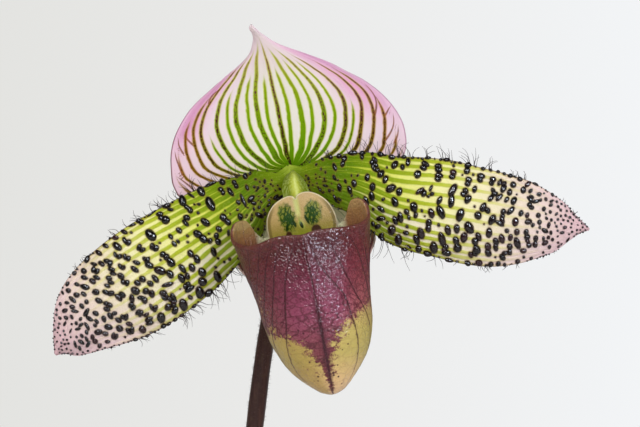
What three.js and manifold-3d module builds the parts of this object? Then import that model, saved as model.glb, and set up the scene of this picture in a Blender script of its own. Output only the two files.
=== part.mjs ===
// A potted slipper orchid in bloom: a plain clay pot of bark with a plant of mottled strap leaves,
// one hairy stem, and one flower with a striped hood, two warty petals and a slipper-shaped pouch.
// Millimetres, +Z up. The origin is the centre of the pot's foot. The flower looks towards -Y.
import * as THREE from "three";
import { mergeVertices } from "three/addons/utils/BufferGeometryUtils.js";
import Module from "manifold-3d";

const wasm = await Module();
wasm.setup();

// ---- driving dimensions -------------------------------------------------------------------
const POT = {
  height: 100, topR: 60, rimH: 20, rimStep: 3, footR: 42, wall: 5, floor: 6,
  holes: 4, holeR: 4, holeRing: 23,
};
const MIX = { top: 83.5, gap: 0.4 };
const FACE_Y = -26; // the plane that the petals spread in
const SIGHT = 529; // the outlines below are drawn on that plane, as seen from this far in front of it
const EYE = [12.78, 366]; // x and z that the sight lines spread from
const LIP_AT = [8.82, 361.04], LIP_TURN = (11 * Math.PI) / 180; // pouch: middle of its front rim, and its lean
const HEART = [6.5, 373.8]; // x and z where the floral parts meet
const PETAL_T = 1.0, SEPAL_T = 0.9, LIP_T = 1.2, LEAF_T = 1.3;
const CROWN = [-7, 1]; // where the flowering growth stands
const SHOOT = [21, 31]; // where the young growth stands

// ---- helpers ------------------------------------------------------------------------------
const V = (x, y, z) => new THREE.Vector3(x, y, z);
const clamp = (x, a, b) => Math.min(b, Math.max(a, x));

// Smooth interpolation in a table of [t, a, b, ...] rows, returned as [a, b, ...].
function table(rows, t) {
  const n = rows.length;
  if (t <= rows[0][0]) return rows[0].slice(1);
  if (t >= rows[n - 1][0]) return rows[n - 1].slice(1);
  let i = 0;
  while (t > rows[i + 1][0]) i++;
  const slope = (k, c) => {
    const a = Math.max(0, k - 1), b = Math.min(n - 1, k + 1);
    return (rows[b][c] - rows[a][c]) / (rows[b][0] - rows[a][0]);
  };
  const h = rows[i + 1][0] - rows[i][0], s = (t - rows[i][0]) / h;
  const out = [];
  for (let c = 1; c < rows[0].length; c++) {
    const p = rows[i][c], q = rows[i + 1][c], mp = slope(i, c) * h, mq = slope(i + 1, c) * h;
    out.push(
      (2 * s ** 3 - 3 * s ** 2 + 1) * p + (s ** 3 - 2 * s ** 2 + s) * mp +
      (3 * s ** 2 - 2 * s ** 3) * q + (s ** 3 - s ** 2) * mq,
    );
  }
  return out;
}

// A point drawn at (x, z) on the face plane, carried along its sight line to depth d behind the plane.
function sight(x, z, d) {
  const k = 1 + d / SIGHT;
  return V(EYE[0] + (x - EYE[0]) * k, FACE_Y + d, EYE[1] + (z - EYE[1]) * k);
}
// The same for a point of the pouch, whose own axes lean with the flower.
function lip(x, z, d) {
  const c = Math.cos(LIP_TURN), s = Math.sin(LIP_TURN);
  return sight(LIP_AT[0] + x * c - z * s, LIP_AT[1] + x * s + z * c, d);
}

function geometry(points, faces) {
  const g = new THREE.BufferGeometry();
  g.setAttribute("position", new THREE.Float32BufferAttribute(points.flatMap((p) => [p.x, p.y, p.z]), 3));
  g.setIndex(faces.flat());
  // Faces point out.
  let v = 0;
  for (const [a, b, c] of faces) v += points[a].dot(points[b].clone().cross(points[c]));
  if (v < 0) g.setIndex(faces.flatMap(([a, b, c]) => [a, c, b]));
  return g;
}

// A thin blade: surface(u, v) for u in -1..1 and v in 0..1, with thick(u, v) of flesh, half on each side.
// Its base is an edge, and its tip is a point.
function blade(surface, thick, nu, vs) {
  const pts = [], faces = [], rows = [];
  const at = (u, v) => {
    const e = 1e-3, u1 = clamp(u + e, -1, 1), u0 = clamp(u - e, -1, 1);
    const v1 = clamp(v + e, 0, 0.999), v0 = clamp(v - e, 0, 0.999);
    const n = surface(u1, v).sub(surface(u0, v)).cross(surface(u, v1).sub(surface(u, v0))).normalize();
    const p = surface(u, v), t = thick(u, v) / 2;
    return [p.clone().addScaledVector(n, t), p.clone().addScaledVector(n, -t)];
  };
  for (const v of vs) {
    const front = [], back = [];
    for (let i = 0; i <= nu; i++) {
      const [a, b] = at(-1 + (2 * i) / nu, v);
      front.push(pts.push(a) - 1);
      back.push(pts.push(b) - 1);
    }
    rows.push([front, back]);
  }
  const quad = (a, b, c, d) => faces.push([a, b, c], [a, c, d]);
  for (let j = 0; j + 1 < rows.length; j++) {
    const [f, b] = rows[j], [g, h] = rows[j + 1];
    for (let i = 0; i < nu; i++) {
      quad(f[i], f[i + 1], g[i + 1], g[i]);
      quad(b[i + 1], b[i], h[i], h[i + 1]);
    }
    quad(b[0], f[0], g[0], h[0]);
    quad(f[nu], b[nu], h[nu], g[nu]);
  }
  const [f0, b0] = rows[0], [f1, b1] = rows[rows.length - 1];
  const tip = pts.push(surface(0, 1)) - 1;
  for (let i = 0; i < nu; i++) {
    quad(b0[i], b0[i + 1], f0[i + 1], f0[i]);
    faces.push([f1[i], f1[i + 1], tip], [b1[i + 1], b1[i], tip]);
  }
  faces.push([b1[0], f1[0], tip], [f1[nu], b1[nu], tip]);
  return geometry(pts, faces);
}

// A solid rod along a smooth curve, of radius(t, angle), with flat ends.
function rod(path, radius, sides, steps) {
  const curve = new THREE.CatmullRomCurve3(path.map((p) => V(...p)));
  const pts = [], faces = [];
  let side = V(1, 0, 0);
  for (let j = 0; j <= steps; j++) {
    const t = j / steps, c = curve.getPoint(t), d = curve.getTangent(t);
    side = side.clone().addScaledVector(d, -side.dot(d)).normalize();
    const up = d.clone().cross(side);
    for (let i = 0; i < sides; i++) {
      const a = (2 * Math.PI * i) / sides, r = radius(t, a);
      pts.push(c.clone().addScaledVector(side, r * Math.cos(a)).addScaledVector(up, r * Math.sin(a)));
    }
  }
  const id = (j, i) => j * sides + (i % sides);
  for (let j = 0; j < steps; j++)
    for (let i = 0; i < sides; i++)
      faces.push([id(j, i), id(j, i + 1), id(j + 1, i + 1)], [id(j, i), id(j + 1, i + 1), id(j + 1, i)]);
  for (let i = 1; i + 1 < sides; i++)
    faces.push([id(0, 0), id(0, i + 1), id(0, i)], [id(steps, 0), id(steps, i), id(steps, i + 1)]);
  return geometry(pts, faces);
}

function solid(g) {
  const bare = g.index ? g.toNonIndexed() : g.clone();
  bare.deleteAttribute("normal");
  bare.deleteAttribute("uv");
  const m = mergeVertices(bare, 1e-4);
  return new wasm.Manifold(
    new wasm.Mesh({ numProp: 3, vertProperties: m.attributes.position.array, triVerts: new Uint32Array(m.index.array) }),
  );
}
function unsolid(s) {
  const m = s.getMesh(), g = new THREE.BufferGeometry();
  g.setAttribute("position", new THREE.BufferAttribute(new Float32Array(m.vertProperties), 3));
  g.setIndex(new THREE.BufferAttribute(m.triVerts, 1));
  return g;
}
// A small repeatable random sequence.
function sequence(seed) {
  let s = seed >>> 0;
  return () => {
    s = (Math.imul(s, 1664525) + 1013904223) >>> 0;
    return s / 4294967296;
  };
}
// A turned profile of [radius, height] rows about +Z.
function turned(profile, segments) {
  return new THREE.LatheGeometry(profile.map(([r, z]) => new THREE.Vector2(r, z)), segments).rotateX(Math.PI / 2);
}

// ---- materials ----------------------------------------------------------------------------
const stuff = (colour, roughness) => new THREE.MeshStandardMaterial({ color: colour, roughness, metalness: 0 });
const clay = stuff(0xb5694a, 0.85), bark = stuff(0x5a3b28, 0.95), mixed = stuff(0x3c2a1e, 0.98);
const leafy = stuff(0x4d7a3a, 0.5), stemmy = stuff(0x3b2123, 0.6), green = stuff(0x8aa83a, 0.55);
const hood = stuff(0xeadfdc, 0.5), petal = stuff(0xc4cf86, 0.5), maroon = stuff(0x6e3344, 0.35);
const shield = stuff(0xc4b088, 0.35), pollen = stuff(0xc79a3c, 0.5);

const plant = new THREE.Group();
function add(name, g, material, parent = plant) {
  const m = new THREE.Mesh(g, material);
  m.name = name;
  parent.add(m);
  return m;
}

// ---- the pot ------------------------------------------------------------------------------
{
  const { height, topR, rimH, rimStep, footR, wall, floor } = POT;
  const neckR = topR - rimStep - 1.5; // just under the rim band
  const shell = turned(
    [
      [0, 0], [footR - 1.5, 0], [footR, 1.5], [neckR, height - rimH - 1], [topR - 1.5, height - rimH + 1],
      [topR - 1, height - rimH + 3], [topR, height - 2], [topR - 1.5, height], [topR - wall + 1, height],
      [topR - wall, height - 1.5], [neckR - wall, height - rimH - 2], [footR - wall + 1, floor + 2],
      [footR - wall - 1, floor], [0, floor],
    ],
    44,
  );
  let body = solid(shell);
  for (let i = 0; i < POT.holes; i++) {
    const a = Math.PI / 4 + (2 * Math.PI * i) / POT.holes;
    const drill = new THREE.CylinderGeometry(POT.holeR, POT.holeR, 3 * floor, 14).rotateX(Math.PI / 2);
    drill.translate(POT.holeRing * Math.cos(a), POT.holeRing * Math.sin(a), floor / 2);
    body = body.subtract(solid(drill));
  }
  add("pot", unsolid(body), clay);
}

// The inner radius of the pot at a height.
function potInner(z) {
  const neck = POT.topR - POT.rimStep - 1.5 - POT.wall;
  const z0 = POT.floor + 2, z1 = POT.height - POT.rimH - 2;
  if (z < z1) return POT.footR - POT.wall + 1 + ((neck - (POT.footR - POT.wall + 1)) * (z - z0)) / (z1 - z0);
  return neck + ((POT.topR - POT.wall - neck) * (z - z1)) / (POT.height - 1.5 - z1);
}

// ---- the bark mix and the loose chips on it --------------------------------------------------
{
  const g = MIX.gap, top = MIX.top;
  const mix = turned(
    [
      [0, POT.floor + g], [potInner(POT.floor + 2) - 3, POT.floor + g], [potInner(POT.floor + 2) - 0.6, POT.floor + 2.5],
      [potInner(POT.height - POT.rimH - 2) - 0.6, POT.height - POT.rimH - 2.4], [potInner(top) - 0.8, top - 1.2],
      [potInner(top) - 3, top - 0.3], [40, top], [26, top], [13, top], [0, top],
    ],
    28,
  );
  const p = mix.attributes.position;
  for (let i = 0; i < p.count; i++) {
    const r = Math.hypot(p.getX(i), p.getY(i));
    if (p.getZ(i) > top - 0.1 && r > 20 && r < 45) {
      const a = Math.atan2(p.getY(i), p.getX(i));
      p.setZ(i, top + 0.5 * Math.sin(7 * Math.round((a * 28) / (2 * Math.PI)) + r));
    }
  }
  add("potting_mix", mix, mixed);

  const random = sequence(11), placed = [];
  let n = 0;
  for (let tries = 0; n < 18 && tries < 4000; tries++) {
    const l = 9 + 9 * random(), w = 6 + 4 * random(), h = 3 + 2.4 * random();
    const a = 2 * Math.PI * random(), r = 14 + 32 * Math.sqrt(random()), x = r * Math.cos(a), y = r * Math.sin(a);
    const turn = Math.PI * random(), lean = 0.16 * (random() - 0.5), reach = Math.hypot(l, w) / 2 + 0.8;
    const clearOf = (cx, cy, d) => Math.hypot(x - cx, y - cy) > reach + d;
    if (r + reach > 51.5 || !clearOf(...CROWN, 14) || !clearOf(...SHOOT, 10)) continue;
    if (placed.some(([px, py, pr]) => Math.hypot(x - px, y - py) < reach + pr)) continue;
    const chip = new THREE.BoxGeometry(l, w, h);
    const key = new Map(), q = chip.attributes.position;
    for (let i = 0; i < q.count; i++) {
      const k = [q.getX(i), q.getY(i), q.getZ(i)].map((c) => Math.sign(c)).join();
      if (!key.has(k)) key.set(k, [0.78 + 0.22 * random(), 0.74 + 0.26 * random(), 0.7 + 0.3 * random()]);
      const [a1, a2, a3] = key.get(k);
      q.setXYZ(i, q.getX(i) * a1, q.getY(i) * a2, q.getZ(i) * a3);
    }
    chip.rotateX(lean).rotateY(lean / 2).rotateZ(turn).translate(x, y, 0);
    chip.computeBoundingBox();
    chip.translate(0, 0, top + 0.9 - chip.boundingBox.min.z);
    placed.push([x, y, reach]);
    n++;
    add("bark_chip_" + String(n).padStart(2, "0"), chip, bark);
  }
}

// ---- leaves -------------------------------------------------------------------------------
const WIDTHS = [[0, 0.3], [0.1, 0.5], [0.22, 0.74], [0.36, 0.92], [0.52, 1], [0.68, 0.98], [0.8, 0.87], [0.9, 0.65], [0.96, 0.41], [1, 0]];
// Blade from a foot, growing towards azimuth, first at lift and at its tip at droop degrees above level.
function leafSurface({ foot, azimuth, lift, droop, length, half, fold, bend = 1.25, sway = 0 }) {
  const rad = Math.PI / 180, steps = 60, spine = [], dirs = [];
  let p = V(...foot);
  for (let i = 0; i <= steps; i++) {
    const v = i / steps, e = (lift + (droop - lift) * v ** bend) * rad, a = (azimuth + sway * v * v) * rad;
    const d = V(Math.cos(e) * Math.cos(a), Math.cos(e) * Math.sin(a), Math.sin(e));
    spine.push(p.clone());
    dirs.push([d, V(-Math.sin(a), Math.cos(a), 0)]);
    p = p.clone().addScaledVector(d, length / steps);
  }
  return (u, v) => {
    const x = clamp(v, 0, 1) * steps, i = Math.min(steps - 1, Math.floor(x)), s = x - i;
    const m = spine[i].clone().lerp(spine[i + 1], s);
    const d = dirs[i][0].clone().lerp(dirs[i + 1][0], s).normalize(), l = dirs[i][1].clone().lerp(dirs[i + 1][1], s).normalize();
    const up = d.clone().cross(l); // above the blade
    const w = table(WIDTHS, v)[0] * half;
    const k = (10 + (fold - 10) * (1 - clamp(v / 0.55, 0, 1)) ** 1.5) * rad;
    const r = Math.sqrt(u * u + 0.02) - Math.sqrt(0.02);
    return m.addScaledVector(l, w * u * Math.cos(k)).addScaledVector(up, w * r * Math.sin(k));
  };
}
const LEAF_ROWS = [0, 0.06, 0.13, 0.2, 0.28, 0.36, 0.44, 0.52, 0.6, 0.68, 0.76, 0.83, 0.89, 0.94, 0.975];
function out(at, azimuth, r, z) {
  return [at[0] + r * Math.cos((azimuth * Math.PI) / 180), at[1] + r * Math.sin((azimuth * Math.PI) / 180), z];
}
const LEAVES = [
  ["leaf_1", { foot: out(CROWN, 197, 12.2, 90.5), azimuth: 197, lift: 38, droop: -34, length: 150, half: 18.5, fold: 46 }],
  ["leaf_2", { foot: out(CROWN, 10, 12.2, 91.5), azimuth: 10, lift: 40, droop: -30, length: 168, half: 20, fold: 46, sway: -6 }],
  ["leaf_3", { foot: out(CROWN, 190, 9, 95.5), azimuth: 186, lift: 54, droop: -18, length: 176, half: 20.5, fold: 38, sway: -5 }],
  ["leaf_4", { foot: out(CROWN, 6, 9, 96.5), azimuth: 0, lift: 57, droop: -12, length: 166, half: 19.5, fold: 38, sway: -9 }],
  ["leaf_5", { foot: out(CROWN, 196, 5.8, 100.5), azimuth: 200, lift: 69, droop: 16, length: 122, half: 17, fold: 30 }],
  ["leaf_6", { foot: out(CROWN, 10, 5.8, 101.5), azimuth: 2, lift: 71, droop: 24, length: 108, half: 15.5, fold: 30 }],
  ["young_leaf_1", { foot: out(SHOOT, 66, 6.2, 90.5), azimuth: 62, lift: 58, droop: 4, length: 98, half: 13.5, fold: 40 }],
  ["young_leaf_2", { foot: out(SHOOT, 246, 6.2, 90.5), azimuth: 246, lift: 88, droop: 80, length: 58, half: 8.5, fold: 40 }],
  ["young_leaf_3", { foot: out(SHOOT, 66, 2.6, 94.5), azimuth: 66, lift: 80, droop: 44, length: 76, half: 10.5, fold: 34 }],
];
for (const [name, spec] of LEAVES)
  add(name, blade(leafSurface(spec), (u, v) => LEAF_T * (1 - 0.45 * Math.abs(u)) * (1 - 0.35 * v), 8, LEAF_ROWS), leafy);

// The short stems that the leaves stand on, bundled in old sheaths: wide in the plane of the fan, with their
// feet in the bark.
const FOOT = MIX.top + 0.4;
const GROWTH = { at: CROWN, azimuth: 12, flat: 0.66, profile: [[0, FOOT], [8.6, FOOT], [10.2, 86], [11.0, 89], [9.9, 91.2], [8.2, 93.6], [7.3, 95.8], [5.6, 98], [4.6, 99.6], [0, 99.8]] };
const YOUNG_GROWTH = { at: SHOOT, azimuth: 66, flat: 0.78, profile: [[0, FOOT], [4.6, FOOT], [5.5, 86], [5.4, 88.6], [4.4, 90.4], [2.6, 92], [1.5, 93.2], [0, 93.4]] };
for (const [name, g] of [["growth_base", GROWTH], ["young_growth_base", YOUNG_GROWTH]])
  add(name, turned(g.profile, 26).scale(1, g.flat, 1).rotateZ((g.azimuth * Math.PI) / 180).translate(g.at[0], g.at[1], 0), green);

// ---- stem, sheath and ovary -----------------------------------------------------------------
const STEM = [
  [CROWN[0], CROWN[1], 100.3], [-7.5, 1.2, 130], [-9.3, 1.8, 180], [-9.3, 2, 225], [-7.2, 1.2, 270], [-2.26, 0.3, 316.6],
  [0.2, 0.1, 336], [1.55, 0.05, 344.5],
];
add("flower_stem", rod(STEM, (t) => 2.5 - 0.6 * t, 12, 26), stemmy);
const OVARY = [[1.6, 0, 345], [2.7, -0.7, 353], [4.2, -4.4, 362.5], [5.8, -10.4, 369.6], [6.4, -19.3, 373.7]];
const ovaryR = (t, a) => table([[0, 2.2], [0.25, 2.75], [0.6, 3.4], [0.88, 3.1], [1, 2.6]], t)[0] * (1 + 0.05 * Math.cos(3 * a));
add("ovary", rod(OVARY, ovaryR, 12, 14), green);
{
  // The sheath wraps the foot of the ovary from behind and ends in a free point.
  const curve = new THREE.CatmullRomCurve3(OVARY.map((p) => V(...p)));
  const wrap = (u, v) => {
    const t = 0.02 + 0.6 * v, c = curve.getPoint(t), d = curve.getTangent(t);
    const back = V(0, 1, 0).addScaledVector(d, -d.y).normalize(), side = d.clone().cross(back);
    const spread = table([[0, 2.7], [0.3, 2.55], [0.6, 2.0], [0.85, 1.15], [1, 0]], v)[0];
    const a = u * spread, r = table([[0, 2.95], [0.3, 3.7], [0.7, 4.6], [1, 5.8]], v)[0];
    return c.addScaledVector(back, r * Math.cos(a)).addScaledVector(side, r * Math.sin(a));
  };
  add("bract", blade(wrap, (u) => 0.7 - 0.3 * Math.abs(u), 10, [0, 0.1, 0.22, 0.35, 0.48, 0.6, 0.72, 0.83, 0.92, 0.97]), green);
}

// ---- the flower -----------------------------------------------------------------------------
const flower = new THREE.Group();
plant.add(flower);

// Hood: rows of v, then x and z from the heart of its left edge, midrib and right edge, then the midrib's
// depth and how much further back its edges are.
const HOOD = [
  [0, -1.6, 1.4, 0, 2.3, 1.8, 1.7, 4.3, 0.2],
  [0.05, -6.5, -2.6, -0.2, 3.3, 5.2, -0.9, 4.9, 0.5],
  [0.11, -14, -5.5, -0.5, 4.3, 11.8, -1.8, 5.5, 1.1],
  [0.17, -19.5, -6.6, -0.8, 5.2, 17.7, -0.9, 6.0, 1.7],
  [0.23, -23.7, -5.3, -1.0, 6.0, 22.2, 1.8, 6.4, 2.2],
  [0.29, -26.1, -1.8, -1.2, 6.9, 24.6, 4.6, 6.8, 2.5],
  [0.34, -26.6, 1.8, -1.5, 7.9, 25.3, 7.1, 7.1, 2.7],
  [0.4, -26.6, 5.5, -2.0, 9.9, 25.2, 9.6, 7.4, 2.9],
  [0.47, -25.7, 9.3, -2.8, 12.8, 24.4, 12.6, 7.7, 3.1],
  [0.54, -23.7, 13.2, -3.3, 15.8, 22.4, 15.9, 7.8, 3.3],
  [0.61, -21.3, 16.3, -3.9, 18.7, 19.6, 18.9, 7.6, 3.5],
  [0.68, -17.7, 19.6, -4.4, 21.3, 16.0, 21.6, 7.2, 3.5],
  [0.75, -14.7, 22.3, -5.0, 23.7, 12.1, 23.6, 6.6, 3.2],
  [0.82, -11.8, 24.7, -5.4, 25.9, 8.2, 25.6, 5.8, 2.6],
  [0.88, -9.4, 27.3, -6.0, 28.0, 3.0, 27.5, 4.8, 1.8],
  [0.93, -8.5, 30.2, -6.7, 30.1, -2.8, 29.5, 3.6, 1.0],
  [0.97, -8.7, 31.9, -7.5, 31.9, -6.2, 31.6, 2.4, 0.4],
  [1, -8.9, 34.0, -8.9, 34.0, -8.9, 34.0, 1.0, 0],
];
const HOOD_FROM = [6.5, 373.82];
function hoodSurface(u, v) {
  const [lx, lz, mx, mz, rx, rz, depth, back] = table(HOOD, v), k = Math.abs(u);
  const ex = u < 0 ? lx : rx, ez = u < 0 ? lz : rz;
  return sight(HOOD_FROM[0] + mx + (ex - mx) * k, HOOD_FROM[1] + mz + (ez - mz) * k, depth + back * u * u);
}
add("dorsal_sepal", blade(hoodSurface, (u, v) => SEPAL_T * (1 - 0.4 * Math.abs(u)), 12, HOOD.map((r) => r[0]).slice(0, -1)), hood, flower);

// Petals: rows of v along the axis, then the upper and the lower edge's distance from it, then the
// depth of the upper edge, of the middle and of the lower edge.
const PETAL_LEFT = {
  from: [5.0, 372.5], turn: 216.66, length: 63.05,
  rows: [
    [0, 3.0, -2.3, 2.9, 2.9, 3.0], [0.05, 5.9, -2.4, 2.2, 0.9, 1.6], [0.1, 7.2, -2.6, 1.8, -0.2, 0.9], [0.16, 8.8, -3.7, 1.5, -1.0, 0.4],
    [0.19, 9.4, -6.7, 1.4, -1.3, 0.35], [0.23, 10.2, -7.4, 1.3, -1.6, 0.3], [0.31, 11.3, -8.3, 1.0, -2.1, 0.4], [0.4, 12.2, -9.4, 0.6, -2.5, 0.6], [0.5, 13.1, -9.75, 0.2, -2.7, 0.8],
    [0.6, 13.4, -9.65, -0.1, -2.5, 0.9], [0.7, 13.1, -8.8, 0.1, -2.0, 1.0], [0.78, 12.3, -7.2, 0.6, -1.2, 1.2], [0.85, 10.7, -5.5, 1.3, -0.1, 1.6],
    [0.9, 8.5, -4.3, 1.9, 0.8, 2.0], [0.94, 5.8, -3.1, 2.5, 1.7, 2.5], [0.97, 3.2, -1.2, 3.0, 2.4, 2.9], [1, 0.1, -0.1, 3.4, 3.4, 3.4],
  ],
};
const PETAL_RIGHT = {
  from: [8.3, 373.35], turn: -9.64, length: 64.8,
  rows: [
    [0, 3.0, -2.1, 2.9, 2.9, 3.0], [0.05, 5.1, -2.7, 2.2, 0.9, 1.6], [0.1, 6.5, -3.3, 1.8, -0.2, 0.9], [0.16, 7.9, -4.4, 1.5, -1.0, 0.4],
    [0.23, 8.75, -7.0, 1.3, -1.6, 0.3], [0.31, 8.8, -9.9, 1.0, -2.1, 0.4], [0.4, 9.5, -11.3, 0.6, -2.5, 0.6], [0.5, 9.92, -11.75, 0.2, -2.7, 0.8],
    [0.6, 9.45, -12.2, -0.1, -2.5, 0.9], [0.7, 8.95, -11.65, 0.1, -2.0, 1.0], [0.78, 8.15, -10.1, 0.6, -1.2, 1.2], [0.85, 6.5, -7.9, 1.3, -0.1, 1.6],
    [0.9, 4.9, -5.85, 1.9, 0.8, 2.0], [0.94, 2.9, -3.1, 2.5, 1.7, 2.5], [0.97, 1.5, -1.25, 3.0, 2.4, 2.9], [1, 0.1, -0.1, 3.4, 3.4, 3.4],
  ],
};
function petalSurface({ from, turn, length, rows }) {
  const a = (turn * Math.PI) / 180, along = [Math.cos(a), Math.sin(a)];
  // Upwards across the petal, on either side of the flower.
  const across = along[0] > 0 ? [-along[1], along[0]] : [along[1], -along[0]];
  return (u, v) => {
    const [top, bottom, dt, dm, db] = table(rows, v);
    const h = (top + bottom) / 2 + (u * (top - bottom)) / 2, d = dm + ((u > 0 ? dt : db) - dm) * u * u;
    return sight(from[0] + along[0] * length * v + across[0] * h, from[1] + along[1] * length * v + across[1] * h, d);
  };
}
const PETAL_ROWS = [0, 0.05, 0.1, 0.16, 0.19, 0.23, 0.31, 0.4, 0.5, 0.6, 0.7, 0.78, 0.85, 0.9, 0.94, 0.97];
for (const [name, spec] of [["petal_left", PETAL_LEFT], ["petal_right", PETAL_RIGHT]])
  add(name, blade(petalSurface(spec), (u, v) => PETAL_T * (1 - 0.35 * Math.abs(u)), 8, PETAL_ROWS), petal, flower);

// The two lower sepals, grown together behind the pouch: height down from the rim, half width, depth, edges' depth.
const SHIELD = [
  [0, 9.7, 2.4, 5.2, 5.4], [0.1, 6.8, 7.5, 5.3, 5.8], [0.2, 3.6, 12.2, 5.4, 6.2], [0.3, 0, 15.0, 5.4, 6.4], [0.4, -3.6, 15.7, 5.4, 6.4],
  [0.5, -7.4, 13.5, 5.6, 6.4], [0.6, -12, 11.4, 6.0, 6.5], [0.7, -18, 9.3, 6.6, 7.0], [0.8, -24, 6.8, 7.4, 7.7], [0.9, -29.5, 3.8, 8.2, 8.4], [1, -33.5, 0.1, 8.8, 8.8],
];
function shieldSurface(u, v) {
  const [z, w, d, e] = table(SHIELD, v);
  return lip(u * w + 0.2, z + 1.1 * (1 - u * u) * (v < 0.3 ? 0.4 : 1) * (v < 0.95 ? -1 : 0) * 0.5, d + (e - d) * u * u);
}
add("synsepal", blade(shieldSurface, (u) => SEPAL_T * (1 - 0.4 * Math.abs(u)), 8, SHIELD.map((r) => r[0]).slice(0, -1)), hood, flower);

// Pouch: rows of height, half width, middle depth and half depth.
const POUCH = [
  [-35.4, 0, -12.6, 0], [-34.6, 2.7, -12.4, 2.6], [-33, 4.7, -12.0, 4.6], [-31, 6.65, -11.6, 6.3], [-29, 8.25, -11.3, 7.6], [-26, 10.0, -11.0, 9.2],
  [-22, 11.45, -10.7, 10.5], [-18, 12.05, -10.5, 11.2], [-14, 12.55, -10.5, 11.4], [-10, 13.2, -10.7, 11.2], [-6, 14.1, -11.0, 10.7], [-3, 14.65, -11.1, 10.2],
  [0, 15.2, -11.2, 9.5], [3, 15.4, -11.2, 9.2], [6, 14.8, -11.2, 9.0], [9, 13.7, -11.2, 8.8],
];
// Height of the rim at an angle from the front, on the left and on the right: a gentle wave in front, an ear
// on each side, a low back.
const RIM_LEFT = [
  [0, -0.15], [7, 0.15], [18, 0.45], [26, 0.35], [35, -0.1], [50, -0.4], [64, 0.3], [80, 1.5], [90, 2.7], [98, 4.4], [106, 5.3], [118, 5.6],
  [128, 5.3], [134, 4.0], [139, 2.2], [145, 0.9], [155, 1.0], [166, 2.4], [180, 4.2],
];
const RIM_RIGHT = [
  [0, -0.15], [9, 0.25], [16, 0.28], [28, 0], [37, -0.2], [53, -0.15], [67, 0.4], [82, 1.6], [91, 3.1], [98, 4.6], [106, 5.3], [116, 5.6],
  [125, 5.4], [131, 4.3], [137, 2.4], [144, 0.9], [155, 1.0], [166, 2.4], [180, 4.2],
];
const POUCH_BY_ROOT = POUCH.map(([z, ...row]) => [Math.sqrt(z + 35.4), ...row]); // keeps the toe round
function pouchPoint(angle, t, inset) {
  const deg = Math.abs((angle * 180) / Math.PI), rim = table(angle < 0 ? RIM_LEFT : RIM_RIGHT, deg)[0];
  const z = -35.4 + inset * 1.1 + (rim + 35.4 - inset * 1.1) * t ** 1.7;
  const [a, c, b] = table(POUCH_BY_ROOT, Math.sqrt(Math.max(0, z + 35.4)));
  const aa = Math.max(0, a - inset), bb = Math.max(0, b - inset);
  return lip(0.1 + aa * Math.sin(angle), z, c - bb * Math.cos(angle));
}
{
  const N = 44, ts = [0.05, 0.1, 0.17, 0.25, 0.34, 0.44, 0.54, 0.64, 0.73, 0.81, 0.88, 0.94, 1], pts = [], faces = [], layers = [];
  for (const inset of [0, LIP_T]) {
    const tip = pts.push(pouchPoint(0, 0, inset)) - 1, rings = [];
    for (const t of ts) {
      const ring = [];
      for (let i = 0; i < N; i++) ring.push(pts.push(pouchPoint(-Math.PI + (2 * Math.PI * (i + 0.5)) / N, t, inset)) - 1);
      rings.push(ring);
    }
    layers.push([tip, rings]);
  }
  const [[tipO, outer], [tipI, inner]] = layers;
  const quad = (a, b, c, d) => faces.push([a, b, c], [a, c, d]);
  for (let i = 0; i < N; i++) {
    const j = (i + 1) % N;
    faces.push([tipO, outer[0][i], outer[0][j]], [tipI, inner[0][j], inner[0][i]]);
    for (let k = 0; k + 1 < ts.length; k++) {
      quad(outer[k][i], outer[k + 1][i], outer[k + 1][j], outer[k][j]);
      quad(inner[k][j], inner[k + 1][j], inner[k + 1][i], inner[k][i]);
    }
    const m = ts.length - 1;
    quad(outer[m][i], inner[m][i], inner[m][j], outer[m][j]);
  }
  add("pouch", geometry(pts, faces), maroon, flower);
}

// Column, and at its end the shield, the two anthers and the stigma.
const columnPath = [lip(0.72, 14.3, 3.0), lip(0.6, 13.2, -0.8), lip(0.45, 11.2, -3.6), lip(0.5, 8.6, -4.9), lip(0.6, 6.2, -5.2)].map((p) => [p.x, p.y, p.z]);
add("column", rod(columnPath, (t) => table([[0, 1.0], [0.2, 1.25], [0.5, 1.9], [0.8, 2.2], [1, 1.7]], t)[0], 12, 10), green, flower);
{
  const OUTLINE = [
    [0.1, 8.4], [-0.36, 8.98], [-1.41, 9.26], [-2.72, 8.97], [-4.47, 8.21], [-5.77, 7.05], [-6.79, 5.5], [-7.24, 4.01], [-7.35, 2.15], [-7.31, 0.73],
    [-6.91, -0.9], [-5.74, -1.8], [-4.21, -0.87], [-2.93, 1.3], [-2.12, -0.49], [-1.48, -1.85], [-0.46, -2.38], [0.77, -1.83], [2.03, 0.05],
    [3.32, 1.6], [4.1, 0.32], [4.81, -1.83], [6.11, -2.08], [7.4, -0.99], [7.96, 0.27], [8.25, 1.79], [8.16, 3.38], [7.7, 5.06], [6.9, 6.63],
    [5.74, 7.95], [4.36, 8.92], [3.04, 9.42], [1.61, 9.45], [0.5, 8.99],
  ];
  const shape = new THREE.Shape(OUTLINE.map(([x, z]) => new THREE.Vector2(x, z)));
  const plate = new THREE.ExtrudeGeometry(shape, { depth: 0.9, bevelEnabled: true, bevelThickness: 0.3, bevelSize: 0.3, bevelOffset: -0.3, bevelSegments: 1, steps: 1 });
  const p = plate.attributes.position;
  for (let i = 0; i < p.count; i++) {
    // Bowed forward in the middle, with its rim turned back.
    const x = p.getX(i), z = p.getY(i), q = lip(x, z, -9.6 + 0.05 * (x - 0.4) ** 2 * 0.4 + (0.9 - p.getZ(i)) * 1.0);
    p.setXYZ(i, q.x, q.y, q.z);
  }
  const m = mergeVertices(plate.deleteAttribute("normal").deleteAttribute("uv"), 1e-4);
  const pos = m.attributes.position, idx = [...m.index.array];
  const pts = [], faces = [];
  for (let i = 0; i < pos.count; i++) pts.push(V(pos.getX(i), pos.getY(i), pos.getZ(i)));
  for (let i = 0; i < idx.length; i += 3) faces.push([idx[i], idx[i + 1], idx[i + 2]]);
  add("staminode", geometry(pts, faces), shield, flower);
}
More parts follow.
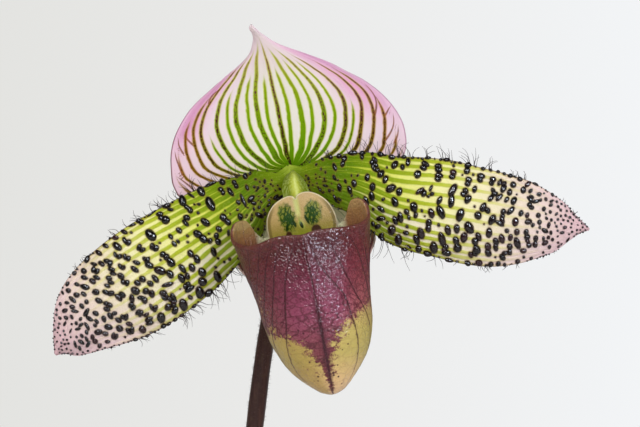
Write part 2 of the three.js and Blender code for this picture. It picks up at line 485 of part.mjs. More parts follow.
for (const [name, x] of [["anther_left", -3.9], ["anther_right", 5.0]]) {
  const at = lip(x, 5.6, -5.6);
  add(name, new THREE.SphereGeometry(1, 10, 6).scale(1.3, 1.1, 1.6), pollen, flower).position.copy(at);
}
{
  const at = lip(0.5, 0.6, -5.6);
  add("stigma", new THREE.SphereGeometry(1, 12, 6).scale(2.4, 1.2, 2.6), green, flower).position.copy(at);
}

export default plant;
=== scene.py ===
# A potted slipper orchid in bloom. Everything is drawn in millimetres in the part's own frame and turned
# into metres when a mesh is made. +Z is up the stem and the flower looks towards -Y.
import math

import bmesh
import bpy
import numpy as np
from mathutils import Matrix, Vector


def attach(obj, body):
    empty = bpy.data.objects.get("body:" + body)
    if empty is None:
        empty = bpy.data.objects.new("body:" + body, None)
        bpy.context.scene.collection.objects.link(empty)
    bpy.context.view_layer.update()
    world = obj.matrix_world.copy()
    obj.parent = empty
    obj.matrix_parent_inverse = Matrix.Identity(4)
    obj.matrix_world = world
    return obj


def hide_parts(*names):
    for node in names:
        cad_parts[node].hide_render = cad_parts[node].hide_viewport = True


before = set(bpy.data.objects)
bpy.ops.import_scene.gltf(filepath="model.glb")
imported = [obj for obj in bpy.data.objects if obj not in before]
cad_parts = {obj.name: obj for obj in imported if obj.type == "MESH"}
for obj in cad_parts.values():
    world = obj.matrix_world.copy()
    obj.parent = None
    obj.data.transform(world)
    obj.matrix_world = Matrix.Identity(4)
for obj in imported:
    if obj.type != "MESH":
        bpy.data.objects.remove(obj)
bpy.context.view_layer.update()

MM = 0.001

# ---- camera -------------------------------------------------------------------------------
# Straight along +Y, level with the heart of the bloom, from about half a metre in front of it.
cam_data = bpy.data.cameras.new("Camera")
cam_data.lens = 135.0
cam_data.sensor_width = 36.0
cam_data.clip_start = 0.02
cam_data.clip_end = 50.0
camera = bpy.data.objects.new("Camera", cam_data)
camera.location = (0.01278, -0.555, 0.366)
camera.rotation_euler = (math.pi / 2, 0, 0)
bpy.context.scene.collection.objects.link(camera)
bpy.context.scene.camera = camera


# ---- numbers ------------------------------------------------------------------------------
def table(rows, t):
    """Smooth interpolation in rows of (t, a, b, ...), for an array of t."""
    rows = np.asarray(rows, float)
    t = np.clip(np.asarray(t, float), rows[0, 0], rows[-1, 0])
    n = len(rows)
    i = np.clip(np.searchsorted(rows[:, 0], t, side="right") - 1, 0, n - 2)

    def slope(k):
        a, b = np.maximum(0, k - 1), np.minimum(n - 1, k + 1)
        return (rows[b, 1:] - rows[a, 1:]) / (rows[b, 0] - rows[a, 0])[..., None]

    h = (rows[i + 1, 0] - rows[i, 0])[..., None]
    s = (t - rows[i, 0])[..., None] / h
    p, q, mp, mq = rows[i, 1:], rows[i + 1, 1:], slope(i) * h, slope(i + 1) * h
    out = (2 * s**3 - 3 * s**2 + 1) * p + (s**3 - 2 * s**2 + s) * mp + (3 * s**2 - 2 * s**3) * q + (s**3 - s**2) * mq
    return [out[..., c] for c in range(out.shape[-1])]


def ease(x, lo, hi):
    s = np.clip((np.asarray(x, float) - lo) / (hi - lo), 0, 1)
    return s * s * (3 - 2 * s)


def unit(a):
    return a / np.maximum(np.linalg.norm(a, axis=-1, keepdims=True), 1e-12)


def pack3(x, y, z):
    x, y, z = np.broadcast_arrays(x, y, z)
    return np.stack([x, y, z], -1).astype(float)


class Lumps:
    """Smooth repeatable noise in -1..1 made of a few sine waves in random directions."""

    def __init__(self, seed, size, waves=24, dims=3):
        r = np.random.default_rng(seed)
        d = unit(r.normal(size=(waves, dims)))
        self.k = d * (2 * math.pi / (size * r.uniform(0.6, 1.7, (waves, 1))))
        self.p = r.uniform(0, 2 * math.pi, waves)
        self.a = math.sqrt(2.0 / waves)

    def __call__(self, x):
        return np.sin(np.asarray(x, float) @ self.k.T + self.p).sum(-1) * self.a


# The sight lines and the pouch's leaning axes, as in the part's solids.
FACE_Y, SIGHT = -26.0, 529.0
EYE = (12.78, 366.0)
LIP_AT, LIP_TURN = (8.82, 361.04), math.radians(11)


def sight(x, z, d):
    k = 1 + np.asarray(d, float) / SIGHT
    return pack3(EYE[0] + (x - EYE[0]) * k, FACE_Y + d, EYE[1] + (z - EYE[1]) * k)


def lip(x, z, d):
    c, s = math.cos(LIP_TURN), math.sin(LIP_TURN)
    return sight(LIP_AT[0] + x * c - z * s, LIP_AT[1] + x * s + z * c, d)


# ---- meshes -------------------------------------------------------------------------------
class Shape:
    """Gathers vertices, faces, a material number per face and named numbers per vertex."""

    def __init__(self):
        self.v, self.f, self.m, self.extra, self.count = [], [], [], [], 0

    def add(self, verts, faces, mat=0, **extra):
        verts = np.asarray(verts, float).reshape(-1, 3)
        base = self.count
        self.v.append(verts)
        for f in faces:
            self.f.append(tuple(int(i) + base for i in f))
        self.m.extend([mat] * len(faces))
        self.extra.append((len(verts), extra))
        self.count += len(verts)
        return base

    def build(self, name, mats, nodes, smooth=True, sharp=()):
        mesh = bpy.data.meshes.new(name)
        co = np.concatenate(self.v) * MM
        mesh.from_pydata(co.tolist(), [], self.f)
        for mt in mats:
            mesh.materials.append(mt)
        mesh.polygons.foreach_set("material_index", np.array(self.m, np.int32))
        mesh.polygons.foreach_set(
            "use_smooth", np.array([smooth and (m not in sharp) for m in self.m], bool)
        )
        keys = sorted({k for _, e in self.extra for k in e})
        for key in keys:
            vals = np.concatenate(
                [np.broadcast_to(np.asarray(e.get(key, 0.0), float).reshape(-1), (n,)) if np.ndim(e.get(key, 0.0)) == 0
                 else np.asarray(e[key], float).reshape(-1) for n, e in self.extra]
            )
            at = mesh.attributes.new(key, "FLOAT", "POINT")
            at.data.foreach_set("value", vals.astype(np.float32))
        mesh.update()
        mesh.validate()
        obj = bpy.data.objects.new(name, mesh)
        bpy.context.scene.collection.objects.link(obj)
        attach(obj, "root")
        if nodes:
            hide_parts(*nodes)
        return obj


def grid_faces(rows, cols, wrap=False, flip=False, start=0):
    """Quads over a rows x cols block of vertices."""
    f = []
    n = cols if wrap else cols - 1
    for j in range(rows - 1):
        for i in range(n):
            a, b = start + j * cols + i, start + j * cols + (i + 1) % cols
            c, d = b + cols, a + cols
            f.append((a, d, c, b) if flip else (a, b, c, d))
    return f


def normals(surface, u, v, e=1e-3):
    u1, u0 = np.minimum(u + e, 1), np.maximum(u - e, -1)
    v1, v0 = np.minimum(v + e, 0.999), v - e
    return unit(np.cross(surface(u1, v) - surface(u0, v), surface(u, v1) - surface(u, v0)))


def sheet(shape, surface, thick, us, vs, front, mat=0, relief=None, back_relief=None, extra=None, tip=True):
    """A fleshy blade over us x vs whose faces meet in a rounded edge at u = -1 and 1 and in a point at v = 1.
    front is +1 or -1: the side of the surface's normal that counts as its front."""
    U, V = np.meshgrid(us, vs)
    P, N = surface(U, V), normals(surface, U, V) * front
    t = thick(U, V)[..., None] / 2
    rows, cols = U.shape
    F = P + N * t
    B = P - N * t
    if relief is not None:
        F = F + N * relief(U, V)[..., None]
    if back_relief is not None:
        B = B - N * back_relief(U, V)[..., None]
    F[:, 0] = B[:, 0] = (F[:, 0] + B[:, 0]) / 2
    F[:, -1] = B[:, -1] = (F[:, -1] + B[:, -1]) / 2
    verts = [F.reshape(-1, 3)]
    idF = np.arange(rows * cols).reshape(rows, cols)
    inner = B[:, 1:-1].reshape(-1, 3)
    idB = np.empty((rows, cols), int)
    idB[:, 0], idB[:, -1] = idF[:, 0], idF[:, -1]
    idB[:, 1:-1] = rows * cols + np.arange(rows * (cols - 2)).reshape(rows, cols - 2)
    verts.append(inner)
    faces = []
    # Face winding follows the normal's side.
    fl = front < 0
    for j in range(rows - 1):
        for i in range(cols - 1):
            q = (idF[j, i], idF[j, i + 1], idF[j + 1, i + 1], idF[j + 1, i])
            r = (idB[j, i], idB[j + 1, i], idB[j + 1, i + 1], idB[j, i + 1])
            faces.append(q[::-1] if fl else q)
            faces.append(r[::-1] if fl else r)
    for i in range(cols - 1):
        a = [idF[0, i], idB[0, i], idB[0, i + 1], idF[0, i + 1]]
        a = [x for k, x in enumerate(a) if x not in a[:k]]
        if len(a) > 2:
            faces.append(tuple(a[::-1]) if fl else tuple(a))
    total = rows * cols + rows * (cols - 2)
    if tip:
        verts.append(surface(np.array([0.0]), np.array([1.0])).reshape(1, 3))
        for i in range(cols - 1):
            q, r = (idF[-1, i], idF[-1, i + 1], total), (idB[-1, i + 1], idB[-1, i], total)
            faces.append(q[::-1] if fl else q)
            faces.append(r[::-1] if fl else r)
    else:
        for i in range(cols - 1):
            a = [idF[-1, i], idF[-1, i + 1], idB[-1, i + 1], idB[-1, i]]
            a = [x for k, x in enumerate(a) if x not in a[:k]]
            if len(a) > 2:
                faces.append(tuple(a[::-1]) if fl else tuple(a))
    uu = np.concatenate([U.reshape(-1), U[:, 1:-1].reshape(-1)] + ([[0.0]] if tip else []))
    vv = np.concatenate([V.reshape(-1), V[:, 1:-1].reshape(-1)] + ([[1.0]] if tip else []))
    face = np.concatenate([np.where(np.abs(U) >= 1, 0.5, 1.0).reshape(-1), np.zeros(rows * (cols - 2))] + ([[0.5]] if tip else []))
    more = {"u": uu, "v": vv, "face": face}
    if extra is not None:
        more.update(extra(uu, vv))
    shape.add(np.concatenate(verts), faces, mat, **more)


def frames_along(points):
    """Tangents and two steady side directions along a path."""
    p = np.asarray(points, float)
    t = unit(np.gradient(p, axis=0))
    side = np.zeros_like(p)
    s = np.array([1.0, 0, 0]) if abs(t[0, 0]) < 0.9 else np.array([0, 1.0, 0])
    for i in range(len(p)):
        s = s - t[i] * (s @ t[i])
        s = s / np.linalg.norm(s)
        side[i] = s
    return t, side, np.cross(t, side)


def smooth_path(points, n):
    """A centripetal-free Catmull-Rom path through points, with n samples spread by parameter."""
    p = np.asarray(points, float)
    p = np.vstack([2 * p[0] - p[1], p, 2 * p[-1] - p[-2]])
    t = np.linspace(0, len(points) - 1, n)
    i = np.clip(t.astype(int), 0, len(points) - 2)
    s = (t - i)[:, None]
    a, b, c, d = p[i], p[i + 1], p[i + 2], p[i + 3]
    return 0.5 * (2 * b + (c - a) * s + (2 * a - 5 * b + 4 * c - d) * s**2 + (3 * b - a - 3 * c + d) * s**3)


def tube(shape, path, radius, sides, mat=0, round_end=False, **extra):
    """A rod along path. radius is one number per point, or an array of points x sides."""
    path = np.asarray(path, float)
    t, s, b = frames_along(path)
    r = np.asarray(radius, float)
    if r.ndim < 2:
        r = np.broadcast_to(r.reshape(-1, 1) if r.ndim else r, (len(path), sides))
    a = 2 * math.pi * np.arange(sides) / sides
    ring = path[:, None] + r[..., None] * (np.cos(a)[None, :, None] * s[:, None] + np.sin(a)[None, :, None] * b[:, None])
    faces = grid_faces(len(path), sides, wrap=True)
    verts = [ring.reshape(-1, 3)]
    n = len(path) * sides
    verts.append(path[:1] - t[:1] * 0.01)
    verts.append(path[-1:] + t[-1:] * (r[-1].mean() * 0.6 if round_end else 0.01))
    for i in range(sides):
        faces.append((n, (i + 1) % sides, i))
        faces.append((n + 1, n - sides + i, n - sides + (i + 1) % sides))
    ex = {}
    for k, val in extra.items():
        val = np.asarray(val, float)
        if val.ndim == 0:
            ex[k] = float(val)
        else:
            ex[k] = np.concatenate([np.repeat(val, sides), val[:1], val[-1:]])
    shape.add(np.concatenate(verts), faces, mat, **ex)
    return ring


# ---- materials ----------------------------------------------------------------------------
def rgb(r, g, b):
    """A linear colour from 0-255 screen values."""
    out = []
    for c in (r, g, b):
        c = c / 255.0
        out.append(c / 12.92 if c <= 0.04045 else ((c + 0.055) / 1.055) ** 2.4)
    return (*out, 1.0)


class Sock:
    """A node output that can be used in arithmetic."""

    def __init__(self, tree, out):
        self.t, self.o = tree, out

    def _op(self, op, *args, clamp=False):
        n = self.t.nodes.new("ShaderNodeMath")
        n.operation = op
        n.use_clamp = clamp
        for i, a in enumerate((self, *args)):
            if isinstance(a, Sock):
                self.t.links.new(a.o, n.inputs[i])
            else:
                n.inputs[i].default_value = float(a)
        return Sock(self.t, n.outputs[0])

    def __add__(self, b):
        return self._op("ADD", b)

    def __sub__(self, b):
        return self._op("SUBTRACT", b)

    def __mul__(self, b):
        return self._op("MULTIPLY", b)

    def __truediv__(self, b):
        return self._op("DIVIDE", b)

    __radd__ = __add__
    __rmul__ = __mul__

    def __rsub__(self, b):
        return (self * -1) + b

    def abs(self):
        return self._op("ABSOLUTE")

    def round(self):
        return self._op("ROUND")

    def fract(self):
        return self._op("FRACT")

    def sin(self):
        return self._op("SINE")

    def power(self, b):
        return self._op("POWER", b)

    def lowest(self, b):
        return self._op("MINIMUM", b)

    def highest(self, b):
        return self._op("MAXIMUM", b)

    def clamp(self):
        return self._op("ADD", 0.0, clamp=True)

    def over(self, b):
        return self._op("GREATER_THAN", b)

    def ease(self, lo, hi):
        """0 at lo and 1 at hi, smoothly; lo may be above hi."""
        if not isinstance(lo, Sock) and not isinstance(hi, Sock) and lo > hi:
            return 1 - self.ease(hi, lo)
        n = self.t.nodes.new("ShaderNodeMapRange")
        n.interpolation_type = "SMOOTHSTEP"
        self.t.links.new(self.o, n.inputs[0])
        for k, x in ((1, lo), (2, hi)):
            if isinstance(x, Sock):
                self.t.links.new(x.o, n.inputs[k])
            else:
                n.inputs[k].default_value = x
        return Sock(self.t, n.outputs[0])


class Paint:
    """A material with one principled shader and helpers for what feeds it."""

    def __init__(self, name):
        self.mat = bpy.data.materials.new(name)
        self.mat.use_nodes = True
        self.t = self.mat.node_tree
        self.t.nodes.clear()
        self.out = self.t.nodes.new("ShaderNodeOutputMaterial")
        self.b = self.t.nodes.new("ShaderNodeBsdfPrincipled")
        self.t.links.new(self.b.outputs[0], self.out.inputs[0])
        self.b.inputs["Specular IOR Level"].default_value = 0.22

    def attr(self, name):
        n = self.t.nodes.new("ShaderNodeAttribute")
        n.attribute_name = name
        return Sock(self.t, n.outputs["Fac"])

    def place(self, scale=(1000.0, 1000.0, 1000.0), warp=None):
        """Object coordinates in millimetres, times scale / 1000."""
        c = self.t.nodes.new("ShaderNodeTexCoord")
        m = self.t.nodes.new("ShaderNodeMapping")
        m.inputs["Scale"].default_value = scale
        self.t.links.new(c.outputs["Object"], m.inputs[0])
        return m.outputs[0]

    def combine(self, x, y, z=0.0):
        n = self.t.nodes.new("ShaderNodeCombineXYZ")
        for i, a in enumerate((x, y, z)):
            if isinstance(a, Sock):
                self.t.links.new(a.o, n.inputs[i])
            else:
                n.inputs[i].default_value = a
        return n.outputs[0]

    def noise(self, vec, scale, detail=2.0, rough=0.5, distort=0.0):
        n = self.t.nodes.new("ShaderNodeTexNoise")
        n.inputs["Scale"].default_value = scale
        n.inputs["Detail"].default_value = detail
        n.inputs["Roughness"].default_value = rough
        n.inputs["Distortion"].default_value = distort
        self.t.links.new(vec, n.inputs["Vector"])
        return Sock(self.t, n.outputs["Fac"])

    def cells(self, vec, scale, feature="F1", metric="EUCLIDEAN", random=1.0, smooth=None):
        n = self.t.nodes.new("ShaderNodeTexVoronoi")
        n.feature = feature
        if feature != "DISTANCE_TO_EDGE":
            n.distance = metric
        n.inputs["Scale"].default_value = scale
        n.inputs["Randomness"].default_value = random
        if smooth is not None:
            n.inputs["Smoothness"].default_value = smooth
        self.t.links.new(vec, n.inputs["Vector"])
        return Sock(self.t, n.outputs["Distance"])

    def cell_tone(self, vec, scale, metric="EUCLIDEAN", random=1.0):
        """A random 0-1 number per cell."""
        n = self.t.nodes.new("ShaderNodeTexVoronoi")
        n.feature = "F1"
        n.distance = metric
        n.inputs["Scale"].default_value = scale
        n.inputs["Randomness"].default_value = random
        self.t.links.new(vec, n.inputs["Vector"])
        s = self.t.nodes.new("ShaderNodeSeparateColor")
        self.t.links.new(n.outputs["Color"], s.inputs[0])
        return Sock(self.t, s.outputs[0])

    def ramp(self, fac, stops, interp="LINEAR"):
        n = self.t.nodes.new("ShaderNodeValToRGB")
        n.color_ramp.interpolation = interp
        e = n.color_ramp.elements
        while len(e) < len(stops):
            e.new(0.5)
        for el, (p, c) in zip(e, sorted(stops, key=lambda s: s[0])):
            el.position = p
            el.color = rgb(*c) if len(c) == 3 else c
        self.t.links.new(fac.o, n.inputs[0])
        return n.outputs[0]

    def curve(self, fac, stops, interp="LINEAR"):
        """A number that follows fac through (position, value) stops."""
        n = self.t.nodes.new("ShaderNodeValToRGB")
        n.color_ramp.interpolation = interp
        e = n.color_ramp.elements
        while len(e) < len(stops):
            e.new(0.5)
        for el, (p, c) in zip(e, sorted(stops)):
            el.position = p
            el.color = (c, c, c, 1)
        self.t.links.new(fac.o, n.inputs[0])
        s = self.t.nodes.new("ShaderNodeSeparateColor")
        self.t.links.new(n.outputs[0], s.inputs[0])
        return Sock(self.t, s.outputs[0])

    def mix(self, fac, a, b, blend="MIX"):
        n = self.t.nodes.new("ShaderNodeMix")
        n.data_type = "RGBA"
        n.blend_type = blend
        n.clamp_factor = True
        if isinstance(fac, Sock):
            self.t.links.new(fac.o, n.inputs[0])
        else:
            n.inputs[0].default_value = fac
        for k, c in ((6, a), (7, b)):
            if isinstance(c, tuple):
                n.inputs[k].default_value = rgb(*c) if len(c) == 3 else c
            else:
                self.t.links.new(c, n.inputs[k])
        return n.outputs[2]

    def bump(self, height, strength=0.5, distance=0.0002, after=None):
        n = self.t.nodes.new("ShaderNodeBump")
        n.inputs["Strength"].default_value = strength
        n.inputs["Distance"].default_value = distance
        self.t.links.new(height.o, n.inputs["Height"])
        if after is not None:
            self.t.links.new(after, n.inputs["Normal"])
        return n.outputs[0]

    def done(self, colour, rough=0.5, normal=None, **sockets):
        self.t.links.new(colour, self.b.inputs["Base Color"])
        if isinstance(rough, Sock):
            self.t.links.new(rough.o, self.b.inputs["Roughness"])
        else:
            self.b.inputs["Roughness"].default_value = rough
        if normal is not None:
            self.t.links.new(normal, self.b.inputs["Normal"])
            if "Coat_Weight" in sockets:
                self.t.links.new(normal, self.b.inputs["Coat Normal"])
        for k, val in sockets.items():
            s = self.b.inputs[k.replace("_", " ")]
            s.default_value = val
        return self.mat


# ---- hood (dorsal sepal) -------------------------------------------------------------------
# v, then x and z from the heart of its left edge, midrib and right edge, the midrib's depth, and how much
# further back the edges are.
HOOD_FROM = (6.5, 373.82)
HOOD = [
    (0, -1.6, 1.4, 0, 2.3, 1.8, 1.7, 4.3, 0.2),
    (0.05, -6.5, -2.6, -0.2, 3.3, 5.2, -0.9, 4.9, 0.5),
    (0.11, -14, -5.5, -0.5, 4.3, 11.8, -1.8, 5.5, 1.1),
    (0.17, -19.5, -6.6, -0.8, 5.2, 17.7, -0.9, 6.0, 1.7),
    (0.23, -23.7, -5.3, -1.0, 6.0, 22.2, 1.8, 6.4, 2.2),
    (0.29, -26.1, -1.8, -1.2, 6.9, 24.6, 4.6, 6.8, 2.5),
    (0.34, -26.6, 1.8, -1.5, 7.9, 25.3, 7.1, 7.1, 2.7),
    (0.4, -26.6, 5.5, -2.0, 9.9, 25.2, 9.6, 7.4, 2.9),
    (0.47, -25.7, 9.3, -2.8, 12.8, 24.4, 12.6, 7.7, 3.1),
    (0.54, -23.7, 13.2, -3.3, 15.8, 22.4, 15.9, 7.8, 3.3),
    (0.61, -21.3, 16.3, -3.9, 18.7, 19.6, 18.9, 7.6, 3.5),
    (0.68, -17.7, 19.6, -4.4, 21.3, 16.0, 21.6, 7.2, 3.5),
    (0.75, -14.7, 22.3, -5.0, 23.7, 12.1, 23.6, 6.6, 3.2),
    (0.82, -11.8, 24.7, -5.4, 25.9, 8.2, 25.6, 5.8, 2.6),
    (0.88, -9.4, 27.3, -6.0, 28.0, 3.0, 27.5, 4.8, 1.8),
    (0.93, -8.5, 30.2, -6.7, 30.1, -2.8, 29.5, 3.6, 1.0),
    (0.97, -8.7, 31.9, -7.5, 31.9, -6.2, 31.6, 2.4, 0.4),
    (0.99, -9.4, 33.1, -8.7, 33.2, -7.9, 33.0, 1.4, 0.1),
    (1, -8.9, 34.0, -8.9, 34.0, -8.9, 34.0, 1.0, 0),
]


def hood_surface(u, v):
    lx, lz, mx, mz, rx, rz, depth, back = table(HOOD, v)
    k = np.abs(u)
    ex, ez = np.where(u < 0, lx, rx), np.where(u < 0, lz, rz)
    # The margins bend back in a soft roll, more on the right.
    roll = back * u**2 + 1.5 * np.clip(k - 0.86, 0, 1) / 0.14 * np.where(u < 0, 0.7, 1.0) * ease(v, 0.3, 0.5) * ease(v, 0.97, 0.85) * (k > 0.86)
    return sight(HOOD_FROM[0] + mx + (ex - mx) * k, HOOD_FROM[1] + mz + (ez - mz) * k, depth + roll)


# Where each vein crosses, in u, at a few heights: the midrib is vein 0, and every other vein is a main one.
HOOD_VEINS_V = (0.20, 0.26, 0.32, 0.38, 0.44, 0.50, 0.56, 0.62, 0.68, 0.74, 0.80, 0.86)
HOOD_VEINS = {
    -12: (-0.82, -0.91, -0.96, -0.975, -0.985, -0.99, -0.99, -0.99, -0.99, -0.995, -0.995, -0.995),
    -11: (-0.69, -0.81, -0.90, -0.93, -0.945, -0.95, -0.955, -0.96, -0.965, -0.97, -0.975, -0.98),
    -10: (-0.573, -0.693, -0.80, -0.85, -0.88, -0.902, -0.905, -0.91, -0.925, -0.935, -0.955, -0.965),
    -9: (-0.502, -0.597, -0.71, -0.76, -0.80, -0.838, -0.85, -0.853, -0.88, -0.895, -0.925, -0.94),
    -8: (-0.438, -0.52, -0.62, -0.682, -0.73, -0.762, -0.785, -0.792, -0.828, -0.84, -0.885, -0.91),
    -7: (-0.397, -0.473, -0.535, -0.60, -0.65, -0.703, -0.72, -0.735, -0.77, -0.785, -0.845, -0.88),
    -6: (-0.348, -0.40, -0.465, -0.522, -0.57, -0.615, -0.643, -0.672, -0.708, -0.722, -0.797, -0.84),
    -5: (-0.29, -0.318, -0.367, -0.42, -0.46, -0.502, -0.54, -0.57, -0.60, -0.63, -0.71, -0.77),
    -4: (-0.228, -0.245, -0.292, -0.345, -0.377, -0.42, -0.45, -0.46, -0.505, -0.537, -0.62, -0.69),
    -3: (-0.172, -0.175, -0.20, -0.23, -0.265, -0.292, -0.315, -0.345, -0.375, -0.395, -0.47, -0.55),
    -2: (-0.11, -0.11, -0.122, -0.147, -0.172, -0.193, -0.218, -0.235, -0.26, -0.267, -0.328, -0.42),
    -1: (-0.06, -0.055, -0.06, -0.078, -0.093, -0.103, -0.107, -0.105, -0.118, -0.12, -0.15, -0.2),
    0: (-0.01, -0.007, 0.0, 0.0, 0.008, 0.01, 0.008, 0.002, 0.002, 0.008, 0.005, -0.01),
    1: (0.038, 0.042, 0.046, 0.058, 0.075, 0.088, 0.095, 0.095, 0.092, 0.09, 0.085, 0.08),
    2: (0.12, 0.13, 0.14, 0.16, 0.185, 0.195, 0.2, 0.208, 0.195, 0.185, 0.17, 0.165),
    3: (0.175, 0.185, 0.2, 0.222, 0.26, 0.28, 0.30, 0.302, 0.3, 0.298, 0.28, 0.265),
    4: (0.23, 0.242, 0.265, 0.312, 0.353, 0.383, 0.40, 0.41, 0.407, 0.403, 0.385, 0.37),
    5: (0.28, 0.308, 0.34, 0.387, 0.433, 0.47, 0.488, 0.495, 0.498, 0.5, 0.48, 0.465),
    6: (0.345, 0.393, 0.443, 0.482, 0.525, 0.56, 0.60, 0.623, 0.625, 0.63, 0.60, 0.565),
    7: (0.42, 0.465, 0.505, 0.545, 0.583, 0.623, 0.66, 0.69, 0.70, 0.72, 0.69, 0.66),
    8: (0.49, 0.535, 0.583, 0.615, 0.647, 0.69, 0.74, 0.768, 0.782, 0.80, 0.785, 0.77),
    9: (0.57, 0.63, 0.688, 0.723, 0.752, 0.792, 0.83, 0.86, 0.868, 0.878, 0.87, 0.86),
    10: (0.68, 0.74, 0.802, 0.82, 0.842, 0.873, 0.90, 0.925, 0.93, 0.938, 0.935, 0.93),
    11: (0.81, 0.86, 0.905, 0.915, 0.925, 0.943, 0.955, 0.968, 0.97, 0.972, 0.97, 0.97),
    12: (0.92, 0.95, 0.97, 0.975, 0.98, 0.985, 0.988, 0.99, 0.99, 0.99, 0.99, 0.99),
}


def vein_field(u, v, knots, veins):
    """For each point, which vein it is beside, as a smooth number, and how far u runs from one to the next."""
    ks = sorted(veins)
    tab = np.array([veins[k] for k in ks], float)  # veins x knots
    pos = table(np.column_stack([knots, tab.T]), v)  # per vein, u at each point's v
    pos = np.stack(pos, -1)
    w = np.full(len(u), float(ks[0]))
    gap = np.full(len(u), 0.1)
    for i in range(len(ks) - 1):
        a, b = pos[:, i], pos[:, i + 1]
        s = (u >= a) & (u <= b) if i else (u <= b)
        s = s | ((i == len(ks) - 2) & (u > b))
        g = np.maximum(b - a, 1e-4)
        w = np.where(s, ks[i] + (u - a) / g, w)
        gap = np.where(s, g, gap)
    return w, gap


def smooth_gap(u, v, knots, veins, half):
    """Millimetres from one vein to the next, evened out."""
    ks = sorted(veins)
    tab = np.array([veins[k] for k in ks], float)
    pos = np.stack(table(np.column_stack([knots, tab.T]), v), -1)
    mid = (pos[:, 1:] + pos[:, :-1]) / 2
    g = pos[:, 1:] - pos[:, :-1]
    out = np.empty(len(u))
    for i in range(len(u)):
        out[i] = np.interp(u[i], mid[i], g[i])
    return out * half


# Short forks of the outermost veins, as (u, v) from root to end.
HOOD_FORKS = [
    [(-0.81, 0.42), (-0.87, 0.45), (-0.89, 0.478), (-0.89, 0.505)],
    [(-0.887, 0.39), (-0.932, 0.424), (-0.955, 0.455)],
    [(-0.90, 0.315), (-0.943, 0.369), (-0.96, 0.40)],
    [(-0.86, 0.262), (-0.902, 0.293), (-0.943, 0.312)],
    [(-0.80, 0.60), (-0.838, 0.628), (-0.845, 0.652), (-0.818, 0.68)],
    [(0.81, 0.506), (0.855, 0.541), (0.90, 0.583), (0.925, 0.619), (0.94, 0.65)],
    [(0.883, 0.497), (0.93, 0.52), (0.975, 0.539)],
    [(0.83, 0.368), (0.895, 0.427), (0.93, 0.47), (0.95, 0.50)],
    [(0.90, 0.355), (0.933, 0.40), (0.948, 0.44)],
]


def hood_forks(u, v):
    """Signed distance in mm to the nearest fork's line, and how near its middle it runs."""
    P = hood_surface(u, v)
    best, sign, reach = np.full(len(u), 9.0), np.zeros(len(u)), np.zeros(len(u))
    for path in HOOD_FORKS:
        q = smooth_path(np.array(path), 14)
        Q = hood_surface(q[:, 0], q[:, 1])[:, [0, 2]]
        for k in range(len(Q) - 1):
            a, d = Q[k], Q[k + 1] - Q[k]
            r = P[:, [0, 2]] - a
            t = np.clip((r @ d) / (d @ d), 0, 1)
            off = r - t[:, None] * d
            dist = np.hypot(off[:, 0], off[:, 1])
            near = dist < best
            side = np.sign(r[:, 0] * d[1] - r[:, 1] * d[0])
            along = (k + t) / (len(Q) - 1)
            best = np.where(near, dist, best)
            sign = np.where(near, side, sign)
            reach = np.where(near, 1.05 - 0.75 * along, reach)
    return best * sign, reach * ease(best, 0.75, 0.5)


def hood_extra(u, v):
    w, _ = vein_field(u, v, HOOD_VEINS_V, HOOD_VEINS)
    lx, lz, mx, mz, rx, rz, _, _ = table(HOOD, v)
    half = np.where(u < 0, np.hypot(lx - mx, lz - mz), np.hypot(rx - mx, rz - mz))
    fork, forked = hood_forks(u, v)
    return {"w": w, "gap": smooth_gap(u, v, HOOD_VEINS_V, HOOD_VEINS, half), "fork": fork, "forked": forked}


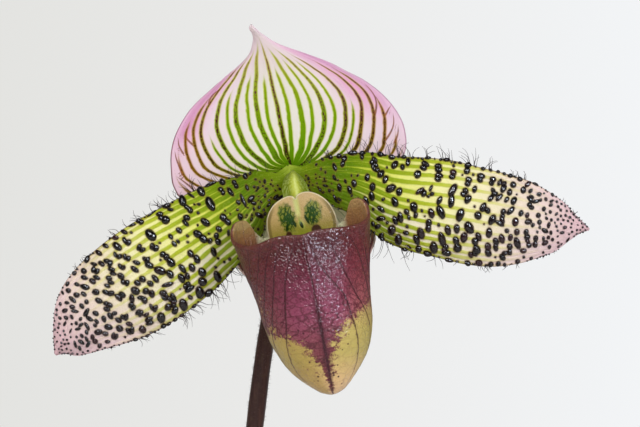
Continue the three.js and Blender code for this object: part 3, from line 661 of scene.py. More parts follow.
def paint_hood():
    p = Paint("hood_flesh")
    u, v, w, gap, face = (p.attr(k) for k in ("u", "v", "w", "gap", "face"))
    fork, forked = p.attr("fork"), p.attr("forked")
    place = p.place()
    wob = p.noise(place, 0.9, 3.0, 0.6)
    wob2 = p.noise(place, 0.25, 2.0)
    speck = p.noise(place, 2.7, 2.0, 0.6)
    k = lambda n: (n + 13) / 26.0
    near = w + (wob - 0.5) * 0.13
    vein_no = near.round()
    d = (near - vein_no).abs() * gap
    kn = vein_no / 26.0 + 0.51
    # Half width of a main vein up the blade, and what each vein keeps of it.
    hw = p.curve(v, [(0, 0.55), (0.16, 0.68), (0.26, 0.65), (0.34, 0.57), (0.5, 0.49), (0.64, 0.39), (0.8, 0.28), (0.92, 0.15), (1, 0.05)])
    keep = p.curve(kn, [(k(-12), 0.52), (k(-10), 0.6), (k(-9), 0.66), (k(-8), 0.72), (k(-7), 0.52), (k(-6), 0.84), (k(-5), 0.66), (k(-4), 0.98), (k(-3), 0.70),
                        (k(-2), 1.06), (k(-1), 0.72), (k(0), 0.92), (k(1), 0.78), (k(2), 1.08), (k(3), 0.76), (k(4), 1.06), (k(5), 0.70), (k(6), 0.92), (k(7), 0.56),
                        (k(8), 0.86), (k(9), 0.74), (k(10), 0.66), (k(11), 0.5), (k(12), 0.4)], "CONSTANT")
    stop = p.curve(kn, [(k(-12), 0.34), (k(-11), 0.42), (k(-10), 0.56), (k(-9), 0.66), (k(-8), 0.84), (k(-7), 0.47), (k(-6), 0.88), (k(-5), 0.68), (k(-4), 0.92), (k(-3), 0.76),
                        (k(-2), 0.95), (k(-1), 0.75), (k(0), 0.975), (k(1), 0.80), (k(2), 0.93), (k(3), 0.86), (k(4), 0.93), (k(5), 0.86), (k(6), 0.90), (k(7), 0.6),
                        (k(8), 0.86), (k(9), 0.80), (k(10), 0.62), (k(11), 0.44), (k(12), 0.36)], "CONSTANT")
    fade = (stop - v).ease(0.0, 0.10)
    width = hw * keep * fade * (0.80 + 0.40 * wob)
    vein = (width - d).ease(-0.08, 0.09) * fade
    # How brown each vein is, and how thickly it is sown with dark specks.
    brown = p.curve(kn, [(k(-12), 0.95), (k(-9), 0.85), (k(-8), 0.62), (k(-7), 0.10), (k(-6), 0.20), (k(-5), 0.05), (k(-4), 0.10), (k(-3), 0.0), (k(-2), 0.05), (k(-1), 0.0), (k(0), 0.25),
                         (k(1), 0.0), (k(4), 0.12), (k(5), 0.04), (k(6), 0.42), (k(7), 0.15), (k(8), 0.72), (k(9), 0.82), (k(10), 0.9), (k(12), 1)], "CONSTANT")
    sown = p.curve(kn, [(k(-12), 0.3), (k(-9), 0.5), (k(-8), 0.9), (k(-7), 0.25), (k(-6), 0.75), (k(-5), 0.12), (k(-4), 0.6), (k(-3), 0.06), (k(-2), 0.5), (k(-1), 0.04), (k(0), 1.0),
                        (k(1), 0.04), (k(2), 0.16), (k(3), 0.04), (k(4), 0.68), (k(5), 0.12), (k(6), 0.85), (k(7), 0.3), (k(8), 1.0), (k(9), 0.8), (k(10), 0.65), (k(11), 0.2), (k(12), 0.1)], "CONSTANT")
    core = (width * 0.52 - d).ease(-0.07, 0.06) * (speck + sown * 0.27 - 0.66).ease(0.0, 0.08) * v.ease(0.92, 0.8)
    green = p.ramp(v, [(0, (74, 108, 2)), (0.3, (84, 124, 2)), (0.5, (104, 138, 6)), (0.7, (132, 148, 26)), (0.85, (158, 152, 66)), (1, (190, 160, 130))])
    rust = p.ramp(v, [(0, (104, 82, 10)), (0.3, (112, 72, 14)), (0.45, (118, 66, 28)), (0.6, (126, 62, 50)), (0.8, (156, 88, 98)), (1, (176, 120, 126))])
    dark = p.ramp(v, [(0, (40, 34, 4)), (0.4, (52, 24, 10)), (0.62, (84, 26, 48)), (0.85, (110, 62, 60)), (1, (150, 100, 100))])
    line = p.mix(brown, green, rust)
    line = p.mix((width - d).ease(0.16, -0.03) * 0.5, line, (186, 184, 66))
    # Flesh between the veins.
    strands = p.noise(p.combine(w * 2.3, v * 7.0, 0.0), 1.0, 3.0, 0.6)
    side = u.abs() + (wob2 - 0.5) * 0.2
    flesh = p.ramp(side, [(0, (208, 202, 190)), (0.35, (209, 200, 193)), (0.6, (211, 193, 198)), (0.85, (214, 189, 199)), (1, (214, 187, 198))])
    flesh = p.mix(v.ease(0.62, 0.93) * 0.75, flesh, (219, 196, 202))
    flesh = p.mix(v.ease(0.28, 0.10) * 0.75, flesh, (184, 192, 100))
    roll = u.ease(0.5, 0.82) * v.ease(0.40, 0.62) * (0.25 + 1.0 * strands) + (u * -1).ease(0.66, 0.88) * v.ease(0.34, 0.5) * v.ease(0.9, 0.66) * (0.3 + 1.1 * strands)
    flesh = p.mix(roll * v.ease(0.99, 0.86), flesh, (203, 138, 178))
    flesh = p.mix((u * -1).ease(0.72, 0.98) * v.ease(0.5, 0.3) * 0.25, flesh, (212, 166, 190))
    rim = u.abs().ease(0.93, 0.985) * v.ease(0.3, 0.45)
    flesh = p.mix(rim * 0.4, flesh, (226, 196, 212))
    flesh = p.mix((width + 0.30 - d).ease(0.0, 0.34) * fade * 0.85, flesh, p.mix(brown, (182, 188, 64), (198, 138, 124)))
    tint = p.noise(place, 3.0, 3.0, 0.6)
    flesh = p.mix((tint - 0.5).abs() * 0.4, flesh, (236, 230, 232))
    colour = p.mix(vein, flesh, line)
    colour = p.mix(core, colour, dark)
    # The forks of the outermost veins.
    twig = (forked * 0.23 - fork.abs()).ease(-0.09, 0.07) * forked.ease(0.1, 0.5)
    colour = p.mix(twig * 0.85, colour, p.mix(speck.ease(0.5, 0.62), (138, 82, 38), (72, 34, 22)))
    outline = u.abs().ease(0.984, 0.996) * v.ease(0.99, 0.9)
    colour = p.mix(outline * p.curve(u * 0.5 + 0.5, [(0, 0.95), (0.5, 0.8), (1, 0.6)]), colour, p.mix(v.ease(0.6, 0.35) * (u * -1).ease(0.0, 0.2), (150, 84, 118), (104, 50, 50)))
    # The back is duller, with softer veins and a bristly green midrib.
    back = p.mix(vein * 0.6, p.mix(0.35, flesh, (208, 186, 192)), (124, 140, 52))
    back = p.mix(u.abs().ease(0.05, 0.02) * 0.8, back, (132, 120, 60))
    colour = p.mix(face.ease(0.6, 0.4), colour, back)
    grain = p.cells(place, 3.4)
    n = p.bump(vein * -0.6 + grain * 0.35 + wob * 0.6, 0.35, 0.00012)
    return p.done(colour, 0.6, n, Specular_IOR_Level=0.015)


def hood_thick(u, v):
    return 0.85 * np.sqrt(np.clip(1 - np.abs(u) ** 5, 0, 1)) * (1 - 0.35 * np.abs(u)) + 0.0


def edges_fine(n, power=1.35):
    """Steps over -1..1 that get finer towards the edges."""
    s = np.linspace(-1, 1, n)
    return np.sign(s) * (1 - (1 - np.abs(s)) ** power)


def hood_relief(u, v):
    w, _ = vein_field(u.reshape(-1), v.reshape(-1), HOOD_VEINS_V, HOOD_VEINS)
    w = w.reshape(u.shape)
    fine = ease(v, 0.02, 0.15) * ease(v, 0.95, 0.8)
    return -0.07 * (0.5 + 0.5 * np.cos(2 * math.pi * w)) * fine


shape = Shape()
hood_vs = np.concatenate([[0, 0.012], np.linspace(0.025, 0.96, 116), [0.967, 0.974, 0.98, 0.986, 0.991, 0.995, 0.998]])
sheet(shape, hood_surface, hood_thick, edges_fine(131), hood_vs, 1, 0, hood_relief, lambda u, v: -hood_relief(u, v), hood_extra)
hood = shape.build("dorsal_sepal_look", [paint_hood()], ["dorsal_sepal"])


# ---- petals --------------------------------------------------------------------------------
PETALS = {
    "left": {
        "from": (5.0, 372.5), "turn": 216.66, "length": 63.05,
        "rows": [
            (0, 3.0, -2.3, 2.9, 2.9, 3.0), (0.05, 5.9, -2.4, 2.2, 0.9, 1.6), (0.1, 7.2, -3.3, 1.8, -0.2, 0.9), (0.14, 8.2, -4.9, 1.6, -0.7, 0.6),
            (0.17, 9.0, -6.2, 1.45, -1.1, 0.4), (0.19, 9.4, -6.8, 1.4, -1.3, 0.35), (0.23, 10.2, -7.4, 1.3, -1.6, 0.3), (0.31, 11.3, -8.3, 1.0, -2.1, 0.4), (0.4, 12.2, -9.4, 0.6, -2.5, 0.6), (0.5, 13.1, -9.75, 0.2, -2.7, 0.8),
            (0.6, 13.4, -9.65, -0.1, -2.5, 0.9), (0.7, 13.1, -8.8, 0.1, -2.0, 1.0), (0.78, 12.3, -7.2, 0.6, -1.2, 1.2), (0.85, 10.7, -5.5, 1.3, -0.1, 1.6),
            (0.9, 8.5, -4.3, 1.9, 0.8, 2.0), (0.94, 5.8, -3.1, 2.5, 1.7, 2.5), (0.97, 3.2, -1.2, 3.0, 2.4, 2.9), (1, 0.1, -0.1, 3.4, 3.4, 3.4),
        ],
        "veins_v": (0.16, 0.28, 0.36, 0.6),
        "veins": [
            (-0.95, -0.95, -0.95, -0.94), (-0.85, -0.85, -0.81, -0.78), (-0.73, -0.71, -0.65, -0.67), (-0.60, -0.52, -0.51, -0.53), (-0.40, -0.38, -0.32, -0.37),
            (-0.18, -0.20, -0.14, -0.16), (0.01, -0.02, 0.02, 0.05), (0.17, 0.14, 0.20, 0.25), (0.35, 0.32, 0.39, 0.44), (0.52, 0.48, 0.54, 0.59),
            (0.68, 0.62, 0.69, 0.72), (0.83, 0.76, 0.83, 0.87), (0.95, 0.90, 0.94, 0.97),
        ],
    },
    "right": {
        "from": (8.3, 373.35), "turn": -9.64, "length": 64.8,
        "rows": [
            (0, 3.0, -2.1, 2.9, 2.9, 3.0), (0.05, 5.1, -2.7, 2.2, 0.9, 1.6), (0.1, 6.5, -3.6, 1.8, -0.2, 0.9), (0.14, 7.5, -4.75, 1.6, -0.7, 0.6), (0.17, 8.0, -5.1, 1.45, -1.1, 0.4),
            (0.23, 8.75, -7.0, 1.3, -1.6, 0.3), (0.31, 8.8, -9.9, 1.0, -2.1, 0.4), (0.4, 9.5, -11.3, 0.6, -2.5, 0.6), (0.5, 9.92, -11.75, 0.2, -2.7, 0.8),
            (0.6, 9.45, -12.2, -0.1, -2.5, 0.9), (0.7, 8.95, -11.65, 0.1, -2.0, 1.0), (0.78, 8.15, -10.1, 0.6, -1.2, 1.2), (0.85, 6.5, -7.9, 1.3, -0.1, 1.6),
            (0.9, 4.9, -5.85, 1.9, 0.8, 2.0), (0.94, 2.9, -3.1, 2.5, 1.7, 2.5), (0.97, 1.5, -1.25, 3.0, 2.4, 2.9), (1, 0.1, -0.1, 3.4, 3.4, 3.4),
        ],
        "veins_v": (0.16, 0.34, 0.46, 0.62),
        "veins": [
            (-0.95, -0.97, -0.97, -0.97), (-0.85, -0.86, -0.88, -0.85), (-0.72, -0.75, -0.77, -0.74), (-0.57, -0.62, -0.64, -0.58), (-0.45, -0.47, -0.51, -0.45),
            (-0.30, -0.30, -0.32, -0.30), (-0.12, -0.11, -0.12, -0.09), (0.05, 0.04, 0.04, 0.10), (0.20, 0.23, 0.25, 0.33), (0.38, 0.43, 0.46, 0.52),
            (0.59, 0.61, 0.63, 0.70), (0.75, 0.78, 0.79, 0.83), (0.92, 0.94, 0.92, 0.96),
        ],
    },
}
# The larger warts, as surveyed on each petal: millimetres along it and across it from its axis, half
# length and half width, and the turn of the long way in degrees from the axis.
WARTS = {
    "left": [
        (2.5, -1.8, 1.21, 0.32, 4), (3.4, -1.1, 0.66, 0.37, 173), (3.4, 3.0, 0.51, 0.25, 125), (4.8, 6.3, 0.44, 0.29, 143),
        (5.5, -2.3, 0.86, 0.15, 157), (5.7, -1.5, 0.55, 0.23, 170), (6.0, 6.5, 0.75, 0.53, 114), (7.2, 4.2, 0.63, 0.34, 104),
        (7.5, -2.6, 0.37, 0.32, 175), (7.7, -0.7, 0.35, 0.32, 149), (8.0, 1.8, 0.94, 0.52, 171), (8.1, 0.7, 0.58, 0.38, 52),
        (8.7, -2.1, 1.00, 0.52, 63), (8.8, 6.8, 0.60, 0.48, 99), (8.9, 5.9, 0.62, 0.47, 105), (9.6, 2.5, 1.45, 0.37, 103),
        (10.6, -1.8, 0.43, 0.27, 143), (10.7, 2.8, 0.56, 0.40, 99), (10.7, 5.6, 1.07, 0.47, 91), (10.8, 8.5, 0.85, 0.64, 97),
        (12.1, 7.3, 0.60, 0.50, 48), (12.1, 6.4, 0.55, 0.45, 123), (12.2, 0.1, 0.73, 0.56, 122), (13.3, 9.7, 1.25, 0.39, 12),
        (15.1, 0.8, 0.82, 0.64, 79), (15.3, 2.1, 0.86, 0.70, 104), (15.8, 6.2, 1.61, 0.89, 100), (15.8, 9.6, 1.20, 0.76, 99),
        (16.4, -1.2, 0.74, 0.30, 127), (17.6, 0.7, 0.76, 0.52, 82), (18.1, 10.3, 0.98, 0.28, 73), (18.9, -0.1, 0.65, 0.53, 137),
        (19.1, 3.6, 1.13, 0.69, 77), (19.4, -1.4, 0.76, 0.59, 99), (20.2, 7.7, 0.72, 0.58, 111), (20.3, 10.4, 1.25, 0.81, 107),
        (20.4, 8.7, 0.66, 0.49, 70), (20.7, -0.2, 0.62, 0.49, 138), (21.5, -2.6, 0.97, 0.59, 106), (21.6, 1.0, 0.93, 0.75, 99),
        (21.8, 6.8, 0.79, 0.61, 63), (22.0, 2.6, 1.01, 0.75, 72), (22.7, 6.0, 0.89, 0.43, 79), (23.6, 10.4, 0.65, 0.38, 48),
        (23.8, 11.6, 0.91, 0.55, 25), (24.1, -7.4, 1.34, 0.72, 105), (24.8, 5.6, 0.73, 0.56, 88), (25.4, -1.7, 0.94, 0.64, 103),
        (25.8, 9.2, 0.96, 0.85, 123), (25.8, 0.1, 0.84, 0.64, 97), (26.1, 11.0, 0.73, 0.54, 20), (26.2, -4.6, 1.00, 0.79, 102),
        (26.4, 3.8, 0.46, 0.31, 90), (26.4, 10.2, 0.55, 0.53, 26), (27.1, 5.6, 0.65, 0.43, 94), (27.4, -2.5, 0.95, 0.63, 105),
        (27.4, -6.3, 0.99, 0.88, 94), (27.4, 3.9, 0.68, 0.45, 86), (27.5, 12.2, 1.23, 0.20, 177), (27.8, -9.2, 0.99, 0.77, 160),
        (29.2, -1.4, 1.06, 0.57, 93), (29.3, -3.4, 0.77, 0.48, 107), (29.3, -7.9, 1.40, 0.88, 113), (30.2, -4.9, 0.59, 0.47, 113),
        (30.4, 1.1, 0.98, 0.84, 92), (30.4, 8.5, 1.45, 0.96, 88), (30.4, 12.0, 0.59, 0.53, 151), (30.5, 2.6, 0.75, 0.57, 162),
        (30.6, -5.9, 1.16, 0.56, 3), (30.6, -3.0, 1.04, 0.68, 103), (30.7, 12.7, 0.56, 0.46, 161), (30.8, 3.6, 0.65, 0.59, 164),
        (31.1, -4.9, 0.58, 0.42, 127), (31.2, 5.5, 0.71, 0.60, 152), (31.6, -7.5, 0.60, 0.41, 82), (31.6, 6.3, 0.78, 0.56, 129),
        (32.1, -9.6, 0.60, 0.37, 169), (32.1, -0.8, 0.99, 0.67, 100), (32.4, 12.7, 0.82, 0.27, 20), (33.4, 1.1, 1.26, 0.83, 62),
        (33.8, 7.0, 0.71, 0.49, 16), (33.8, -7.9, 1.33, 0.87, 107), (33.9, -2.3, 1.31, 0.47, 20), (34.0, 7.9, 0.74, 0.51, 148),
        (34.3, 4.5, 0.88, 0.43, 159), (34.5, -5.1, 0.90, 0.45, 93), (34.6, 5.2, 0.47, 0.40, 100), (34.6, 3.4, 0.92, 0.66, 51),
        (34.7, 12.6, 0.87, 0.43, 64), (35.1, -6.1, 0.72, 0.44, 17), (35.3, 10.1, 0.73, 0.57, 150), (35.3, 0.3, 0.97, 0.55, 89),
        (35.4, -5.1, 0.67, 0.53, 85), (35.5, -9.6, 0.58, 0.37, 2), (35.5, -6.7, 0.59, 0.38, 4), (35.7, -4.2, 0.56, 0.43, 118),
        (35.7, 11.0, 0.76, 0.42, 108), (35.8, -3.2, 0.78, 0.65, 30), (36.0, -7.8, 0.90, 0.68, 135), (36.3, -4.2, 0.70, 0.41, 81),
        (36.5, 5.5, 0.79, 0.47, 58), (36.8, 0.1, 0.71, 0.56, 78), (36.8, -6.3, 0.79, 0.71, 133), (37.0, 12.7, 0.69, 0.49, 46),
        (37.2, -9.5, 0.54, 0.39, 8), (37.4, 7.3, 0.64, 0.48, 140), (37.6, 1.9, 0.77, 0.63, 78), (37.7, 4.6, 1.00, 0.51, 71),
        (37.8, 10.9, 1.15, 0.71, 76), (37.8, 8.1, 0.65, 0.36, 123), (37.9, -1.9, 0.81, 0.62, 113), (38.6, -0.6, 0.70, 0.66, 177),
        (38.7, 8.8, 0.65, 0.48, 168), (38.9, -9.4, 0.58, 0.34, 3), (39.0, 1.9, 0.71, 0.58, 70), (39.2, 9.7, 0.64, 0.35, 105),
        (39.2, -4.9, 0.80, 0.46, 146), (39.4, -7.3, 1.19, 0.84, 114), (39.5, 6.4, 0.56, 0.47, 153), (39.7, -4.2, 0.81, 0.35, 100),
        (39.8, 12.6, 0.76, 0.45, 67), (39.9, 7.1, 0.60, 0.37, 102), (40.0, -2.1, 0.71, 0.59, 136), (40.1, -9.1, 0.62, 0.53, 177),
        (40.3, -1.2, 0.79, 0.46, 43), (40.4, 0.8, 1.01, 0.78, 76), (40.8, 3.2, 0.67, 0.49, 135), (41.0, 5.2, 0.82, 0.59, 74),
        (41.3, 8.7, 0.85, 0.47, 150), (41.4, 3.9, 0.58, 0.47, 97), (41.5, 9.6, 0.75, 0.52, 55), (41.6, -4.8, 0.65, 0.35, 4),
        (41.7, -5.9, 0.87, 0.53, 15), (41.8, 7.6, 0.76, 0.42, 45), (41.9, 12.2, 0.88, 0.48, 69), (42.0, -0.1, 0.94, 0.52, 118),
        (42.1, -6.7, 0.85, 0.52, 25), (42.1, 6.7, 0.69, 0.42, 53), (42.4, -3.9, 0.81, 0.43, 148), (42.7, -3.3, 0.76, 0.44, 169),
        (42.8, 9.9, 0.78, 0.47, 77), (43.0, -1.9, 0.66, 0.46, 170), (43.0, -1.1, 0.65, 0.52, 4), (43.2, 1.8, 0.80, 0.56, 82),
        (43.4, 6.4, 0.68, 0.52, 60), (43.6, 5.4, 0.72, 0.42, 52), (44.2, 1.8, 0.94, 0.54, 79), (44.2, -8.7, 0.59, 0.27, 14),
        (44.2, -6.9, 0.89, 0.71, 103), (44.2, 10.8, 0.76, 0.37, 53), (44.6, 9.1, 0.66, 0.52, 151), (44.7, 5.3, 0.68, 0.40, 62),
        (44.8, 12.6, 0.86, 0.53, 147), (45.0, 3.5, 0.72, 0.58, 22), (45.0, 9.9, 0.70, 0.48, 130), (45.4, -2.6, 0.78, 0.44, 134),
        (45.5, 8.1, 0.81, 0.41, 63), (45.8, 4.4, 0.75, 0.48, 68), (45.8, -4.2, 0.73, 0.47, 56), (46.0, -2.1, 0.62, 0.47, 90),
        (46.1, -5.7, 0.82, 0.46, 127), (46.7, 1.6, 0.62, 0.46, 81), (46.7, 8.0, 0.78, 0.53, 72), (46.8, -7.8, 0.54, 0.40, 35),
        (46.9, -5.4, 0.87, 0.45, 94), (46.9, 10.9, 0.70, 0.55, 80), (47.0, -0.4, 0.57, 0.44, 29), (47.2, 2.4, 0.57, 0.49, 31),
        (47.2, -2.1, 0.75, 0.52, 66), (47.5, 5.7, 0.79, 0.65, 56), (47.7, 9.7, 0.75, 0.49, 56), (47.8, 1.3, 0.76, 0.49, 52),
        (48.1, 3.8, 0.87, 0.55, 67), (48.1, -3.7, 0.85, 0.67, 71), (48.1, -0.3, 0.81, 0.48, 87), (48.8, 8.0, 1.09, 0.56, 52),
        (48.9, 11.8, 0.54, 0.47, 93), (49.6, -0.0, 0.72, 0.49, 113), (49.8, -4.8, 0.69, 0.37, 151), (49.9, 6.9, 0.68, 0.45, 73),
        (49.9, -2.0, 0.92, 0.62, 44), (49.9, 9.5, 0.59, 0.42, 61), (50.2, -4.2, 0.81, 0.43, 137), (50.3, 2.0, 0.69, 0.51, 67),
        (50.4, 5.2, 0.55, 0.47, 95), (51.2, 0.5, 0.62, 0.37, 91), (51.3, 7.7, 0.70, 0.53, 64), (51.3, -2.8, 0.68, 0.52, 67),
        (51.5, 10.8, 0.55, 0.45, 162), (51.8, 3.4, 1.04, 0.48, 159), (51.8, 5.1, 0.66, 0.45, 83), (52.0, -4.5, 0.56, 0.43, 42),
        (52.0, -0.0, 0.49, 0.35, 77), (52.1, 1.9, 0.83, 0.46, 71), (52.2, 9.5, 0.62, 0.50, 62), (52.3, -1.6, 0.91, 0.63, 33),
        (52.6, 7.4, 0.96, 0.42, 79), (53.5, 0.9, 1.00, 0.37, 97), (53.5, 9.9, 0.49, 0.25, 95), (53.6, 6.2, 0.63, 0.47, 58),
        (53.7, 5.1, 0.86, 0.35, 42), (53.7, 3.0, 0.44, 0.36, 144), (53.9, -4.2, 0.57, 0.46, 149), (54.0, 7.6, 0.53, 0.37, 54),
        (54.0, -1.7, 0.64, 0.44, 117), (54.1, -2.8, 0.65, 0.55, 81), (54.4, 1.9, 0.63, 0.35, 177), (54.4, -0.1, 0.53, 0.38, 108),
        (55.0, 4.5, 0.59, 0.32, 94), (55.0, 2.8, 0.41, 0.34, 108), (55.3, -1.3, 0.64, 0.33, 101), (55.4, 6.5, 0.64, 0.47, 10),
        (55.5, 1.6, 0.64, 0.33, 24), (55.7, -2.4, 0.82, 0.38, 152), (55.7, -0.1, 0.53, 0.33, 101), (56.1, 5.1, 0.53, 0.39, 80),
        (56.6, -1.1, 0.76, 0.41, 77), (57.0, 2.2, 0.59, 0.21, 148), (57.1, 4.2, 0.56, 0.28, 150), (57.2, 5.8, 0.44, 0.30, 70),
        (57.7, -2.0, 0.61, 0.32, 109), (58.0, -0.7, 0.89, 0.29, 111),
    ],
    "right": [
        (4.2, 5.3, 0.45, 0.26, 141), (5.9, -0.2, 0.55, 0.24, 177), (5.9, 6.0, 0.55, 0.48, 151), (7.2, 4.0, 0.84, 0.41, 116),
        (7.5, 1.8, 0.56, 0.32, 119), (7.7, 6.6, 0.59, 0.52, 68), (8.5, -2.6, 0.93, 0.26, 125), (8.8, 5.0, 0.73, 0.44, 89),
        (9.0, 6.2, 0.72, 0.55, 86), (9.0, -0.1, 0.82, 0.45, 107), (9.4, -2.6, 0.48, 0.24, 149), (10.6, 7.8, 0.96, 0.60, 13),
        (11.3, -0.2, 0.85, 0.47, 117), (12.0, 1.3, 0.82, 0.54, 104), (12.6, 8.1, 0.72, 0.49, 19), (12.7, 7.2, 0.65, 0.39, 100),
        (14.6, 3.0, 0.78, 0.54, 97), (14.8, 8.3, 0.43, 0.31, 79), (15.0, 6.4, 0.53, 0.47, 70), (15.3, -1.9, 0.98, 0.42, 125),
        (15.5, 5.3, 0.88, 0.41, 123), (15.5, 7.0, 0.81, 0.49, 133), (15.9, 5.9, 0.61, 0.48, 166), (16.1, 1.2, 0.87, 0.59, 94),
        (16.3, -0.8, 0.93, 0.62, 112), (16.5, 4.9, 0.54, 0.35, 53), (16.6, 8.5, 0.71, 0.58, 3), (17.4, 4.2, 0.97, 0.58, 61),
        (17.6, -6.7, 0.60, 0.39, 114), (18.6, 3.2, 0.90, 0.56, 70), (18.7, -7.1, 0.67, 0.44, 42), (18.8, -3.2, 0.95, 0.47, 148),
        (19.1, -5.2, 0.96, 0.51, 18), (19.2, 8.3, 0.70, 0.58, 11), (19.7, -9.0, 0.78, 0.49, 51), (20.1, 1.5, 1.13, 0.82, 42),
        (20.1, 6.7, 0.96, 0.65, 65), (20.1, -9.7, 0.65, 0.42, 158), (21.5, -1.2, 1.05, 0.69, 123), (21.8, 8.8, 0.61, 0.42, 21),
        (21.9, -7.3, 1.13, 0.80, 86), (21.9, 6.5, 0.62, 0.48, 99), (22.1, 1.1, 0.90, 0.63, 81), (22.3, -5.1, 0.96, 0.53, 119),
        (22.9, 7.8, 0.93, 0.48, 91), (23.3, -4.3, 1.12, 0.58, 112), (23.7, -9.2, 1.24, 0.78, 94), (24.4, -2.9, 0.62, 0.55, 116),
        (25.1, -4.0, 0.54, 0.34, 112), (25.1, -7.4, 0.62, 0.46, 177), (25.1, -6.0, 0.37, 0.31, 123), (25.4, -11.1, 0.69, 0.41, 174),
        (25.4, 5.5, 0.92, 0.72, 88), (25.8, -1.6, 1.05, 0.80, 103), (26.2, -10.3, 0.61, 0.24, 153), (26.4, 7.1, 0.77, 0.57, 160),
        (26.5, -3.3, 0.67, 0.45, 88), (26.5, 2.0, 1.11, 0.45, 48), (26.7, 8.0, 0.86, 0.60, 158), (27.1, 9.5, 0.72, 0.31, 22),
        (27.5, 1.6, 0.74, 0.53, 70), (27.6, -8.5, 1.12, 0.61, 122), (28.3, -7.0, 1.23, 0.75, 117), (28.4, -10.5, 0.80, 0.65, 111),
        (28.6, 1.2, 0.39, 0.29, 58), (28.8, 3.0, 0.75, 0.31, 73), (29.3, 1.8, 0.48, 0.38, 52), (29.6, -4.4, 0.73, 0.67, 97),
        (29.6, 8.0, 0.76, 0.64, 22), (29.7, -5.7, 0.82, 0.60, 104), (29.8, -2.3, 1.03, 0.67, 119), (29.8, 7.2, 0.78, 0.58, 179),
        (30.0, 5.2, 0.72, 0.59, 167), (30.1, 6.0, 0.88, 0.55, 1), (30.5, -11.2, 0.94, 0.64, 157), (31.1, 0.7, 0.91, 0.52, 71),
        (31.2, 9.8, 0.71, 0.41, 12), (31.6, -9.6, 1.34, 0.83, 107), (31.8, -1.7, 1.44, 0.78, 127), (33.0, 6.2, 0.68, 0.55, 3),
        (33.1, 7.2, 0.74, 0.63, 138), (33.1, -7.5, 1.53, 0.76, 116), (33.6, 3.4, 1.49, 0.70, 66), (33.7, 1.0, 1.40, 0.68, 92),
        (33.9, -9.6, 0.55, 0.44, 33), (34.0, -5.3, 1.08, 0.64, 110), (34.2, -8.9, 0.66, 0.49, 171), (34.6, -10.3, 1.03, 0.64, 7),
        (35.4, -11.8, 0.90, 0.47, 177), (35.9, -4.7, 0.99, 0.63, 104), (36.0, 9.4, 0.71, 0.64, 44), (36.0, 8.1, 0.75, 0.65, 74),
        (36.0, 2.9, 0.61, 0.56, 145), (36.1, -1.6, 1.41, 0.81, 77), (36.2, -7.3, 0.95, 0.65, 119), (36.4, 3.7, 0.67, 0.57, 149),
        (36.6, 5.3, 0.63, 0.59, 9), (36.7, 6.2, 0.73, 0.65, 151), (36.8, -8.8, 0.98, 0.85, 79), (37.2, 2.0, 0.99, 0.67, 70),
        (37.8, -6.3, 1.13, 0.72, 88), (38.3, 4.4, 0.79, 0.49, 80), (38.5, -4.0, 1.32, 0.96, 124), (39.1, 6.6, 0.66, 0.57, 147),
        (39.2, 7.5, 0.88, 0.59, 175), (39.4, 9.2, 0.48, 0.40, 15), (39.6, -11.8, 0.72, 0.58, 129), (39.9, -9.8, 0.68, 0.47, 123),
        (40.0, -1.1, 0.87, 0.75, 109), (40.3, -6.8, 0.81, 0.65, 124), (40.7, -9.4, 0.73, 0.44, 139), (40.8, 0.8, 1.02, 0.64, 71),
        (40.9, -5.6, 0.96, 0.58, 121), (41.0, -8.5, 1.01, 0.80, 116), (41.1, 9.2, 0.39, 0.35, 20), (41.7, 6.3, 0.58, 0.54, 106),
        (41.9, 0.3, 0.67, 0.60, 116), (41.9, 7.2, 0.71, 0.59, 173), (42.0, -11.3, 0.77, 0.72, 127), (42.1, 3.0, 0.80, 0.50, 62),
        (42.3, 4.8, 0.57, 0.46, 115), (42.8, 9.1, 0.42, 0.32, 5), (42.8, 4.1, 0.74, 0.49, 27), (43.0, -4.4, 1.09, 0.67, 96),
        (43.2, -1.5, 1.22, 0.68, 70), (43.3, -7.4, 0.86, 0.66, 105), (43.5, 6.8, 0.84, 0.40, 68), (43.6, -8.8, 0.83, 0.66, 122),
        (43.9, 3.5, 1.03, 0.48, 57), (44.2, 8.9, 0.40, 0.35, 161), (44.4, 6.7, 0.68, 0.46, 40), (44.5, 5.6, 1.01, 0.57, 74),
        (44.6, -11.2, 0.64, 0.56, 71), (44.8, -6.0, 0.82, 0.60, 119), (45.0, -7.3, 0.85, 0.53, 105), (45.0, -2.0, 1.03, 0.48, 162),
        (45.3, 0.6, 0.64, 0.53, 74), (45.3, -0.4, 0.54, 0.47, 14), (45.4, -1.2, 0.73, 0.45, 131), (45.6, 3.3, 0.71, 0.43, 69),
        (45.6, 8.7, 0.59, 0.43, 22), (46.0, -5.2, 1.05, 0.60, 111), (46.0, 5.0, 0.76, 0.54, 79), (46.2, -10.8, 0.60, 0.51, 91),
        (46.5, 6.8, 0.71, 0.62, 88), (46.8, -3.3, 0.50, 0.49, 131), (46.8, -9.2, 0.82, 0.55, 139), (46.9, 1.1, 1.11, 0.56, 54),
        (47.2, 3.3, 0.95, 0.59, 74), (47.2, -8.2, 0.66, 0.48, 10), (47.6, -10.8, 0.44, 0.36, 83), (47.8, 8.3, 0.59, 0.51, 6),
        (47.8, -4.6, 0.73, 0.51, 87), (48.0, -6.6, 0.68, 0.61, 108), (48.2, -7.8, 0.71, 0.49, 113), (48.3, -1.1, 0.91, 0.71, 90),
        (48.9, 6.0, 0.74, 0.60, 82), (49.0, -3.2, 0.69, 0.61, 91), (49.2, 0.9, 0.70, 0.50, 71), (49.5, -5.6, 1.36, 0.67, 116),
        (49.7, 7.5, 0.89, 0.46, 60), (50.3, -9.6, 0.59, 0.53, 106), (50.5, 6.1, 0.60, 0.37, 56), (50.6, 0.7, 0.66, 0.42, 79),
        (50.7, 4.2, 0.85, 0.41, 144), (50.7, 3.1, 0.58, 0.46, 60), (50.9, 4.8, 0.59, 0.42, 173), (51.0, -2.9, 0.70, 0.53, 81),
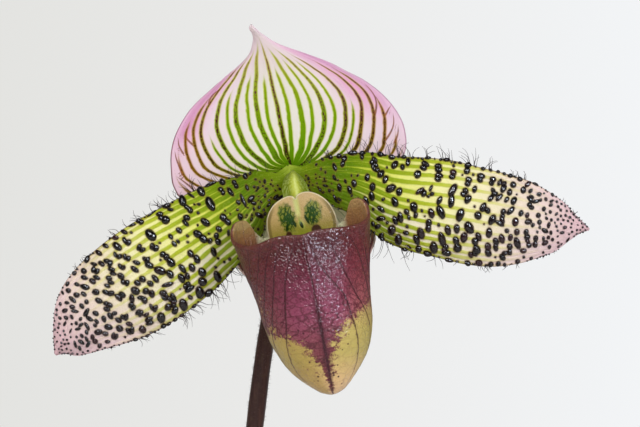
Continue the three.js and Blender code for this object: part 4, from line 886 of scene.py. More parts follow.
        (51.1, -7.0, 0.68, 0.57, 17), (51.1, -0.6, 0.79, 0.59, 34), (51.3, 7.8, 0.78, 0.27, 160), (51.3, 2.5, 0.56, 0.49, 17),
        (51.4, -3.9, 0.66, 0.60, 30), (51.6, -4.7, 0.59, 0.46, 137), (52.0, 4.0, 0.87, 0.39, 25), (52.1, -5.6, 0.58, 0.57, 173),
        (52.2, -1.2, 0.51, 0.34, 62), (52.5, 5.7, 0.56, 0.44, 30), (53.0, 1.1, 0.58, 0.50, 83), (53.0, 4.5, 0.42, 0.30, 75),
        (53.1, -8.4, 0.44, 0.34, 76), (53.3, -3.9, 0.73, 0.52, 97), (53.4, -5.2, 0.71, 0.58, 96), (53.5, -0.3, 0.55, 0.49, 74),
        (54.0, 2.7, 0.53, 0.42, 69), (55.0, -3.7, 0.57, 0.31, 102), (55.0, -1.9, 0.78, 0.46, 165), (55.4, 4.7, 0.52, 0.29, 42),
        (55.4, 3.8, 0.49, 0.33, 32), (55.4, 6.1, 0.44, 0.33, 132), (55.5, 2.3, 0.42, 0.34, 107), (55.5, -4.5, 0.75, 0.49, 36),
        (55.6, -0.6, 0.73, 0.37, 86), (56.0, -3.2, 0.42, 0.37, 93), (56.0, 0.6, 0.38, 0.30, 88), (56.4, -2.1, 0.47, 0.30, 98),
        (56.6, -5.2, 0.49, 0.36, 76), (56.9, 2.1, 0.51, 0.25, 58), (57.0, -3.5, 0.41, 0.33, 71), (58.8, -1.7, 0.55, 0.33, 19),
        (59.2, -0.5, 0.49, 0.36, 37), (60.3, -3.0, 0.65, 0.22, 61),
    ],
}


def petal_frame(P):
    a = math.radians(P["turn"])
    along = np.array([math.cos(a), math.sin(a)])
    across = np.array([-along[1], along[0]]) if along[0] > 0 else np.array([along[1], -along[0]])
    return along, across


def petal_surface(P):
    along, across = petal_frame(P)
    wave = Lumps(int(P["length"] * 10), 17.0, 12, 2)

    def at(u, v):
        top, bottom, dt, dm, db = table(P["rows"], v)
        h = (top + bottom) / 2 + u * (top - bottom) / 2
        d = dm + (np.where(u > 0, dt, db) - dm) * u**2
        d = d + 0.45 * wave(np.stack(np.broadcast_arrays(u * 10, v * 62), -1)) * np.abs(u) ** 1.5 * ease(v, 0.1, 0.35)
        f = P["from"]
        L = P["length"]
        return sight(f[0] + along[0] * L * v + across[0] * h, f[1] + along[1] * L * v + across[1] * h, d)

    return at


def petal_uv(P, al, h):
    v = np.asarray(al, float) / P["length"]
    top, bottom, *_ = table(P["rows"], v)
    return (h - (top + bottom) / 2) / ((top - bottom) / 2), v


def petal_small_warts(P, big, seed):
    """Scatters the small warts: crowded at the tip, fine dots near the heart, few between, and a row on each margin."""
    r = np.random.default_rng(seed)
    L = P["length"]
    taken = [(b[0], b[1], max(b[2], b[3])) for b in big]
    out = []

    def put(al, h, a, b, ang, room=0.35):
        for x, y, q in taken:
            if (x - al) ** 2 + (y - h) ** 2 < (q + a + room) ** 2:
                return False
        taken.append((al, h, max(a, b)))
        out.append((al, h, a, b, ang))
        return True

    def spot(v, u):
        top, bottom, *_ = table(P["rows"], np.array([v]))
        return v * L, float((top[0] + bottom[0]) / 2 + u * (top[0] - bottom[0]) / 2)

    for _ in range(420):  # tip
        v = 1 - abs(r.normal(0, 0.075)) - 0.012
        u = r.uniform(-0.93, 0.93)
        s = float(np.interp(v, [0.8, 0.93, 1], [0.42, 0.27, 0.17])) * r.uniform(0.8, 1.25)
        put(*spot(v, u), s, s * r.uniform(0.7, 1), r.uniform(60, 120), 0.22)
        if len(out) > 85:
            break
    n = len(out)
    for _ in range(260):  # near the heart, mostly in the lower half
        v = abs(r.normal(0.02, 0.12)) + 0.02
        u = float(np.clip(r.normal(-0.35, 0.42), -0.95, 0.9))
        if v > 0.36:
            continue
        s = r.uniform(0.10, 0.24) * (1 + v)
        put(*spot(v, u), s * r.uniform(1, 1.8), s, r.uniform(40, 140), 0.15)
        if len(out) - n > 42:
            break
    n = len(out)
    for _ in range(80):  # strays
        v, u = r.uniform(0.25, 0.85), r.uniform(-0.9, 0.9)
        s = r.uniform(0.15, 0.34)
        put(*spot(v, u), s * 1.2, s, r.uniform(60, 120), 0.3)
        if len(out) - n > 16:
            break
    for side in (-1, 1):  # margins
        for v in np.arange(0.1, 0.98, 0.011):
            v = float(v + r.uniform(-0.004, 0.004))
            u = side * r.uniform(0.955, 0.995)
            s = r.uniform(0.16, 0.34) * (1.15 if v < 0.75 else 0.8)
            put(*spot(v, u), s, s * 0.8, r.uniform(0, 180), 0.12)
    return out


def petal_extra(P, warts):
    def go(u, v):
        veins = {k: row for k, row in enumerate(P["veins"])}
        w, _ = vein_field(u, v, P["veins_v"], veins)
        top, bottom, *_ = table(P["rows"], v)
        gap = smooth_gap(u, v, P["veins_v"], veins, (top - bottom) / 2)
        x, y = v * P["length"], (top + bottom) / 2 + u * (top - bottom) / 2
        far = np.full(len(u), 9.0)
        for al, h, a, b, ang in warts:
            c, s = math.cos(math.radians(ang)), math.sin(math.radians(ang))
            dx, dy = x - al, y - h
            m = (np.abs(dx) < 4) & (np.abs(dy) < 4)
            p, q = dx[m] * c + dy[m] * s, -dx[m] * s + dy[m] * c
            rr = np.hypot(p / a, q / b)
            far[m] = np.minimum(far[m], (rr - 1) * min(a, b) * (1 + 0.3 * (a / b - 1)))
        return {"w": w, "gap": gap, "far": np.clip(far, -1, 3)}

    return go


def paint_petal(side):
    p = Paint("petal_flesh_" + side)
    u, v, w, gap, face, far = (p.attr(k) for k in ("u", "v", "w", "gap", "face", "far"))
    place = p.place()
    wob = p.noise(place, 0.5, 3.0, 0.6)
    fine = p.noise(place, 2.2, 3.0, 0.65)
    strands = p.noise(p.combine(w * 3.1, v * 9.0, 0.0), 1.0, 3.0, 0.65)
    near = w + (wob - 0.5) * 0.22
    d = (near - near.round()).abs() * gap
    hw = p.curve(v, [(0, 0.2), (0.05, 0.40), (0.14, 0.56), (0.25, 0.54), (0.4, 0.44), (0.6, 0.36), (0.8, 0.26), (1, 0.1)])
    vein = (hw * (0.72 + 0.5 * strands) - d).ease(-0.18, 0.14)
    power = p.curve(v, [(0, 0.6), (0.1, 0.95), (0.45, 0.97), (0.62, 0.78), (0.75, 0.42), (0.88, 0.1), (1, 0)])
    vv = v + (wob - 0.5) * 0.06
    upper = p.ramp(vv, [(0, (126, 146, 28)), (0.06, (132, 152, 18)), (0.14, (152, 168, 30)), (0.24, (184, 190, 66)), (0.34, (208, 208, 108)), (0.46, (220, 215, 146)),
                        (0.58, (222, 214, 168)), (0.7, (219, 205, 178)), (0.83, (217, 195, 188)), (0.94, (208, 174, 180)), (1, (198, 160, 168))])
    lower = p.ramp(vv, [(0, (118, 136, 18)), (0.08, (140, 156, 32)), (0.15, (176, 182, 78)), (0.22, (208, 204, 138)), (0.3, (221, 213, 172)), (0.4, (223, 214, 184)), (0.6, (221, 208, 184)),
                        (0.8, (216, 194, 190)), (0.93, (207, 175, 181)), (1, (198, 160, 168))])
    flesh = p.mix((u + (wob - 0.5) * 0.3).ease(-0.02, -0.42), upper, lower)
    tone = p.ramp(v, [(0, (84, 112, 2)), (0.07, (70, 100, 0)), (0.16, (82, 114, 0)), (0.3, (122, 144, 6)), (0.45, (160, 170, 34)), (0.6, (186, 186, 72)), (0.8, (206, 192, 130))])
    colour = p.mix((vein * power).clamp(), flesh, tone)
    colour = p.mix((strands - 0.5).ease(0.0, 0.25) * v.ease(0.55, 0.2) * 0.35, colour, tone)
    colour = p.mix((0.5 - strands).ease(0.0, 0.2) * v.ease(0.36, 0.16) * 0.55, colour, (156, 168, 46))
    dark = v.ease(0.24, 0.08) * v.ease(0.015, 0.07) * u.ease(-0.15, 0.35) * 0.3
    colour = p.mix(dark, colour, (64, 92, 0))
    # Pale lime where the petal joins the column.
    colour = p.mix((v + (strands - 0.5) * 0.02).ease(-0.01, -0.045) * 0.6, colour, (150, 166, 58))
    # Faint pink towards the margins of the outer half.
    colour = p.mix(v.ease(0.5, 0.95) * u.abs().ease(0.5, 1.0) * 0.5, colour, (212, 178, 188))
    # A dark skirt round each wart.
    colour = p.mix(far.ease(0.34, 0.10) * v.ease(0.86, 0.6) * 0.4, colour, (124, 70, 50))
    colour = p.mix(far.ease(0.14, 0.0) * (0.94 - 0.3 * v.ease(0.7, 0.9)), colour, (34, 9, 13))
    edge = u.abs().ease(0.972, 0.992) * v.ease(0.06, 0.3)
    colour = p.mix(edge * 0.7, colour, p.ramp(v, [(0.1, (66, 74, 10)), (0.5, (116, 84, 48)), (0.9, (140, 92, 96))]))
    back = p.mix(vein * power * 0.6, p.mix(0.4, flesh, (196, 196, 140)), (126, 142, 46))
    back = p.mix(far.ease(0.6, -0.3) * 0.35, back, (110, 60, 60))
    colour = p.mix(face.ease(0.6, 0.4), colour, back)
    spark = p.cells(place, 2.6)
    colour = p.mix((fine - 0.52).ease(0.0, 0.25) * 0.16, colour, (214, 216, 120))
    colour = p.mix((0.46 - fine).ease(0.0, 0.25) * 0.16, colour, (92, 100, 20))
    n = p.bump(spark * 0.5 + vein * 0.55 + fine * 0.7, 0.4, 0.00016)
    return p.done(colour, 0.5, n, Specular_IOR_Level=0.02)


def paint_wart():
    p = Paint("wart_skin")
    tone = p.attr("tone")
    place = p.place()
    n = p.noise(place, 2.0, 3.0, 0.6)
    colour = p.ramp(tone * 0.75 + n * 0.35, [(0, (5, 2, 3)), (0.45, (10, 4, 5)), (0.8, (24, 8, 11)), (1, (46, 16, 22))])
    rough = 0.2 + n * 0.16
    nm = p.bump(p.noise(place, 3.0, 3.0, 0.6), 0.4, 0.00014)
    return p.done(colour, rough, nm, Coat_Weight=0.7, Coat_Roughness=0.06, Specular_IOR_Level=0.1)


def paint_hair():
    p = Paint("hair_skin")
    n = p.noise(p.place(), 1.5, 2.0)
    return p.done(p.ramp(n, [(0.3, (24, 12, 14)), (0.7, (52, 30, 34))]), 0.5)


def dome(shape, c, e1, e2, n, a, b, high, seed, mat, tone):
    """A lumpy wart on the skin: half lengths a and b along e1 and e2, and high above it."""
    r = np.random.default_rng(seed)
    segs, rings = (14, 5) if a > 0.75 else (10, 4) if a > 0.4 else (7, 3)
    th = 2 * math.pi * np.arange(segs) / segs
    lump = 1 + 0.09 * np.sin(2 * th + r.uniform(0, 6.3)) + 0.07 * np.sin(3 * th + r.uniform(0, 6.3))
    verts, faces = [], []
    for j in range(rings):
        f = j / rings
        s = math.cos(f * math.pi / 2) ** 0.75
        z = math.sin(f * math.pi / 2) * high
        if j == 0:
            z, s = -0.28, 1.0
        verts.append(c + np.outer(np.cos(th) * lump * a * s, e1) + np.outer(np.sin(th) * lump * b * s, e2) + n * z)
    faces += grid_faces(rings, segs, wrap=True)
    top = c + n * high * (1 + 0.05 * r.normal())
    k = rings * segs
    for i in range(segs):
        faces.append((k - segs + i, k - segs + (i + 1) % segs, k))
    faces.append(tuple(range(segs))[::-1])
    shape.add(np.concatenate(verts + [top[None]]), faces, mat, tone=tone)


def hair(shape, root, direction, curl, length, mat, r, radius=0.085, segs=8):
    """A tapering hair: leaves along direction and bends towards curl."""
    d = direction / np.linalg.norm(direction)
    p, pts = np.array(root, float), []
    step = length / segs
    wob = r.normal(size=3) * 0.16
    beat = r.uniform(1.0, 1.9)
    for i in range(segs + 1):
        pts.append(p.copy())
        d = unit(d + curl * (0.10 + 0.09 * i) + wob * math.sin(i * beat))
        p = p + d * step
    tube(shape, pts, radius * np.linspace(1, 0.35, segs + 1), 3, mat)


# Tufts on the margins: from v, to v, how many hairs, shortest and longest, and how they lean along the petal.
TUFTS = {
    ("left", 1): [(0.02, 0.12, 7, 1.6, 3.0, -0.1), (0.12, 0.30, 20, 2.2, 4.2, 0.05), (0.30, 0.46, 17, 1.8, 3.6, 0.15), (0.46, 0.62, 13, 1.2, 2.8, 0.3), (0.62, 0.82, 8, 0.6, 1.4, 0.4)],
    ("left", -1): [(0.26, 0.34, 7, 2.8, 5.0, 0.1), (0.34, 0.44, 13, 2.5, 5.2, -0.1), (0.44, 0.60, 17, 2.0, 4.0, -0.4), (0.60, 0.76, 8, 1.2, 3.0, -0.5), (0.76, 0.92, 6, 0.4, 1.2, -0.3)],
    ("right", 1): [(0.02, 0.14, 9, 1.8, 3.6, -0.5), (0.14, 0.32, 18, 2.6, 4.6, -0.35), (0.32, 0.48, 20, 2.4, 4.4, -0.15), (0.48, 0.66, 18, 2.4, 4.6, -0.25), (0.66, 0.80, 8, 1.0, 2.2, 0.2), (0.80, 0.95, 6, 0.4, 1.0, 0.3)],
    ("right", -1): [(0.27, 0.40, 10, 3.6, 6.8, 0.25), (0.40, 0.52, 7, 1.6, 3.4, 0.4), (0.52, 0.72, 11, 0.8, 2.0, 0.3), (0.72, 0.8, 4, 1.0, 2.0, 0.5), (0.8, 0.95, 5, 0.3, 0.9, 0.2)],
}
wart_mat, hair_mat = paint_wart(), paint_hair()
petal_looks = {}
for side, P in PETALS.items():
    shape = Shape()
    surf = petal_surface(P)
    big = WARTS[side]
    small = petal_small_warts(P, big, 31 if side == "left" else 47)
    warts = list(big) + small
    vs = np.concatenate([np.linspace(-0.046, 0.955, 194), [0.962, 0.969, 0.976, 0.982, 0.988, 0.993, 0.997]])
    us = edges_fine(71, 1.25)

    def thick(u, v):
        return (1.0 - 0.35 * np.abs(u)) * np.sqrt(np.clip(1 - np.abs(u) ** 6, 0, 1)) * (1 - 0.45 * ease(v, 0.85, 1.0))

    def relief(u, v, P=P):
        w, _ = vein_field(u.reshape(-1), v.reshape(-1), P["veins_v"], {k: row for k, row in enumerate(P["veins"])})
        w = w.reshape(u.shape)
        return 0.05 * np.cos(2 * math.pi * w) * ease(v, 0.02, 0.12) * ease(v, 0.95, 0.75)

    # The surface's own normal can point either way; the front is the side that faces -Y.
    nrm = normals(surf, np.array([0.0]), np.array([0.5]))[0]
    front = 1 if nrm[1] < 0 else -1
    sheet(shape, surf, thick, us, vs, front, 0, relief, relief, petal_extra(P, warts))
    along, across = petal_frame(P)
    r = np.random.default_rng(7 if side == "left" else 8)
    for i, (al, h, a, b, ang) in enumerate(warts):
        u, v = petal_uv(P, al, h)
        u, v = float(np.clip(u, -0.995, 0.995)), float(np.clip(v, 0.004, 0.992))
        c = surf(np.array([u]), np.array([v]))[0]
        n = normals(surf, np.array([u]), np.array([v]))[0] * front
        c = c + n * (thick(np.array([u]), np.array([v]))[0] / 2 - 0.02)
        t1 = pack3(along[0], 0.0, along[1])
        t1 = unit(t1 - n * (t1 @ n))
        t2 = np.cross(n, t1)
        if t2 @ pack3(across[0], 0, across[1]) < 0:
            t2 = -t2
        cs, sn = math.cos(math.radians(ang)), math.sin(math.radians(ang))
        e1, e2 = t1 * cs + t2 * sn, -t1 * sn + t2 * cs
        if np.cross(e1, e2) @ n < 0:
            e2 = -e2
        # A wart past the margin's bend stands out from the edge.
        if abs(u) > 0.9:
            out = pack3(across[0], 0, across[1]) * np.sign(u)
            k = (abs(u) - 0.9) / 0.1
            n2 = unit(n * (1 - 0.55 * k) + out * 0.55 * k)
            e1 = unit(e1 - n2 * (e1 @ n2))
            e2 = np.cross(n2, e1)
            n = n2
        high = (0.30 + 0.62 * min(a, b)) * (0.9 if a > 0.4 else 0.75)
        tone = np.clip(r.normal(0.35, 0.22) + 0.25 * (h < -2) + 0.15 * (v > 0.5), 0, 1)
        dome(shape, c, e1, e2, n, a * 1.08, b * 1.08, high, i + (1000 if side == "left" else 0), 1, float(tone))
    for s in (1, -1):
        out = pack3(across[0], 0, across[1]) * s
        lengthwise = pack3(along[0], 0, along[1])
        for v0, v1, count, l0, l1, lean in TUFTS[(side, s)]:
            centres = r.uniform(v0, v1, max(3, count // 2))
            for _ in range(count):
                v = float(np.clip(r.choice(centres) + r.normal(0, 0.006), 0.01, 0.97))
                root = surf(np.array([s * 0.985]), np.array([v]))[0] + pack3(0, r.uniform(-0.4, 0.3), 0)
                d = out + lengthwise * (lean + r.normal(0, 0.30)) + pack3(0, r.normal(-0.1, 0.35), 0)
                curl = lengthwise * r.normal(-0.1, 0.5) + pack3(0, r.normal(0, 0.25), 0) + pack3(0, 0, 0.1 if s > 0 else -0.35)
                hair(shape, root, d, curl * 0.8, r.uniform(l0, l1), 2, r)
    petal_looks[side] = shape.build(f"petal_{side}_look", [paint_petal(side), wart_mat, hair_mat], [f"petal_{side}"])


# ---- pouch ---------------------------------------------------------------------------------
# Height, half width, middle depth and half depth. The toe is round, so rows are blended by the square root
# of the height above it.
POUCH = [
    (-35.4, 0, -12.6, 0), (-34.6, 2.7, -12.4, 2.6), (-33, 4.7, -12.0, 4.6), (-31, 6.65, -11.6, 6.3), (-29, 8.25, -11.3, 7.6), (-26, 10.0, -11.0, 9.2),
    (-22, 11.45, -10.7, 10.5), (-18, 12.05, -10.5, 11.2), (-14, 12.55, -10.5, 11.4), (-10, 13.2, -10.7, 11.2), (-6, 14.1, -11.0, 10.7), (-3, 14.65, -11.1, 10.2),
    (0, 15.2, -11.2, 9.5), (3, 15.4, -11.2, 9.2), (6, 14.8, -11.2, 9.0), (9, 13.7, -11.2, 8.8),
]
POUCH_S = [(math.sqrt(r[0] + 35.4), *r[1:]) for r in POUCH]
# Height of the rim at an angle from the front, on the left and on the right: a gentle wave in front, an ear
# on each side, a low back.
RIM_LEFT = [
    (0, -0.15), (7, 0.15), (18, 0.45), (26, 0.35), (35, -0.1), (50, -0.4), (64, 0.3), (80, 1.5), (90, 2.7), (98, 4.4), (106, 5.3), (118, 5.6),
    (128, 5.3), (134, 4.0), (139, 2.2), (145, 0.9), (155, 1.0), (166, 2.4), (180, 4.2),
]
RIM_RIGHT = [
    (0, -0.15), (9, 0.25), (16, 0.28), (28, 0), (37, -0.2), (53, -0.15), (67, 0.4), (82, 1.6), (91, 3.1), (98, 4.6), (106, 5.3), (116, 5.6),
    (125, 5.4), (131, 4.3), (137, 2.4), (144, 0.9), (155, 1.0), (166, 2.4), (180, 4.2),
]
LIP_VEINS_Z = (-35, -30, -25, -20, -15, -10, -6, -2.5, -1, 3)
LIP_VEINS = {
    -10: (-179, -178, -177, -174, -169, -163, -156, -150, -148, -146), -9: (-175, -172, -168, -162, -154, -144, -133, -125, -122, -120),
    -8: (-168, -163, -157, -149, -140, -126, -114, -106, -103, -100), -7: (-160, -154, -146, -136, -126, -110, -98, -90, -87, -84),
    -6: (-150, -144, -134, -123, -112, -95, -82, -74, -71, -68), -5: (-140, -133, -122, -110, -98, -80, -66, -58, -55, -52),
    -4: (-130, -122, -110, -97, -84, -66, -52, -44, -40, -37), -3: (-112, -104, -92, -80, -66, -52, -42, -34, -27, -22),
    -2: (-92, -86, -76, -64, -51, -40, -32, -24, -16, -11), -1: (-70, -62, -50, -40, -34, -27, -19, -11, -6, -4),
    0: (-5, -1, 0, 1, 1, 1, 0, 0, 0, 0), 1: (66, 57, 46, 39, 33, 18, 9, 5, 4, 3), 2: (95, 88, 78, 66, 48, 36, 28, 21, 13, 9),
    3: (115, 108, 97, 86, 75, 64, 54, 44, 34, 27), 4: (130, 122, 112, 101, 90, 78, 68, 60, 55, 50), 5: (142, 135, 126, 115, 104, 92, 82, 74, 71, 68),
    6: (150, 146, 138, 128, 118, 106, 96, 88, 85, 83), 7: (160, 156, 149, 141, 132, 120, 110, 102, 99, 97), 8: (168, 165, 160, 153, 145, 134, 124, 116, 113, 111),
    9: (175, 174, 170, 165, 158, 149, 140, 132, 129, 127), 10: (179, 178, 177, 174, 170, 164, 158, 152, 150, 149),
}
lip_swell = Lumps(21, 9.0, 22)
lip_pebble = Lumps(22, 1.5, 30)


def pouch_axes(z):
    a, c, b = table(POUCH_S, np.sqrt(np.clip(z + 35.4, 0, None)))
    return a, c, b


def pouch_outer(ang, t):
    """Outer face at an angle from the front, t from the toe (0) to the rim (1)."""
    deg = np.abs(np.degrees(ang))
    rim = np.where(ang < 0, table(RIM_LEFT, deg)[0], table(RIM_RIGHT, deg)[0])
    z = -35.4 + (rim + 35.4) * t**2
    a, c, b = pouch_axes(z)
    # Flanks are a little flatter than an ellipse, and the front rim flares out.
    flare = 0.35 * ease(z, rim - 1.6, rim) * (0.4 + 0.6 * ease(np.cos(ang), -0.2, 0.4))
    return lip(0.1 + (a + flare) * np.sin(ang), z, c - (b + flare) * np.cos(ang)), z, rim


def pouch_relief(ang, z):
    """Height of the skin over the plain form: a ridge down the upper front, soft swells, grooves on veins."""
    x = np.sin(ang) * pouch_axes(z)[0]
    front = ease(np.cos(ang), 0.0, 0.4)
    ridge = 0.34 * np.exp(-((x - 0.35) / 0.75) ** 2) * front * ease(z, -17, -9) * ease(z, 0.5, -2.5)
    hollow = -0.28 * np.exp(-((np.abs(x - 0.35) - 3.4) / 1.9) ** 2) * front * ease(z, -14, -7) * ease(z, 0.5, -2.5)
    band = 0.22 * ease(z, -3.0, -1.2)
    return ridge + hollow + band * front


def build_pouch():
    n = 240
    ang = -math.pi + 2 * math.pi * (np.arange(n) + 0.5) / n
    ts = np.concatenate([[0.012, 0.024], np.linspace(0.04, 0.93, 118), np.linspace(0.936, 1, 16)])
    A, T = np.meshgrid(ang, ts)
    P, Z, R = pouch_outer(A, T)
    e = 1e-3
    PA = pouch_outer(A + e, T)[0] - pouch_outer(A - e, T)[0]
    PT = pouch_outer(A, np.minimum(T + e, 1.0))[0] - pouch_outer(A, T - e)[0]
    N = unit(np.cross(PA, PT))
    centre = lip(0.1, -15.0, -11.0)
    if ((P - centre) * N).sum() < 0:
        N = -N
    wall = 1.1 - 0.25 * ease(T, 0.85, 1.0)
    outer = P + N * (pouch_relief(A, Z) + 0.06 * lip_swell(P) + 0.018 * lip_pebble(P))[..., None]
    inner = P - N * wall[..., None]
    W, _ = vein_field(np.degrees(A).reshape(-1), Z.reshape(-1), LIP_VEINS_Z, LIP_VEINS)
    G = smooth_gap(np.degrees(A).reshape(-1), Z.reshape(-1), LIP_VEINS_Z, LIP_VEINS, 1.0).reshape(A.shape)
    a, c, b = pouch_axes(Z)
    G = G * np.radians(1.0) * np.hypot(a * np.cos(A), b * np.sin(A))
    W = W.reshape(A.shape)
    rows = len(ts)
    # Over the rim in four steps.
    up = unit(PT[-1])
    over = []
    for k in range(1, 5):
        f = math.pi * k / 5
        mid, half = (outer[-1] + inner[-1]) / 2, (outer[-1] - inner[-1]) / 2
        over.append(mid + half * math.cos(f) + up * np.linalg.norm(half, axis=-1, keepdims=True) * math.sin(f) * 0.9)
    verts = [outer.reshape(-1, 3)] + over + [inner[::-1].reshape(-1, 3)]
    total = 2 * rows + 4
    tip_o = lip(0.1, -35.4, -12.6)[None]
    tip_i = lip(0.1, -34.25, -12.6)[None]
    faces = grid_faces(total, n, wrap=True)
    k0, k1 = total * n, total * n + 1
    for i in range(n):
        faces.append((k0, (i + 1) % n, i))
        faces.append((k1, (total - 1) * n + i, (total - 1) * n + (i + 1) % n))
    V = np.concatenate(verts + [tip_o, tip_i])
    # Faces point out of the wall.
    q = np.array(faces[0])
    if np.cross(V[q[1]] - V[q[0]], V[q[2]] - V[q[0]]) @ N[0, 0] < 0:
        faces = [f[::-1] for f in faces]

    def spread(x, tip):
        x = np.broadcast_to(x, A.shape)
        return np.concatenate([x.reshape(-1)] + [x[-1]] * 4 + [x[::-1].reshape(-1), [tip, tip]])

    face = np.concatenate([np.ones(rows * n)] + [np.full(n, 1 - k / 5) for k in range(1, 5)] + [np.zeros(rows * n), [1.0, 0.0]])
    shape = Shape()
    shape.add(V, faces, 0, sx=spread(np.sin(A), 0.0), cx=spread(np.cos(A), 1.0), z=spread(Z / 40 + 0.9, 0.015), top=spread((R - Z) / 41.1, 1.0),
              w=spread(W, 0.0), gap=spread(G, 0.05), face=face)
    return shape.build("pouch_look", [paint_pouch()], ["pouch"])


def paint_pouch():
    p = Paint("pouch_flesh")
    sx, cx, zz, top, w, gap, face = (p.attr(k) for k in ("sx", "cx", "z", "top", "w", "gap", "face"))
    H = lambda z: z / 40 + 0.9  # heights below are given in millimetres from the front rim
    place = p.place()
    blot = p.noise(place, 0.32, 4.0, 0.62)
    mid = p.noise(place, 0.9, 3.0, 0.6)
    fine = p.noise(place, 3.2, 3.0, 0.6)
    near = w + (mid - 0.5) * 0.14
    d = (near - near.round()).abs() * gap
    right = sx.ease(-0.02, 0.02)
    # How far round from the middle the purple reaches, on the left and the right.
    reach_l = p.curve(zz, [(H(-32), 0.06), (H(-29.3), 0.13), (H(-26.9), 0.25), (H(-24.5), 0.37), (H(-22.2), 0.52), (H(-20), 0.86), (H(-18), 1.05)])
    reach_r = p.curve(zz, [(H(-32), 0.03), (H(-29.3), 0.06), (H(-26.9), 0.12), (H(-24.5), 0.21), (H(-22.2), 0.34), (H(-19.9), 0.56), (H(-18), 0.82), (H(-16), 1.05)])
    reach = reach_l + (reach_r - reach_l) * right
    # Behind the flanks the purple runs a little lower than at the edges seen from in front.
    behind = (cx * -1).ease(-0.25, 0.35)
    low = p.curve(zz, [(H(-24), 0.0), (H(-13), 1.0)])
    warp = p.combine(w * 1.9 + (mid - 0.5) * 0.5, zz * 26.0 + (fine - 0.5) * 0.3, cx * 3.0)
    net = p.cells(warp, 1.0, "DISTANCE_TO_EDGE")
    edge = (reach - sx.abs() + net.ease(0.16, 0.0) * 0.08 + (fine - 0.5) * 0.45 + ((blot - 0.5) * 0.5 + (mid - 0.5) * 1.0) * (1.0 - right * 0.3)).ease(-0.13, 0.11)
    purple = edge * (1 - behind) + (low + (blot - 0.5) * 0.5).clamp() * behind
    purple = purple.highest(zz.ease(H(-12), H(-9)))
    upper = p.ramp(zz, [(H(-35), (124, 58, 60)), (H(-30), (104, 38, 50)), (H(-24), (120, 48, 68)), (H(-18), (134, 56, 88)), (H(-12), (112, 36, 68)), (H(-7), (88, 22, 44)),
                        (H(-3), (62, 12, 20)), (H(0), (70, 22, 24)), (H(3), (112, 70, 52))])
    brown = p.ramp(zz, [(H(-30), (120, 66, 50)), (H(-15), (96, 40, 36)), (H(-8), (76, 22, 22)), (H(0), (92, 42, 36))])
    upper = p.mix((sx * -1).ease(0.35, 0.95) * 0.75, upper, brown)
    rose = p.ramp(zz, [(H(-30), (176, 122, 92)), (H(-18), (168, 96, 88)), (H(-8), (128, 54, 58)), (H(0), (98, 40, 40))])
    upper = p.mix(sx.ease(0.35, 0.85) * 0.6, upper, rose)
    # Painted light: the tan is made paler towards the toe, to make up for the shade the toe lies in.
    tan = p.ramp(zz, [(H(-36), (226, 184, 144)), (H(-32), (210, 174, 120)), (H(-27), (186, 166, 92)), (H(-22), (182, 162, 92)), (H(-16), (178, 142, 98)), (H(-8), (150, 98, 80))])
    tan = p.mix((sx * -1).ease(0.0, 0.5) * 0.6, tan, (160, 132, 62))
    tan = p.mix(behind * 0.45, tan, (190, 182, 122))
    colour = p.mix(purple * 0.96, tan, upper)
    # Mottling: rosy lights and dark blots in the purple, faint stains in the tan.
    colour = p.mix(mid.ease(0.52, 0.72) * purple * 0.35, colour, (128, 58, 74))
    colour = p.mix(mid.ease(0.46, 0.3) * purple * 0.6, colour, (62, 14, 26))
    colour = p.mix(mid.ease(0.55, 0.75) * (1 - purple) * 0.45, colour, (150, 104, 80))
    # A fine net between the veins.
    low_net = zz.ease(H(-13), H(-19)) * zz.ease(H(-34), H(-29))
    colour = p.mix(net.ease(0.12, 0.0) * (0.12 + 0.4 * purple + 0.2 * low_net * purple).clamp(), colour, (66, 18, 28))
    stain = p.noise(place, 1.5, 4.0, 0.7)
    colour = p.mix(stain.ease(0.56, 0.68) * low_net * (reach * 1.5 - sx.abs()).ease(-0.2, 0.3) * 0.6, colour, (78, 22, 34))
    colour = p.mix(stain.ease(0.44, 0.32) * low_net * purple * 0.4, colour, (160, 100, 104))
    # Veins.
    hw = p.curve(zz, [(H(-36), 0.06), (H(-30), 0.12), (H(-20), 0.17), (H(-10), 0.18), (H(-3), 0.14), (H(2), 0.08)])
    side_fade = p.curve(zz, [(H(-34), 0.45), (H(-26), 0.75), (H(-16), 0.95), (H(-4), 0.85), (H(2), 0.5)])
    vein = (hw * (0.6 + 0.8 * mid) - d).ease(-0.09, 0.07) * side_fade
    colour = p.mix((hw + 0.25 - d).ease(-0.1, 0.3) * side_fade * 0.35, colour, (92, 36, 44))
    colour = p.mix(vein * 0.9, colour, (50, 14, 22))
    # The middle vein is the darkest low down, with a stain round it.
    middle = ((sx - 0.01).abs() * -1)
    core = middle.ease(-0.16, -0.01) * zz.ease(H(-9), H(-19)) * cx.over(0.0)
    colour = p.mix(core * (0.35 + mid * 0.9).clamp() * 0.8, colour, (74, 22, 38))
    thread = middle.ease(-0.05, -0.015) * zz.ease(H(-12), H(-20)) * cx.over(0.0)
    colour = p.mix(thread * 0.85, colour, (52, 14, 24))
    # Dots.
    dot = p.cells(place, 0.95).ease(0.30, 0.19) * p.cell_tone(place, 0.95).over(0.62) * zz.ease(H(-16), H(-21)) * sx.abs().ease(0.75, 0.45) * cx.over(0.0)
    colour = p.mix(dot * 0.9, colour, (58, 20, 26))
    # Painted sparkle of the pebbly skin: lighter cell middles are painted highlights and darker cell rims painted
    # shade.
    grain = p.cells(place, 2.3)
    colour = p.mix(grain.ease(0.62, 0.2) * 0.10 * purple, colour, (140, 76, 92))
    colour = p.mix(grain.ease(0.5, 0.9) * 0.3 * purple, colour, (60, 20, 32))
    rimline = top.ease(0.012, 0.0)
    colour = p.mix(rimline * 0.5, colour, (100, 56, 46))
